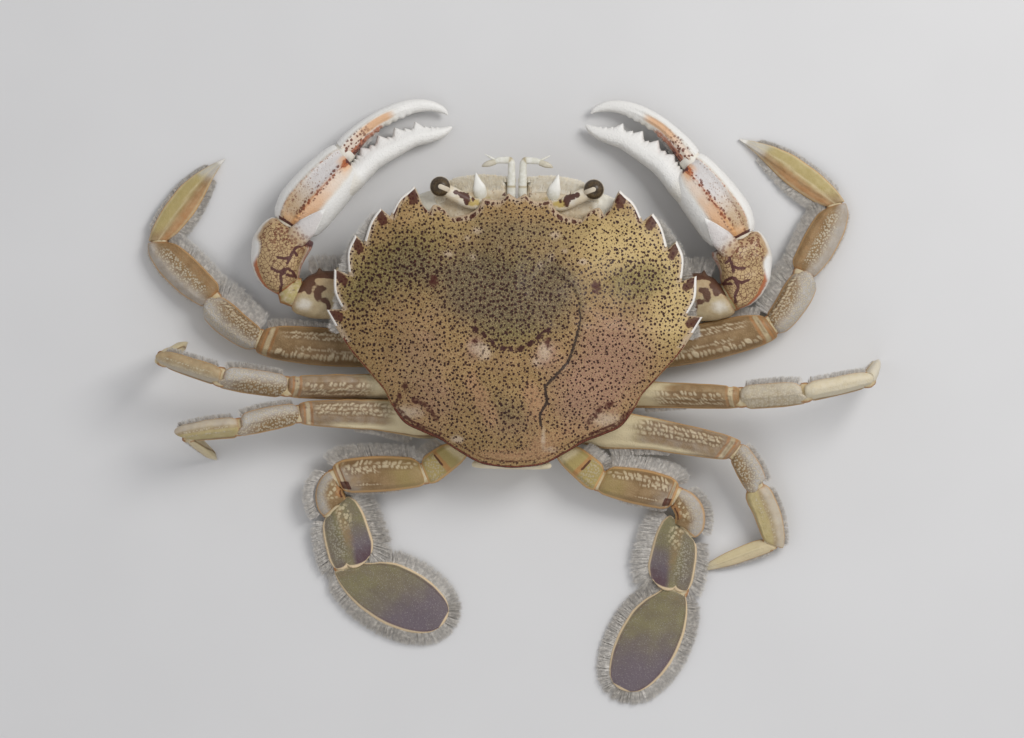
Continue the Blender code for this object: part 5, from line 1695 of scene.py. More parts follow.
@dataclass
class Face:
    """The eyes on their stalks and the two pairs of feelers."""

    eye_radius: float = 2.85
    socket: tuple[float, float, float] = (20.4, -37.7, 16.6)

    def build(self, side: Side) -> None:
        """Build one side of the face."""
        self.tissue(side)
        self.stalk(side)
        self.eye(side)
        self.antennule(side)
        self.antenna(side)

    def tissue(self, side: Side) -> None:
        """Build the pale uneven floor of the orbit, which shows before the shell's front edge."""
        rows = [(0.0, 2.3, -39.6, -32.0), (1.0, 5.0, -40.1, -31.0), (2.0, 9.0, -40.2, -29.4),
                (3.0, 12.0, -39.7, -28.0), (4.0, 16.0, -38.9, -27.4), (5.0, 20.0, -37.4, -28.0),
                (6.0, 24.6, -36.6, -29.6), (6.5, 27.4, -36.4, -31.6)]
        t = np.linspace(0.0, 6.5, 110)
        x, front, back = follow(rows, t).T
        path = np.stack([x * side.value, (front + back) / 2, np.full(len(t), 12.5)], 1)
        ends = rounded(np.minimum(t, 6.5 - t) / 0.5) * 0.8 + 0.2
        half = (back - front) / 2 * ends
        points, _, rise = sweep_rings(path, half[:, None] * np.ones(2), 1.5 * ends, 72, 2.6)
        lump = 0.22 * ripple(points, 3.4, 3) + 0.07 * ripple(points, 1.3, 4)
        points[..., 2] += lump * step(0.0, 0.5, rise)
        away, along = points[..., 0] * side.value, points[..., 1]
        spots = blotch(away, along, ((14.0, -36.6, 1.2, 1.3, 1.0), (13.6, -34.2, 0.9, 1.2, 0.9),
                                     (9.2, -36.4, 0.8, 0.5, 0.6), (3.4, -36.0, 0.9, 0.8, 0.7)))
        yellow = blotch(away, along, ((12.0, -34.0, 1.9, 1.3, 1.0), (8.0, -35.0, 2.0, 0.9, 0.5)))
        skin = Skin.from_rings(points, {"dark": spots, "yellow": yellow,
                                        "white": step(-37.5, -39.5, along) + step(19.0, 22.0, away)})
        finish_piece(f"{side.word}_orbit_tissue", skin, TISSUE_FINISH)

    def tube(self, rows: Sequence, side: Side, rings: int, count: int, square: float = 2.2,
             ) -> tuple[Array, Array, Array, Array]:
        """Sweep a tube given as (x, y, z, half width, half thickness) rows.

        Args:
            rows: The tube on the left side.
            side: Left or right.
            rings: How many rings.
            count: Points in a ring.
            square: How squared the section is.

        Returns:
            Points, across and rise shares, and the shares along.
        """
        table = np.array(rows, float)
        table[:, 0] *= side.value
        known = lengths_along(table[:, :3])
        t = eased(rings)
        fine = follow(np.column_stack([known / known[-1], table]), t)
        ends = 0.45 + 0.55 * rounded(np.minimum(t, 1 - t) / 0.05)
        wide = (fine[:, 3] * ends)[:, None] * np.ones(2)
        points, part, rise = sweep_rings(fine[:, :3], wide, fine[:, 4] * ends, count, square)
        return points, part, rise, t[:, None] * np.ones(count)

    def stalk(self, side: Side) -> None:
        """Build one eyestalk, pale with a dark mark and a yellow-brown patch."""
        rows = [(8.6, -33.2, 14.6, 1.3, 1.3), (11.6, -33.4, 14.8, 1.6, 1.5), (14.4, -34.6, 15.4, 1.8, 1.6),
                (16.6, -35.7, 16.0, 1.8, 1.7), (19.0, -36.9, 16.4, 1.7, 1.7)]
        points, _, rise, _ = self.tube(rows, side, 70, 36)
        away, along = points[..., 0] * side.value, points[..., 1]
        upper = step(-0.3, 0.2, rise)
        dark = upper * blotch(away, along, ((14.3, -35.6, 1.4, 0.9, 1.2), (13.3, -34.2, 0.8, 1.3, 1.2),
                                            (11.6, -34.6, 0.5, 1.0, 0.9), (16.2, -36.3, 0.9, 0.6, 1.0)))
        warm = upper * blotch(away, along, ((12.2, -33.8, 1.5, 1.1, 1.1), (10.2, -33.6, 1.5, 1.0, 0.6)))
        skin = Skin.from_rings(points, {"dark": dark, "warm": warm})
        finish_piece(f"{side.word}_stalk", skin, STALK_FINISH, [f"{side.word}_eyestalk"])

    def eye(self, side: Side) -> None:
        """Build one eye: a glossy globe whose dark face opens towards the stalk."""
        centre = np.array([self.socket[0] * side.value, self.socket[1], self.socket[2]])
        rows, count = 48, 64
        tilt = np.linspace(0.02, math.pi - 0.02, rows)[:, None]
        turn = (2 * math.pi * np.arange(count) / count)[None]
        ball = np.stack([np.sin(tilt) * np.cos(turn), np.sin(tilt) * np.sin(turn),
                         np.cos(tilt) * np.ones_like(turn)], -1)
        inward = unit(np.array([-0.90 * side.value, 0.35, 0.0]))
        medial = ball @ inward
        beside = ball @ np.array([-inward[1], inward[0], 0.0])
        reach = np.hypot(np.minimum(medial - 0.02, 0.0), beside)
        tongue = step(0.25, 0.18, reach) * step(0.0, 0.1, ball[..., 2])
        flat = np.sqrt(clamp(1 - ball[..., 2] ** 2))
        rim = step(0.91, 0.96, flat)
        lower = step(0.10, -0.10, ball[..., 2])
        core = step(0.55, 0.30, flat) * (1 - tongue)
        globe = centre + ball * self.eye_radius * (1 + 0.07 * tongue[..., None] - 0.02 * rim[..., None])
        skin = Skin.from_rings(globe, {"white": tongue + rim + lower, "rim": step(0.965, 0.99, flat),
                                       "dark": core * 0.8 + 0.8 * band(flat, 0.81, 0.02, 0.05)})
        finish_piece(f"{side.word}_eye_globe", skin, EYE_FINISH, [f"{side.word}_eye"])

    def antennule(self, side: Side) -> None:
        """Build one antennule: a jointed stem that folds out, with its two short lashes."""
        stem = [(1.5, -33.2, 13.4, 0.9, 0.8), (1.5, -36.5, 13.9, 1.15, 0.95), (1.5, -40.5, 14.3, 1.05, 0.9),
                (1.55, -44.2, 14.6, 0.95, 0.8), (2.3, -45.2, 14.7, 0.95, 0.8), (4.8, -45.1, 14.8, 0.85, 0.75),
                (6.6, -44.4, 14.8, 0.6, 0.6)]
        lash = [(5.8, -44.7, 14.9, 0.75, 0.7), (7.4, -44.2, 14.9, 0.85, 0.8), (8.6, -43.8, 14.8, 0.6, 0.6),
                (9.5, -43.4, 14.6, 0.15, 0.15)]
        whip = [(5.4, -44.8, 14.9, 0.42, 0.4), (7.0, -45.7, 14.9, 0.32, 0.3), (8.7, -46.6, 14.7, 0.12, 0.12)]
        skins = []
        for rows, rings, cuts in ((stem, 90, (0.30, 0.72)), (lash, 60, ()), (whip, 30, ())):
            points, _, _, t = self.tube(rows, side, rings, 18)
            seam = seams(t, cuts, 0.018)
            if rows is lash:
                seam = 0.5 + 0.5 * np.sin(t * 90.0)
            skins.append(Skin.from_rings(points, {"groove": seam, "warm": band(t, 0.7, 0.1, 0.2) * 0.3}))
        finish_piece(f"{side.word}_antennule_stem", Skin.join(skins), FEELER_FINISH,
                     [f"{side.word}_antennule"])

    def antenna(self, side: Side) -> None:
        """Build one antenna: a short stout base and a thin lash."""
        rows = [(8.6, -33.3, 11.8, 1.15, 1.1), (9.6, -35.8, 13.5, 1.8, 1.1), (10.0, -37.6, 14.4, 1.7, 0.9),
                (10.5, -39.4, 14.6, 1.0, 0.7), (11.0, -41.6, 14.4, 0.14, 0.14)]
        points, _, _, t = self.tube(rows, side, 60, 20)
        skin = Skin.from_rings(points, {"white": step(0.40, 0.65, t)})
        finish_piece(f"{side.word}_antenna_stem", skin, FEELER_FINISH, [f"{side.word}_antenna"])


# The claws

@dataclass
class Hand:
    """The plan of one hand, laid from near its wrist towards its finger's tip."""

    side: Side
    wrist: tuple[float, float]
    tip: tuple[float, float]
    height: float = 7.4
    fall: float = 4.6
    fall_from: float = 8.0
    fall_over: float = 42.0

    def __post_init__(self) -> None:
        """Work out the plan's two directions."""
        self.origin = np.array(self.wrist, float)
        self.along = unit(np.array(self.tip) - self.origin)
        self.across = np.array([-self.along[1], self.along[0]]) * self.side.value

    def place(self, along: Array, across: Array, lift: float = 0.0) -> Array:
        """Give world places of points of the plan, at the hand's height there."""
        along, across = np.asarray(along, float), np.asarray(across, float)
        flat = self.origin + along[..., None] * self.along + across[..., None] * self.across
        height = self.height - self.fall * np.maximum(0.0, along - self.fall_from) / self.fall_over + lift
        return np.concatenate([flat, height[..., None]], -1)

    def aim(self, along: float, across: float) -> Array:
        """Give a level direction of the world from one of the plan."""
        return np.array([*unit(self.along * along + self.across * across), 0.0])


# Rows of the hand's plan: (along, across, outer half width, inner half width, half thickness)
PALM = [(-0.4, -1.2, 5.5, 5.5, 4.2), (1.6, -0.4, 6.9, 6.9, 5.3), (6.0, 1.2, 7.8, 7.8, 6.2),
        (11.0, 2.5, 7.7, 7.7, 6.6), (17.0, 3.9, 7.2, 7.2, 6.2), (20.6, 4.5, 6.7, 5.2, 5.5),
        (22.2, 4.8, 6.0, 3.4, 4.6)]
FIXED_FINGER = [(8.0, -0.2, 3.4, 3.6, 4.4), (14.0, 0.1, 3.8, 3.9, 4.9), (20.5, 0.5, 3.5, 3.4, 4.6),
                (24.0, 1.0, 3.0, 3.0, 4.1), (28.0, 1.7, 3.0, 3.0, 3.8), (33.0, 1.2, 2.7, 2.7, 3.3),
                (39.0, 0.5, 2.4, 2.4, 2.8), (43.5, -1.3, 2.0, 2.0, 2.2), (47.0, -2.6, 1.4, 1.4, 1.6),
                (49.3, -2.9, 0.7, 0.7, 0.9), (50.1, -2.9, 0.2, 0.2, 0.3)]
MOVING_FINGER = [(22.3, 8.0, 2.9, 3.1, 4.0), (24.6, 8.5, 3.0, 3.0, 4.2), (29.5, 9.4, 2.6, 2.6, 3.7),
                 (34.0, 9.7, 2.3, 2.3, 3.2), (39.0, 9.1, 2.2, 2.2, 2.8), (43.0, 8.1, 2.0, 2.0, 2.4),
                 (46.6, 6.4, 1.7, 1.7, 2.0), (49.2, 4.2, 1.3, 1.3, 1.5), (50.8, 1.6, 0.7, 0.7, 0.9),
                 (51.0, 0.4, 0.2, 0.2, 0.3)]
# Teeth of the fixed and of the moving finger: (along, how far they stand out, half width)
FIXED_TEETH = [(22.8, 0.5, 0.6), (23.9, 0.8, 0.7), (25.2, 1.0, 0.8), (26.9, 1.7, 1.3), (28.9, 0.7, 0.8),
               (30.3, 0.5, 0.6), (32.0, 2.3, 1.9), (34.0, 0.9, 0.8), (35.3, 0.5, 0.6), (36.9, 2.3, 1.8),
               (38.9, 1.1, 0.9), (40.2, 0.5, 0.5), (41.7, 2.4, 1.5), (43.4, 0.9, 0.8), (44.8, 0.5, 0.6),
               (46.2, 0.3, 0.6)]
MOVING_TEETH = [(31.2, 0.25, 0.6), (33.0, 0.45, 1.0), (34.6, 0.3, 0.6), (36.8, 0.45, 1.1),
                (38.9, 0.3, 0.8), (41.0, 0.4, 1.1), (43.0, 0.25, 0.8)]


@dataclass
class ClawLimb:
    """One claw limb: merus, carpus with its spine, palm with its fixed finger, and finger."""

    side: Side
    hand: Hand
    shoulder: float
    merus_end: tuple[float, float]
    merus_face: tuple[float, float]
    carpus_start: tuple[float, float]
    carpus_face: tuple[float, float]
    height: float = 6.8
    # Dark band and blots of the arm, from its outer end, and veins of the carpus, from its inner end
    arm_band: tuple = ((-1.5, -2.9), (-2.8, -4.6), (-4.9, -5.8), (-7.3, -6.1), (-9.7, -5.8))
    arm_blots: tuple = ((-0.6, -1.5, 1.3, 1.0, 1.2), (-2.6, -2.3, 1.4, 1.0, 1.2), (-3.6, -1.0, 0.8, 1.0, 1.0),
                        (-5.9, -0.4, 1.0, 1.9, 1.2), (-7.3, -1.9, 1.2, 0.8, 1.1), (-7.8, 1.2, 1.0, 0.8, 1.0),
                        (-9.0, 2.8, 0.7, 1.5, 1.0), (-4.6, -3.3, 0.9, 0.8, 1.0))
    veins: tuple = (((13.0, -4.6), (11.9, -3.3), (11.3, -1.9), (10.3, -1.1), (8.5, -0.4), (6.5, 0.4),
                     (4.8, 1.0), (3.2, 2.1), (1.3, 1.4), (-1.0, 1.7)),
                    ((5.6, 0.3), (4.5, -1.5), (3.3, -2.1)), ((4.0, 0.9), (3.6, -0.8), (3.5, -1.8)),
                    ((10.3, -1.1), (9.1, -2.1)), ((8.5, -0.4), (8.0, 1.3), (8.2, 2.9)),
                    ((4.8, 1.0), (4.3, 2.6), (5.2, 4.3)), ((15.6, 0.0), (14.8, -2.2), (13.1, -4.2)))

    def build(self) -> None:
        """Build the limb's pieces and its hair."""
        self.name = f"{self.side.word}_cheliped"
        self.wrist_face = self.hand.aim(0.91, 0.41)
        self.finger_face = self.hand.aim(1.0, 0.1)
        root, outward = WALL.root(self.shoulder, self.side)
        root = np.array([root[0], root[1], self.height]) + outward * GAP / 2
        self.merus = LimbPiece(root, np.array([*self.merus_end, self.height]),
                               (outward, np.array([*self.merus_face, 0.0])),
                               STATIONS["cheliped_merus"], self.side)
        wrist = self.hand.place(*PALM[0][:2])
        self.carpus = LimbPiece(np.array([*self.carpus_start, self.height]), wrist,
                                (np.array([*self.carpus_face, 0.0]), self.wrist_face),
                                STATIONS["cheliped_carpus"], self.side)
        self.build_merus()
        self.build_carpus()
        self.build_palm()
        self.build_finger()
        self.build_joints()
        self.build_hair()

    def build_merus(self) -> None:
        """Build the arm, dark along its front edge and blotched."""
        t = eased(90)
        points, part, rise = self.merus.rings(t, 64, 2.4, 1.6)
        t = t[:, None]
        upper = step(-0.3, 0.2, rise)
        spine = seams(t, (0.52, 0.70, 0.86), 0.018)
        points = points + self.merus.across * (spine * step(0.93, 1.0, part) * 1.1)[..., None]
        rest = points[..., :2] - np.array(self.merus_end)
        place = (rest[..., 0] * self.side.value, rest[..., 1])
        blots = blotch(*place, self.arm_blots)
        front = 1.15 * (1 - step(0.8, 1.8, to_line(*place, self.arm_band)[0]))
        oval = blotch(*place, [(-2.5, 2.4, 3.2, 2.3, 0.62)])
        masks = {
            "olive": 0.25 * upper * step(0.9, 0.2, np.abs(part)),
            "dark": upper * clamp(front + blots),
            "warm": upper * clamp(0.55 * band(part, 0.45, 0.25, 0.3) * step(0.4, 0.8, t)
                                  + step(0.95, 1.0, t) * 0.8),
            "pale": step(0.1, -0.2, rise) + 0.5 * upper + 0.5 * step(0.90, 1.0, part),
            "white": upper * clamp(oval),
            "granules": 0.5 * upper,
            "beads": 0.4 * upper * band(part, -0.1, 0.4, 0.2) * step(0.6, 0.3, t),
        }
        skin = Skin.from_rings(points, masks)
        finish_piece(f"{self.name}_arm", skin, LEG_FINISH, [f"{self.name}_merus"])

    def build_carpus(self) -> None:
        """Build the carpus, netted with dark veins, white on its outer rim."""
        t = eased(110)
        points, part, rise = self.carpus.rings(t, 80, 2.3, 1.4)
        t = t[:, None]
        upper = step(-0.25, 0.15, rise)
        outer = -part
        points = points + self.carpus.up * (0.30 * ripple(points, 6.0, 5) * upper)[..., None]
        points = points + self.carpus.up * (0.40 * (band(outer, 0.05, 0.05, 0.16) * upper))[..., None]
        axis = unit((self.carpus.end - self.carpus.start)[:2])
        away = np.array([axis[1], -axis[0]])
        away *= np.sign(away[0]) * self.side.value
        rest = points[..., :2] - self.carpus.start[:2]
        ahead, aside = rest @ axis, rest @ away
        vein = np.min([to_line(ahead, aside, line)[0] for line in self.veins], axis=0)
        blot = blotch(ahead, aside, ((12.6, -5.5, 1.0, 1.3, 1.1), (12.9, -4.0, 0.8, 0.8, 0.8)))
        masks = {
            "tan": upper * step(0.97, 0.82, outer) * step(-1.0, -0.8, outer),
            "net": (upper * step(0.90, 0.74, outer) * step(-0.98, -0.7, outer)
                    * (0.45 + 0.55 * step(0.95, 0.6, t))),
            "spots": upper * step(0.50, 0.80, t) * step(0.9, 0.7, outer) * 0.9,
            "dark": upper * clamp(1.05 * (1 - step(0.14, 0.58, vein)) + blot
                                  + 0.85 * step(0.955, 0.99, t) * step(0.70, 0.4, np.abs(outer))),
            "warm": upper * clamp(0.8 * band(outer, 0.88, 0.03, 0.07) * step(0.72, 0.45, t)
                                  + 0.9 * step(0.07, 0.0, t) + 0.6 * step(-0.80, -0.95, outer)),
            "channel": 0.6 * upper * band(outer, -0.75, 0.15, 0.2) * step(0.6, 0.9, t),
            "white": upper * blotch(ahead, aside, ((10.4, 9.4, 2.6, 1.5, 1.2), (7.4, 10.2, 2.0, 1.1, 0.9))),
        }
        spine = [self.hand.place(a, b, lift) for a, b, lift in
                 ((-4.0, -4.6, 4.6), (-0.4, -4.2, 5.6), (3.2, -3.7, 6.4), (6.6, -3.0, 6.9), (9.8, -2.4, 7.2))]
        fine = np.linspace(0, 4, 60)
        rows = follow(np.column_stack([np.arange(5), spine]), fine)
        size = np.interp(fine, np.arange(5), [2.4, 3.0, 2.7, 1.5, 0.12])
        thick = np.interp(fine, np.arange(5), [1.6, 1.6, 1.2, 0.7, 0.10])
        cone, across, _ = sweep_rings(rows, size[:, None] * np.ones(2), thick, 32)
        far = np.linspace(0, 1, 60)[:, None]
        tooth = Skin.from_rings(cone, {"channel": 0.9 * step(0.2, 0.5, far),
                                       "tan": 0.25 + 0.6 * step(0.75, 0.1, far),
                                       "spots": 0.6 * step(0.55, 0.3, far),
                                       "white": step(0.75, 0.95, np.abs(across)) * step(0.4, 0.7, far)
                                       + step(0.8, 0.95, far)})
        skin = Skin.join([Skin.from_rings(points, masks), tooth])
        finish_piece(f"{self.name}_elbow", skin, CLAW_FINISH, [f"{self.name}_carpus"])

    def limb(self, rows: Sequence, rings: int, count: int, faces: tuple, square: float = 2.4,
             ) -> tuple[Array, Array, Array, Array]:
        """Sweep one part of the hand given as rows of its plan.

        Args:
            rows: (along, across, outer and inner half width, half thickness).
            rings: How many rings.
            count: Points in a ring.
            faces: Directions of the end planes.
            square: How squared the section is.

        Returns:
            Points, across share (+1 outwards), rise share, and place along the plan.
        """
        table = np.array(rows)
        known = lengths_along(table[:, :2])
        fine = follow(np.column_stack([known, table]), eased(rings) * known[-1])
        path = self.hand.place(fine[:, 0], fine[:, 1])
        if faces[0] is not None:
            path = path + np.outer(step(0.06, 0.0, np.linspace(0, 1, rings)), faces[0]) * GAP / 2
        if faces[1] is not None:
            path = path - np.outer(step(0.94, 1.0, np.linspace(0, 1, rings)), faces[1]) * GAP / 2
        wide = fine[:, [2, 3]] if self.side is Side.RIGHT else fine[:, [3, 2]]
        points, part, rise = sweep_rings(path, wide, fine[:, 4], count, square, faces)
        across = (points[..., :2] - self.hand.origin) @ self.hand.across
        outward = np.sign((across * part).sum()) * part
        return points, outward, rise, np.broadcast_to(fine[:, 0][:, None], part.shape)

    def toothed(self, points: Array, outward: Array, along: Array, teeth: Sequence, sign: float) -> Array:
        """Raise teeth along one edge of a finger.

        Args:
            points: The finger's points.
            outward: Its across shares.
            along: Places along the plan.
            teeth: (along, reach, half width) of each tooth.
            sign: +1 where the teeth stand outwards, -1 inwards.

        Returns:
            The points with teeth.
        """
        reach = np.zeros(points.shape[:2])
        for place, tall, half in teeth:
            reach = np.maximum(reach, tall * clamp(1 - np.abs(along - place) / half) ** 0.85)
        push = np.array([*self.hand.across, 0.0]) * sign
        return points + push * (reach * step(0.55, 0.98, outward * sign))[..., None]

    def build_palm(self) -> None:
        """Build the palm with its granular ridges, and the toothed fixed finger."""
        points, outward, rise, along = self.limb(PALM, 120, 112, (self.wrist_face, self.finger_face), 2.2)
        upper = step(-0.1, 0.3, rise)
        ridges = band(outward, 0.66, 0.02, 0.06) + band(outward, 0.0, 0.03, 0.08)
        granules = 0.7 + 0.3 * np.sin(along * 5.5)
        lift = 0.42 * ridges * granules - 0.45 * band(outward, 0.33, 0.12, 0.18)
        points[..., 2] += lift * upper * step(0.5, 2.0, along)
        palm = Skin.from_rings(points, {
            "tan": 0.80 * upper * band(outward, 0.32, 0.30, 0.14) * step(21.0, 3.0, along),
            "channel": upper * band(outward, 0.34, 0.22, 0.16) * step(3.0, 15.0, along),
            "granules": upper * clamp(band(outward, 0.32, 0.28, 0.1) * step(21.0, 9.0, along)
                                      + band(outward, 0.60, 0.06, 0.06)),
            "spots": upper * clamp(band(outward, 0.02, 0.11, 0.05) * step(1.0, 4.0, along)
                                   + 0.8 * band(outward, 0.50, 0.02, 0.05) * step(12.0, 6.0, along)),
            "orange": upper * clamp(0.95 * band(outward, -0.20, 0.12, 0.28)
                                    * (0.45 + 0.55 * step(17, 4, along))
                                    + 0.5 * step(4.0, 1.0, along) * band(outward, 0.0, 0.45, 0.2)
                                    + 0.7 * step(17.0, 21.0, along) * band(outward, 0.05, 0.2, 0.2)),
            "warm": upper * clamp(0.45 * band(outward, 0.67, 0.01, 0.05)
                                  + 0.55 * band(outward, 0.0, 0.04, 0.07) * step(3.0, 6.0, along)
                                  + 0.8 * step(18.5, 21.0, along) * band(outward, 0.02, 0.12, 0.1)),
            "dark": upper * clamp(0.45 * band(outward, 0.0, 0.03, 0.06) * step(3.0, 6.0, along)
                                  + 0.85 * step(20.4, 21.8, along) * band(outward, -0.1, 0.18, 0.1)
                                  + 0.85 * step(0.7, 0.1, along) * band(outward, 0.3, 0.45, 0.1)),
            "white": step(0.70, 0.80, outward) + step(-0.36, -0.62, outward) + step(0.3, 0.0, rise),
        })
        points, outward, rise, along = self.limb(FIXED_FINGER, 380, 48, (None, None))
        points = self.toothed(points, outward, along, FIXED_TEETH, 1.0)
        pits = band(rise, 0.75, 0.05, 0.12) * (0.5 + 0.5 * np.sin(along * 2.6)) * step(22, 26, along)
        points[..., 2] -= 0.10 * pits
        finger = Skin.from_rings(points, {
            "white": step(18.0, 24.0, along),
            "orange": 0.75 * band(along, 22.5, 1.0, 2.5) * band(outward, 0.75, 0.2, 0.3) * step(0, 0.4, rise),
            "dark": 0.85 * band(along, 21.0, 1.2, 1.0) * band(outward, 0.9, 0.2, 0.2) * step(0, 0.4, rise),
        })
        finish_piece(f"{self.name}_hand", Skin.join([palm, finger]), CLAW_FINISH,
                     [f"{self.name}_palm"])

    def build_finger(self) -> None:
        """Build the moving finger: orange and maroon on its inner side, white beyond."""
        points, outward, rise, along = self.limb(MOVING_FINGER, 260, 56, (self.finger_face, None))
        points = self.toothed(points, outward, along, MOVING_TEETH, -1.0)
        upper = step(-0.35, 0.1, rise)
        ridge = band(outward, 0.35, 0.04, 0.12) + band(outward, -0.25, 0.05, 0.14)
        points[..., 2] += 0.30 * ridge * step(0.2, 0.6, rise) * step(46, 38, along)
        masks = {
            "orange": (upper * band(outward, -0.15, 0.25, 0.35) * step(41.0, 36.0, along)
                       * (0.45 + 0.55 * step(26.0, 32.0, along))),
            "warm": upper * clamp(0.7 * step(-0.45, -0.75, outward) * step(37.5, 33.0, along)
                                  + 0.25 * step(0.0, -0.3, outward) * step(31.0, 24.0, along)),
            "dark": 0.55 * upper * step(-0.50, -0.80, outward) * step(33.0, 26.0, along),
            "spots": upper * band(outward, -0.15, 0.45, 0.15) * step(34, 27, along),
            "white": step(0.40, 0.60, outward) + step(37.0, 42.0, along) + step(-0.1, -0.5, rise),
        }
        skin = Skin.from_rings(points, masks)
        finish_piece(f"{self.name}_dactyl", skin, CLAW_FINISH, [f"{self.name}_finger"])

    def build_joints(self) -> None:
        """Build the soft skin inside the elbow, the wrist and the finger's joint."""
        elbow = (self.merus.end + self.carpus.start) / 2
        wrist = self.hand.place(*PALM[0][:2])
        knuckle = self.hand.place(22.3, 7.4)
        heading = self.hand.aim(1.0, 0.15)
        skins = [joint_skin(elbow, self.merus.along, self.carpus.along, wide=4.2, thick=3.7, reach=2.6,
                            olive=0.50),
                 joint_skin(wrist, self.carpus.along, heading, wide=5.2, thick=4.2, reach=2.2, white=0.5),
                 joint_skin(knuckle, heading, heading, wide=3.1, thick=4.25, reach=1.6, white=1.0)]
        finish_piece(f"{self.name}_joint_skin", Skin.join(skins), SKIN_FINISH)

    def build_hair(self) -> None:
        """Grow the comb of short hair inside the finger and the hair before the arm."""
        roots = Roots()
        place = np.linspace(24.0, 33.0, 40)
        finger = np.array(MOVING_FINGER)
        across = np.interp(place, finger[:, 0], finger[:, 1]) - np.interp(place, finger[:, 0], finger[:, 2])
        line = self.hand.place(place, across + 0.4, 0.6)
        out = np.tile(-np.array([*self.hand.across, 0.0]), (40, 1))
        roots.add(line, out, (1.6, 1.0), 26.0, 0, 2, lean=0.25, layers=0.8)
        fringe(roots, self.merus, 1, 2, True, (0.30, 0.92), (3.0, 4.8), 60.0, 0.1)
        HAIR.grow(f"{self.name}_hair", roots, Slot.CLAW, SHORT_HAIR)


# The legs

# Painted light: how much the outer pieces of the right third leg are whitened, standing in for the stronger
# light that falls on that side
PAINTED_LIGHT_WHITENING = {"carpus": 0.37, "propodus": 0.41, "dactyl": 0.50}
# Where each walking leg's merus widens towards the body: reach, front and rear factors
FLARES = {2: (0.35, 1.15, 1.45), 3: (0.52, 1.60, 1.65), 4: (0.50, 1.40, 2.10)}


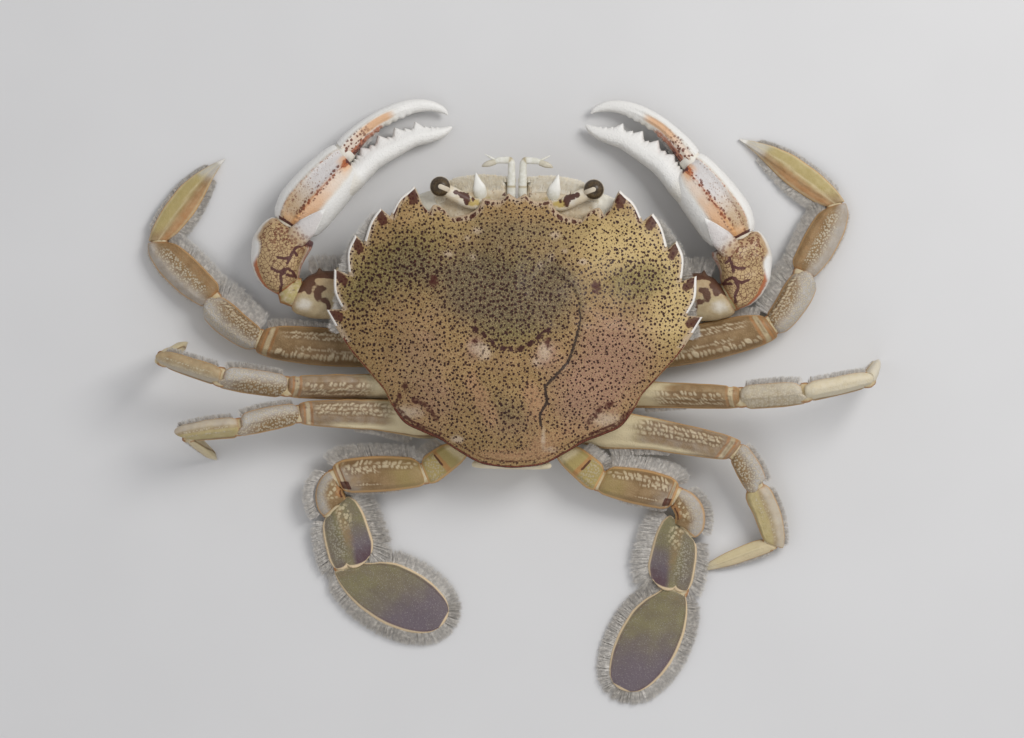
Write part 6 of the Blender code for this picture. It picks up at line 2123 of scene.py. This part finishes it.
@dataclass
class Leg:
    """Shared ways of the walking and the swimming legs."""

    piece_names: ClassVar[tuple[str, ...]] = ("merus", "carpus", "propodus", "dactyl")
    plates: ClassVar[tuple[str, ...]] = ()

    side: Side
    number: int
    root_height: float
    fringes: tuple = ()
    rings_along: int = 84
    rings_round: int = 56
    length: float = 0.0
    width: float = 0.0

    @property
    def name(self) -> str:
        """Name of the leg as its nodes start."""
        return f"{self.side.word}_leg_{self.number}"

    @property
    def is_bleached(self) -> bool:
        """Whether this is the leg painted paler, as painted light for the stronger light on the right side.
        """
        return self.number == 3 and self.side is Side.RIGHT

    def build(self) -> None:
        """Build the leg's pieces, joints and hair."""
        pieces = limb_pieces(self.name, self.piece_names, self.root_height)
        for part_name, piece in pieces.items():
            plate = part_name in self.plates
            finish_piece(f"{self.name}_{part_name}_shell", self.skin(piece, part_name),
                         PADDLE_FINISH if plate else LEG_FINISH,
                         [f"{self.name}_{part_name}"])
        self.joints(pieces)
        self.hair(pieces)

    def skin(self, piece: LimbPiece, part_name: str) -> Skin:
        """Give one piece's skin."""
        return self.shape(piece, part_name)

    def shape(self, piece: LimbPiece, part_name: str) -> Skin:
        """Shape and mark one piece.

        Args:
            piece: The limb piece.
            part_name: Its name within the limb.

        Returns:
            The skin.
        """
        finer = 2 if self.bean_rows(part_name) else 1
        t = eased(self.rings_along * finer)
        self.length = piece.length
        self.width = max(row[1] + row[2] for row in piece.stations)
        points, part, rise = piece.rings(t, self.rings_round + 24 * (finer - 1), *self.section(part_name))
        t = t[:, None] * np.ones_like(part)
        lift = self.relief(part_name, t, part) * step(0.0, 0.5, np.abs(rise)) * np.sign(rise)
        points = points + piece.up * lift[..., None]
        points = self.extend(part_name, piece, points, t, part)
        seen, height = piece.seen(points)
        upper = step(-0.25, 0.15, height)
        points = points + piece.up * (0.10 * ripple(points, 5.0, self.number) * upper)[..., None]
        masks = self.marks(part_name, t, seen, height, upper)
        if "beans" in masks:
            points[..., 2] += 0.13 * masks["beans"] - 0.05 * masks["gaps"]
        return Skin.from_rings(points, masks)

    def bean_rows(self, part_name: str) -> tuple:
        """Give the rows of beans of one piece, as the function beans takes them."""
        return {
            (2, "merus"): ((0.64, 0.10, 1.30, 0.5, 0.36, 0.86), (0.40, 0.09, 1.20, 0.5, 0.46, 0.84),
                           (-0.56, 0.20, 1.30, 0.3, 0.10, 0.90), (-0.20, 0.10, 1.15, 0.5, 0.30, 0.74)),
            (2, "carpus"): ((0.66, 0.11, 1.20, 0.5, 0.08, 0.86), (0.42, 0.09, 1.10, 0.5, 0.10, 0.70)),
            (3, "merus"): ((0.12, 0.17, 1.60, 0.3, 0.37, 0.87), (-0.28, 0.12, 1.20, 0.6, 0.36, 0.88),
                           (-0.58, 0.12, 1.15, 0.6, 0.38, 0.88)),
            (4, "merus"): ((0.62, 0.12, 1.30, 0.5, 0.28, 0.87), (0.34, 0.13, 1.40, 0.5, 0.26, 0.88),
                           (0.06, 0.12, 1.25, 0.5, 0.32, 0.88)),
            (5, "merus"): ((0.64, 0.14, 1.60, 0.4, 0.05, 0.86), (0.38, 0.12, 1.45, 0.4, 0.10, 0.88),
                           (0.16, 0.07, 1.30, 0.3, 0.50, 0.88),
                           (-0.55, 0.05, 0.85, 0.2, 0.52, 0.80)),
        }.get((self.number, part_name), ())

    def extend(self, part_name: str, piece: LimbPiece, points: Array, t: Array,
               part: Array) -> Array:
        """Draw a carpus's far end out into a rounded lobe; another piece stays as it is."""
        if part_name != "carpus":
            return points
        lobe = np.sqrt(clamp(1 - ((part + 0.25) / 0.75) ** 2)) - 0.35
        reach = 1.5 * lobe * step(0.70, 1.0, t) ** 1.5
        return points + piece.along * reach[..., None] + piece.up * (0.25 * step(0.85, 1.0, t))[..., None]

    def section(self, part_name: str) -> tuple:
        """Give the squareness of a piece's section and the length of its rounded ends."""
        return {"dactyl": (2.1, 0.6), "carpus": (2.2, 1.4)}.get(part_name, (2.3, 0.9))

    def relief(self, part_name: str, t: Array, part: Array) -> Array:
        """Give the height of a piece's long ridges and grooves."""
        if part_name == "dactyl":
            return 0.35 * band(part, 0.0, 0.05, 0.16) * step(0.05, 0.15, t) * step(1.0, 0.8, t)
        keel = 0.22 * band(np.abs(part), 0.60, 0.05, 0.14) * step(0.04, 0.15, t) * step(1.0, 0.88, t)
        if part_name == "merus":
            keel = keel - 0.45 * band(t, 0.925, 0.006, 0.018) * band(part, 0.2, 0.5, 0.2)
        return keel

    def marks(self, part_name: str, t: Array, seen: Array, height: Array,
              upper: Array) -> Masks:
        """Lay out a piece's markings as masks.

        Args:
            part_name: The piece.
            t: Shares along it.
            seen: Shares across it as seen from above.
            height: Shares of its height.
            upper: Where the upper side is.

        Returns:
            Masks by name.
        """
        rim = step(0.90, 0.95, np.abs(seen)) * step(-0.6, -0.2, height)
        if self.number == 5:
            to_rim = np.minimum((1 - np.abs(seen)) * self.width / 2, (1 - t) * self.length)
            rim = step(0.75, 0.50, to_rim) * step(-0.6, -0.2, height)
        masks = {
            "rim": rim, "granules": upper,
            "warm": upper * 0.5 * (step(0.05, 0.0, t) + step(0.95, 1.0, t)),
            "pale": 0.85 * step(-0.1, -0.6, height),
        }
        getattr(self, f"mark_{part_name}")(masks, t, seen, upper)
        # Painted light: the right third leg is whitened and made paler, less blue and less warm, for the
        # stronger light on that side
        if self.is_bleached:
            share = PAINTED_LIGHT_WHITENING.get(part_name, 0.0)
            masks["white"] = masks.get("white", 0.0) + upper * share
            masks["pale"] += upper * share * 1.3
            masks["blue"] = masks["blue"] * 0.6
            masks["warm"] = masks["warm"] * 0.5
        rows = self.bean_rows(part_name)
        if rows:
            spots, ground = beans(t, seen, self.length, rows)
            masks |= {"beans": upper * spots, "gaps": upper * (ground - spots)}
        return {name: clamp(value) for name, value in masks.items()}

    def mark_merus(self, masks: Masks, t: Array, seen: Array, upper: Array) -> None:
        """Mark a merus: rows of pale beans, cream next to the body."""
        cream = {2: (0.34, 0.12), 3: (0.52, 0.28), 4: (0.42, 0.20)}.get(self.number, (0.02, 0.0))
        collar = band(t, 0.938, 0.010, 0.014)
        sides = step(0.70, 0.95, np.abs(seen)) * step(0.65, 0.35, t) * (self.number in (3, 4))
        masks["pale"] += upper * (step(*cream, t) + 0.50 * collar + 0.7 * sides)
        masks["olive"] = upper * 0.45 * step(0.6, 0.2, t)
        if self.number > 2:
            # Painted light: the right third leg's merus gets no blue, for the stronger light on that side
            masks["blue"] = (0.0 if self.is_bleached else 0.30) * upper
        if self.number == 4:
            masks["pale"] += 0.8 * upper * step(-0.35, -0.80, seen) * step(0.95, 0.6, t)
        # Painted light: the right third leg's merus is made paler and warmer, for the stronger light on that
        # side
        if self.is_bleached:
            masks["pale"] += 0.22 * upper
            masks["warm"] += 0.42 * upper
        masks["warm"] += 0.60 * upper * (band(t, 0.910, 0.005, 0.012) + band(t, 0.964, 0.004, 0.010))
        masks["dark"] = 0.45 * upper * band(t, 0.95, 0.015, 0.02) * band(seen, 0.55, 0.12, 0.1)

    def mark_carpus(self, masks: Masks, t: Array, seen: Array, upper: Array) -> None:
        """Mark a carpus: finely beaded, bluish on its front half."""
        away = -seen if self.number == 2 else seen
        masks["blue"] = upper * clamp(0.75 * step(-0.5, 0.6, away) + 0.5 * step(0.55, 0.95, t))
        masks["beads"] = upper * step(0.97, 0.80, np.abs(seen)) * 0.85

    def mark_propodus(self, masks: Masks, t: Array, seen: Array, upper: Array) -> None:
        """Mark a propodus: a beaded row, with a smooth tan strip beside it."""
        rows = band(seen, 0.12, 0.03, 0.09) + band(seen, -0.30, 0.03, 0.09)
        if self.number == 2:
            rows = 0.9 * band(seen, -0.05, 0.30, 0.20)
        masks["beads"] = upper * rows * step(0.05, 0.2, t) * step(0.95, 0.8, t)
        masks["blue"] = upper * 0.6 * step(0.3, -0.6, seen)
        masks["warm"] += 0.25 * upper * band(seen, 0.6, 0.2, 0.2)
        if self.number == 4:
            masks["olive"] = 0.9 * upper * band(seen, -0.45, 0.3, 0.3)
            masks["blue"] = upper * 0.7 * step(0.0, 0.5, seen)
        if self.number != 2:
            masks["pale"] += upper * 0.40

    def mark_dactyl(self, masks: Masks, t: Array, seen: Array, upper: Array) -> None:
        """Mark a dactyl: yellow-green outside, orange-brown inside, with a pale tip."""
        ridge = 0.02 - 0.10 * t
        masks["olive"] = upper * step(0.75, -0.45, seen - ridge) * step(-0.05, 0.25, t)
        masks["warm"] = upper * step(-0.35, 0.75, seen - ridge) * step(0.95, 0.35, t) * 0.85
        masks["pale"] += (0.30 * band(seen, ridge, 0.01, 0.14) * upper
                         + upper * (0.25 + 0.40 * step(0.70, 0.95, np.abs(seen))))
        masks["blue"] = upper * step(0.66, 0.86, t)
        masks["white"] = step(0.88, 0.98, t) + upper * 0.5 * step(0.9, 1.0, np.abs(seen)) * step(0.5, 0.8, t)
        masks["granules"] = upper * 0.35
        if self.number != 2:
            masks["pale"] += upper * 0.55
            masks["warm"] = masks["warm"] * 0.5

    def joints(self, pieces: dict[str, LimbPiece]) -> None:
        """Build the soft skin inside each joint of the leg."""
        row = list(pieces.values())
        skins = []
        for before, after in zip(row, row[1:]):
            wide = (before.stations[-1][1] + before.stations[-1][2]) / 2 * 0.94
            thick = min(before.stations[-1][3], after.stations[0][3]) * 0.90
            skins.append(joint_skin((before.end + after.start) / 2, before.along, after.along, wide, thick))
        finish_piece(f"{self.name}_joint_skin", Skin.join(skins), SKIN_FINISH)

    def hair(self, pieces: dict[str, LimbPiece]) -> None:
        """Grow the leg's fringes."""
        roots = Roots()
        for row, (part_name, front, span, lengths, density, lean) in enumerate(self.fringes):
            fringe(roots, pieces[part_name], row, len(self.fringes) + 2, front, span, lengths, density, lean)
        self.more_hair(roots, pieces)
        HAIR.grow(f"{self.name}_hair", roots, Slot.LEG)

    def more_hair(self, roots: Roots, pieces: dict[str, LimbPiece]) -> None:
        """Grow hair that the plain fringes leave out; a walking leg has none."""


@dataclass
class WalkingLeg(Leg):
    """One walking leg of four pieces."""

    def skin(self, piece: LimbPiece, part_name: str) -> Skin:
        """Give one piece's skin, the merus flared first."""
        if part_name == "merus":
            piece.stations = self.flared(piece.stations)
        return self.shape(piece, part_name)

    def flared(self, stations: list[Station]) -> list[Station]:
        """Widen a merus towards the body, where pale skin joins the legs beside the shell's edge."""
        reach, front, rear = FLARES[self.number]
        places = np.linspace(0.0, 1.0, 25)
        sizes = follow(stations, places)
        near = clamp(1 - places / reach) ** 1.3
        sizes[:, 0] *= 1 + (front - 1) * near
        sizes[:, 1] *= 1 + (rear - 1) * near
        return [(place, *row) for place, row in zip(places, sizes)]


@dataclass
class SwimmingLeg(Leg):
    """One swimming leg, out to its paddle."""

    piece_names: ClassVar[tuple[str, ...]] = ("base", "merus", "carpus", "propodus", "paddle")
    plates: ClassVar[tuple[str, ...]] = ("propodus", "paddle")

    def section(self, part_name: str) -> tuple:
        """Give the section of a piece; the two outer ones are plates."""
        if part_name == "paddle":
            return 2.0, 0.5, self.plate
        if part_name == "propodus":
            return 2.2, 0.9, self.plate
        return 2.35, 1.4

    @staticmethod
    def plate(part: Array) -> Array:
        """Thin a plate between its middle and its beaded rim."""
        side = np.abs(part)
        return 0.80 + 0.20 * np.exp(-(side / 0.35) ** 2) + 0.45 * band(side, 0.93, 0.02, 0.06)

    def relief(self, part_name: str, t: Array, part: Array) -> Array:
        """Give the height of a piece's ridges; the plates have a low one in the middle."""
        if part_name == "propodus":
            groove = band(part, 0.12, 0.03, 0.12) * step(0.45, 0.8, t)
            return 0.25 * band(part, -0.05, 0.05, 0.30) * step(0.0, 0.1, t) * step(0.8, 0.5, t) - 0.3 * groove
        if part_name == "paddle":
            return 0.15 * band(part, 0.0, 0.05, 0.40) * step(0.0, 0.1, t) * step(0.95, 0.6, t)
        return super().relief(part_name, t, part)

    def extend(self, part_name: str, piece: LimbPiece, points: Array, t: Array,
               part: Array) -> Array:
        """Scallop the propodus's end into two rounded lobes that lap over the paddle's root."""
        if part_name != "propodus":
            return points
        lobe = np.sqrt(clamp(1 - ((part + 0.42) / 0.54) ** 2)) * 1.7
        lobe = np.maximum(lobe, np.sqrt(clamp(1 - ((part - 0.56) / 0.44) ** 2)) * 1.0)
        reach = (lobe - 0.5) * step(0.75, 1.0, t) ** 1.5
        lift = 0.5 * step(0.85, 1.0, t)
        return points + piece.along * reach[..., None] + piece.up * lift[..., None]

    def mark_base(self, masks: Masks, t: Array, seen: Array, upper: Array) -> None:
        """Mark the base: yellowish, with a maroon-edged orange bar across it."""
        masks["olive"] = upper * 0.8
        masks["beads"] = upper * 0.5 * band(t, 0.75, 0.12, 0.1)
        masks["warm"] = upper * (0.8 * band(t, 0.52, 0.03, 0.05) + step(0.94, 1.0, t))
        masks["dark"] = upper * 0.8 * band(t, 0.56, 0.012, 0.03) * band(seen, 0.2, 0.4, 0.2)
        masks["pale"] += upper * step(0.35, 0.1, t)

    def mark_merus(self, masks: Masks, t: Array, seen: Array, upper: Array) -> None:
        """Mark the merus: beans along its front, a maroon blot at its far rear corner."""
        super().mark_merus(masks, t, seen, upper)
        masks["dark"] = upper * band(t, 0.93, 0.04, 0.03) * band(seen, -0.55, 0.20, 0.12)
        masks["blue"] = upper * 0.4 * step(0.5, 0.9, t) * step(0.9, 0.4, seen)

    def mark_carpus(self, masks: Masks, t: Array, seen: Array, upper: Array) -> None:
        """Mark the bent carpus: grey-tan with a brown inner corner full of cream beans."""
        inner = step(0.35, -0.2, seen) * step(0.75, 0.5, t)
        masks["blue"] = upper * 0.7 * step(-0.2, 0.5, seen)
        masks["beads"] = upper * 0.6 * step(0.9, 0.7, np.abs(seen)) * step(-0.1, 0.3, seen)
        masks["net"] = upper * 0.9 * inner * step(-0.75, -0.4, seen) * step(0.02, 0.15, t)
        masks["warm"] = upper * 0.8 * step(-0.3, -0.7, seen) * step(0.8, 0.4, t)
        masks["dark"] = upper * 0.8 * step(-0.62, -0.85, seen) * band(t, 0.40, 0.22, 0.1)

    def mark_propodus(self, masks: Masks, t: Array, seen: Array, upper: Array) -> None:
        """Mark the plate-like propodus: violet inner lobe, pale grains on the outer one."""
        inner = step(0.10, -0.25, seen)
        masks.update({
            "top": np.ones_like(t),
            "violet": 0.85 * inner * step(0.25, 0.80, t) + 0.35 * step(0.2, 0.5, seen),
            "dark": 0.85 * (inner * step(0.62, 1.0, t) + 0.5 * step(0.2, 0.4, seen) * step(0.8, 1.0, t)),
            "warm": 0.55 * band(seen, -0.02, 0.10, 0.25) * step(0.98, 0.5, t),
            "net": 0.9 * band(seen, -0.20 + 0.1 * t, 0.20, 0.16) * step(0.50, 0.25, t) * step(0.0, 0.08, t),
            "beads": 0.6 * band(seen, 0.42, 0.20, 0.2) * band(t, 0.5, 0.25, 0.2),
            "pale": 0.8 * step(0.04, 0.0, t),
        })

    def mark_paddle(self, masks: Masks, t: Array, seen: Array, upper: Array) -> None:
        """Mark the paddle: olive near its root, violet beyond, with a cream rim line."""
        masks.update({
            "top": np.ones_like(t), "violet": 0.9 * step(0.10, 0.90, t + 0.16 * seen),
            "dark": (0.45 * band(np.abs(seen), 0.88, 0.02, 0.06)
                     + 0.3 * step(0.75, 1.0, t) * step(0.3, 0.9, seen)),
            "warm": 0.3 * step(0.2, 0.0, t), "pale": 0.6 * step(0.05, 0.0, t),
        })

    def skin(self, piece: LimbPiece, part_name: str) -> Skin:
        """Give one piece's skin; the carpus is bent."""
        return self.carpus_skin() if part_name == "carpus" else self.shape(piece, part_name)

    def carpus_path(self, t: Array) -> Array:
        """Give the middle of the bent carpus at shares along it."""
        pose = POSES[self.name]
        first, last = (unit(np.array([*pose.faces[k], 0.0])) for k in (2, 3))
        start = np.array(pose.joints[2]) + first * GAP / 2
        end = np.array(pose.joints[3]) - last * GAP / 2
        control = ((start + first * 4.4) + (end - last * 3.4)) / 2
        t = t[:, None]
        return start * (1 - t) ** 2 + control * 2 * t * (1 - t) + end * t ** 2

    def carpus_skin(self) -> Skin:
        """Build the short carpus, bent through a right angle."""
        pose = POSES[self.name]
        first, last = (unit(np.array([*pose.faces[k], 0.0])) for k in (2, 3))
        t = eased(70)
        sizes = follow(STATIONS["leg_5_carpus"], t)
        draw = (0.62 + 0.38 * rounded(np.minimum(t, 1 - t) * 11.0))[:, None]
        points, part, rise = sweep_rings(self.carpus_path(t), sizes[:, [1, 0]] * draw,
                                         sizes[:, 2] * draw[:, 0], self.rings_round, 2.4, (first, last))
        t = t[:, None] * np.ones_like(part)
        upper = step(-0.15, 0.25, rise)
        outer = part if self.side is Side.LEFT else -part
        return Skin.from_rings(points, self.marks("carpus", t, outer, rise, upper))

    def more_hair(self, roots: Roots, pieces: dict[str, LimbPiece]) -> None:
        """Grow the fringe round the outside of the bent carpus and all round the paddle."""
        t = np.linspace(0.05, 0.95, 30)
        path = self.carpus_path(t)
        heading = unit(np.gradient(path, axis=0))
        out = np.stack([heading[:, 1], -heading[:, 0], np.zeros(len(t))], 1)
        middle = (pieces["merus"].start + pieces["propodus"].end) / 2
        out *= np.sign(((path - middle) * out).sum(1))[:, None]
        wide = follow(STATIONS["leg_5_carpus"], t)[:, 0]
        rows = len(self.fringes) + 2
        roots.add(path + out * wide[:, None], out, (2.4, 2.6), 60.0, rows - 1, rows, 0.25)
        paddle = pieces["paddle"]
        t = 1.0 - (1.0 - np.linspace(0.01, 1.0, 60)) ** 1.6
        line = np.concatenate([paddle.edge(t, True), paddle.edge(t[::-1], False)])
        out = outward_of(line, paddle.middle())
        roots.add(line, out, (3.4, 3.4), 66.0, rows - 2, rows, 0.08, *FRINGE_DEPTH)


# Fringes: (piece, front edge, span, lengths at both ends, hairs on a millimetre, lean)
WALKING_FRINGES = {
    2: (("merus", True, (0.50, 0.97), (1.0, 2.4), 50.0, 0.2),
        ("carpus", True, (0.05, 0.98), (4.2, 5.4), 66.0, 0.2),
        ("propodus", True, (0.02, 0.98), (2.9, 3.3), 62.0, 0.35),
        ("propodus", False, (0.10, 0.92), (0.5, 0.6), 20.0, 0.4),
        ("dactyl", True, (0.02, 0.76), (3.2, 1.5), 62.0, 0.4),
        ("dactyl", False, (0.08, 0.85), (1.2, 1.1), 44.0, 0.4)),
    3: (("carpus", True, (0.06, 0.96), (1.5, 1.7), 40.0, 0.3),
        ("propodus", True, (0.05, 0.95), (1.6, 1.5), 40.0, 0.3),
        ("merus", False, (0.30, 0.60), (1.6, 0.6), 36.0, 0.3),
        ("dactyl", True, (0.05, 0.80), (0.9, 0.6), 30.0, 0.3)),
    4: (("carpus", True, (0.06, 0.96), (1.3, 1.5), 36.0, 0.3),
        ("propodus", True, (0.05, 0.95), (1.3, 1.3), 36.0, 0.3),
        ("merus", False, (0.20, 0.60), (2.4, 0.8), 40.0, 0.3),
        ("dactyl", True, (0.05, 0.80), (0.9, 0.6), 30.0, 0.3)),
}
SWIMMING_FRINGES = (
    ("base", True, (0.25, 0.98), (2.6, 3.0), 50.0, 0.2),
    ("merus", True, (0.04, 0.98), (3.2, 4.2), 62.0, 0.3),
    ("merus", False, (0.30, 0.95), (0.6, 0.8), 24.0, 0.3),
    ("propodus", True, (0.03, 0.98), (3.4, 3.8), 66.0, 0.3),
    ("propodus", False, (0.04, 0.98), (4.8, 4.9), 70.0, 0.3),
)


# The studio

@dataclass
class Studio:
    """Pale floor, soft lights and a camera that looks straight down."""

    picture_width: float = 273.07
    distance: float = 1500.0
    sensor: float = 36.0
    aim: tuple[float, float] = (0.4, 10.4)
    roll: float = 181.1
    aim_height: float = 12.0
    floor_half: float = 3.0
    sky: tuple[float, float, float, float] = (0.93, 0.95, 1.0, 1.0)
    sky_strength: float = 0.50
    # Name, place, side and power of each light
    lights: tuple = (("key", (-400.0, -330.0, 560.0), 340.0, 3.3),
                     ("fill", (380.0, 40.0, 600.0), 520.0, 0.45),
                     ("rear", (-60.0, 520.0, 420.0), 460.0, 0.5))

    def build(self) -> None:
        """Build the floor, the lights and the camera."""
        self.floor()
        for light in self.lights:
            self.light(*light)
        world = bpy.data.worlds.new("studio")
        world.use_nodes = True
        backdrop = world.node_tree.nodes["Background"]
        backdrop.inputs["Color"].default_value = self.sky
        backdrop.inputs["Strength"].default_value = self.sky_strength
        scene = bpy.context.scene
        scene.world = world
        scene.view_settings.view_transform = "Standard"
        self.camera()

    def floor(self) -> None:
        """Lay a wide plain floor."""
        half = self.floor_half
        mesh = bpy.data.meshes.new("floor")
        mesh.from_pydata([(-half, -half, 0), (half, -half, 0), (half, half, 0), (-half, half, 0)], [],
                         [(0, 1, 2, 3)])
        shader = Shader("floor_pale")
        tone = shader.mix(shader.noise(40.0, 2.0), (0.62, 0.61, 0.60), (0.66, 0.65, 0.64))
        shader.tree.links.new(tone, shader.surface.inputs["Base Color"])
        shader.surface.inputs["Roughness"].default_value = 0.75
        mesh.materials.append(shader.material)
        floor = bpy.data.objects.new("floor", mesh)
        bpy.context.scene.collection.objects.link(floor)

    def light(self, name: str, place: tuple[float, float, float], size: float, power: float) -> None:
        """Hang one square soft light that faces the crab.

        Args:
            name: The light's name.
            place: Where it hangs, in millimetres.
            size: Length of its side, in millimetres.
            power: Its power in watts.
        """
        lamp = bpy.data.lights.new(name, "AREA")
        lamp.size = size * MM
        lamp.energy = power
        made = bpy.data.objects.new(name, lamp)
        made.location = Vector(place) * MM
        made.rotation_euler = Vector(place).to_track_quat("Z", "Y").to_euler()
        bpy.context.scene.collection.objects.link(made)

    def camera(self) -> None:
        """Set the camera over the crab, its front towards the top of the picture."""
        lens = bpy.data.cameras.new("camera")
        lens.sensor_width = self.sensor
        lens.lens = self.sensor * self.distance / self.picture_width
        lens.clip_end = 10.0
        made = bpy.data.objects.new("camera", lens)
        made.location = (self.aim[0] * MM, self.aim[1] * MM, (self.distance + self.aim_height) * MM)
        made.rotation_euler = (0.0, 0.0, math.radians(self.roll))
        bpy.context.scene.collection.objects.link(made)
        bpy.context.scene.camera = made


CLAW_LIMBS = (
    ClawLimb(Side.LEFT, Hand(Side.LEFT, (60.3, -27.6), (18.9, -57.0)), -8.6,
             (58.6, -8.2), (0.93, -0.36), (60.9, -9.8), (0.6, -0.8)),
    ClawLimb(Side.RIGHT, Hand(Side.RIGHT, (-59.2, -26.6), (-18.3, -58.9)), -9.4,
             (-57.2, -9.7), (-0.86, -0.50), (-57.2, -9.7), (-0.86, -0.50)),
)


# Height at which each leg leaves the side wall
ROOT_HEIGHTS = {2: 6.6, 3: 7.4, 4: 7.4, 5: 8.6}


def main() -> None:
    """Build the crab part by part, then the studio."""
    Carapace().build()
    Underside().build()
    for side in Side:
        Face().build(side)
    for limb in CLAW_LIMBS:
        limb.build()
    for side in Side:
        for number, fringes in WALKING_FRINGES.items():
            WalkingLeg(side, number, ROOT_HEIGHTS[number], fringes).build()
        SwimmingLeg(side, 5, ROOT_HEIGHTS[5], SWIMMING_FRINGES).build()
    Studio().build()


if __name__ == "__main__":
    main()
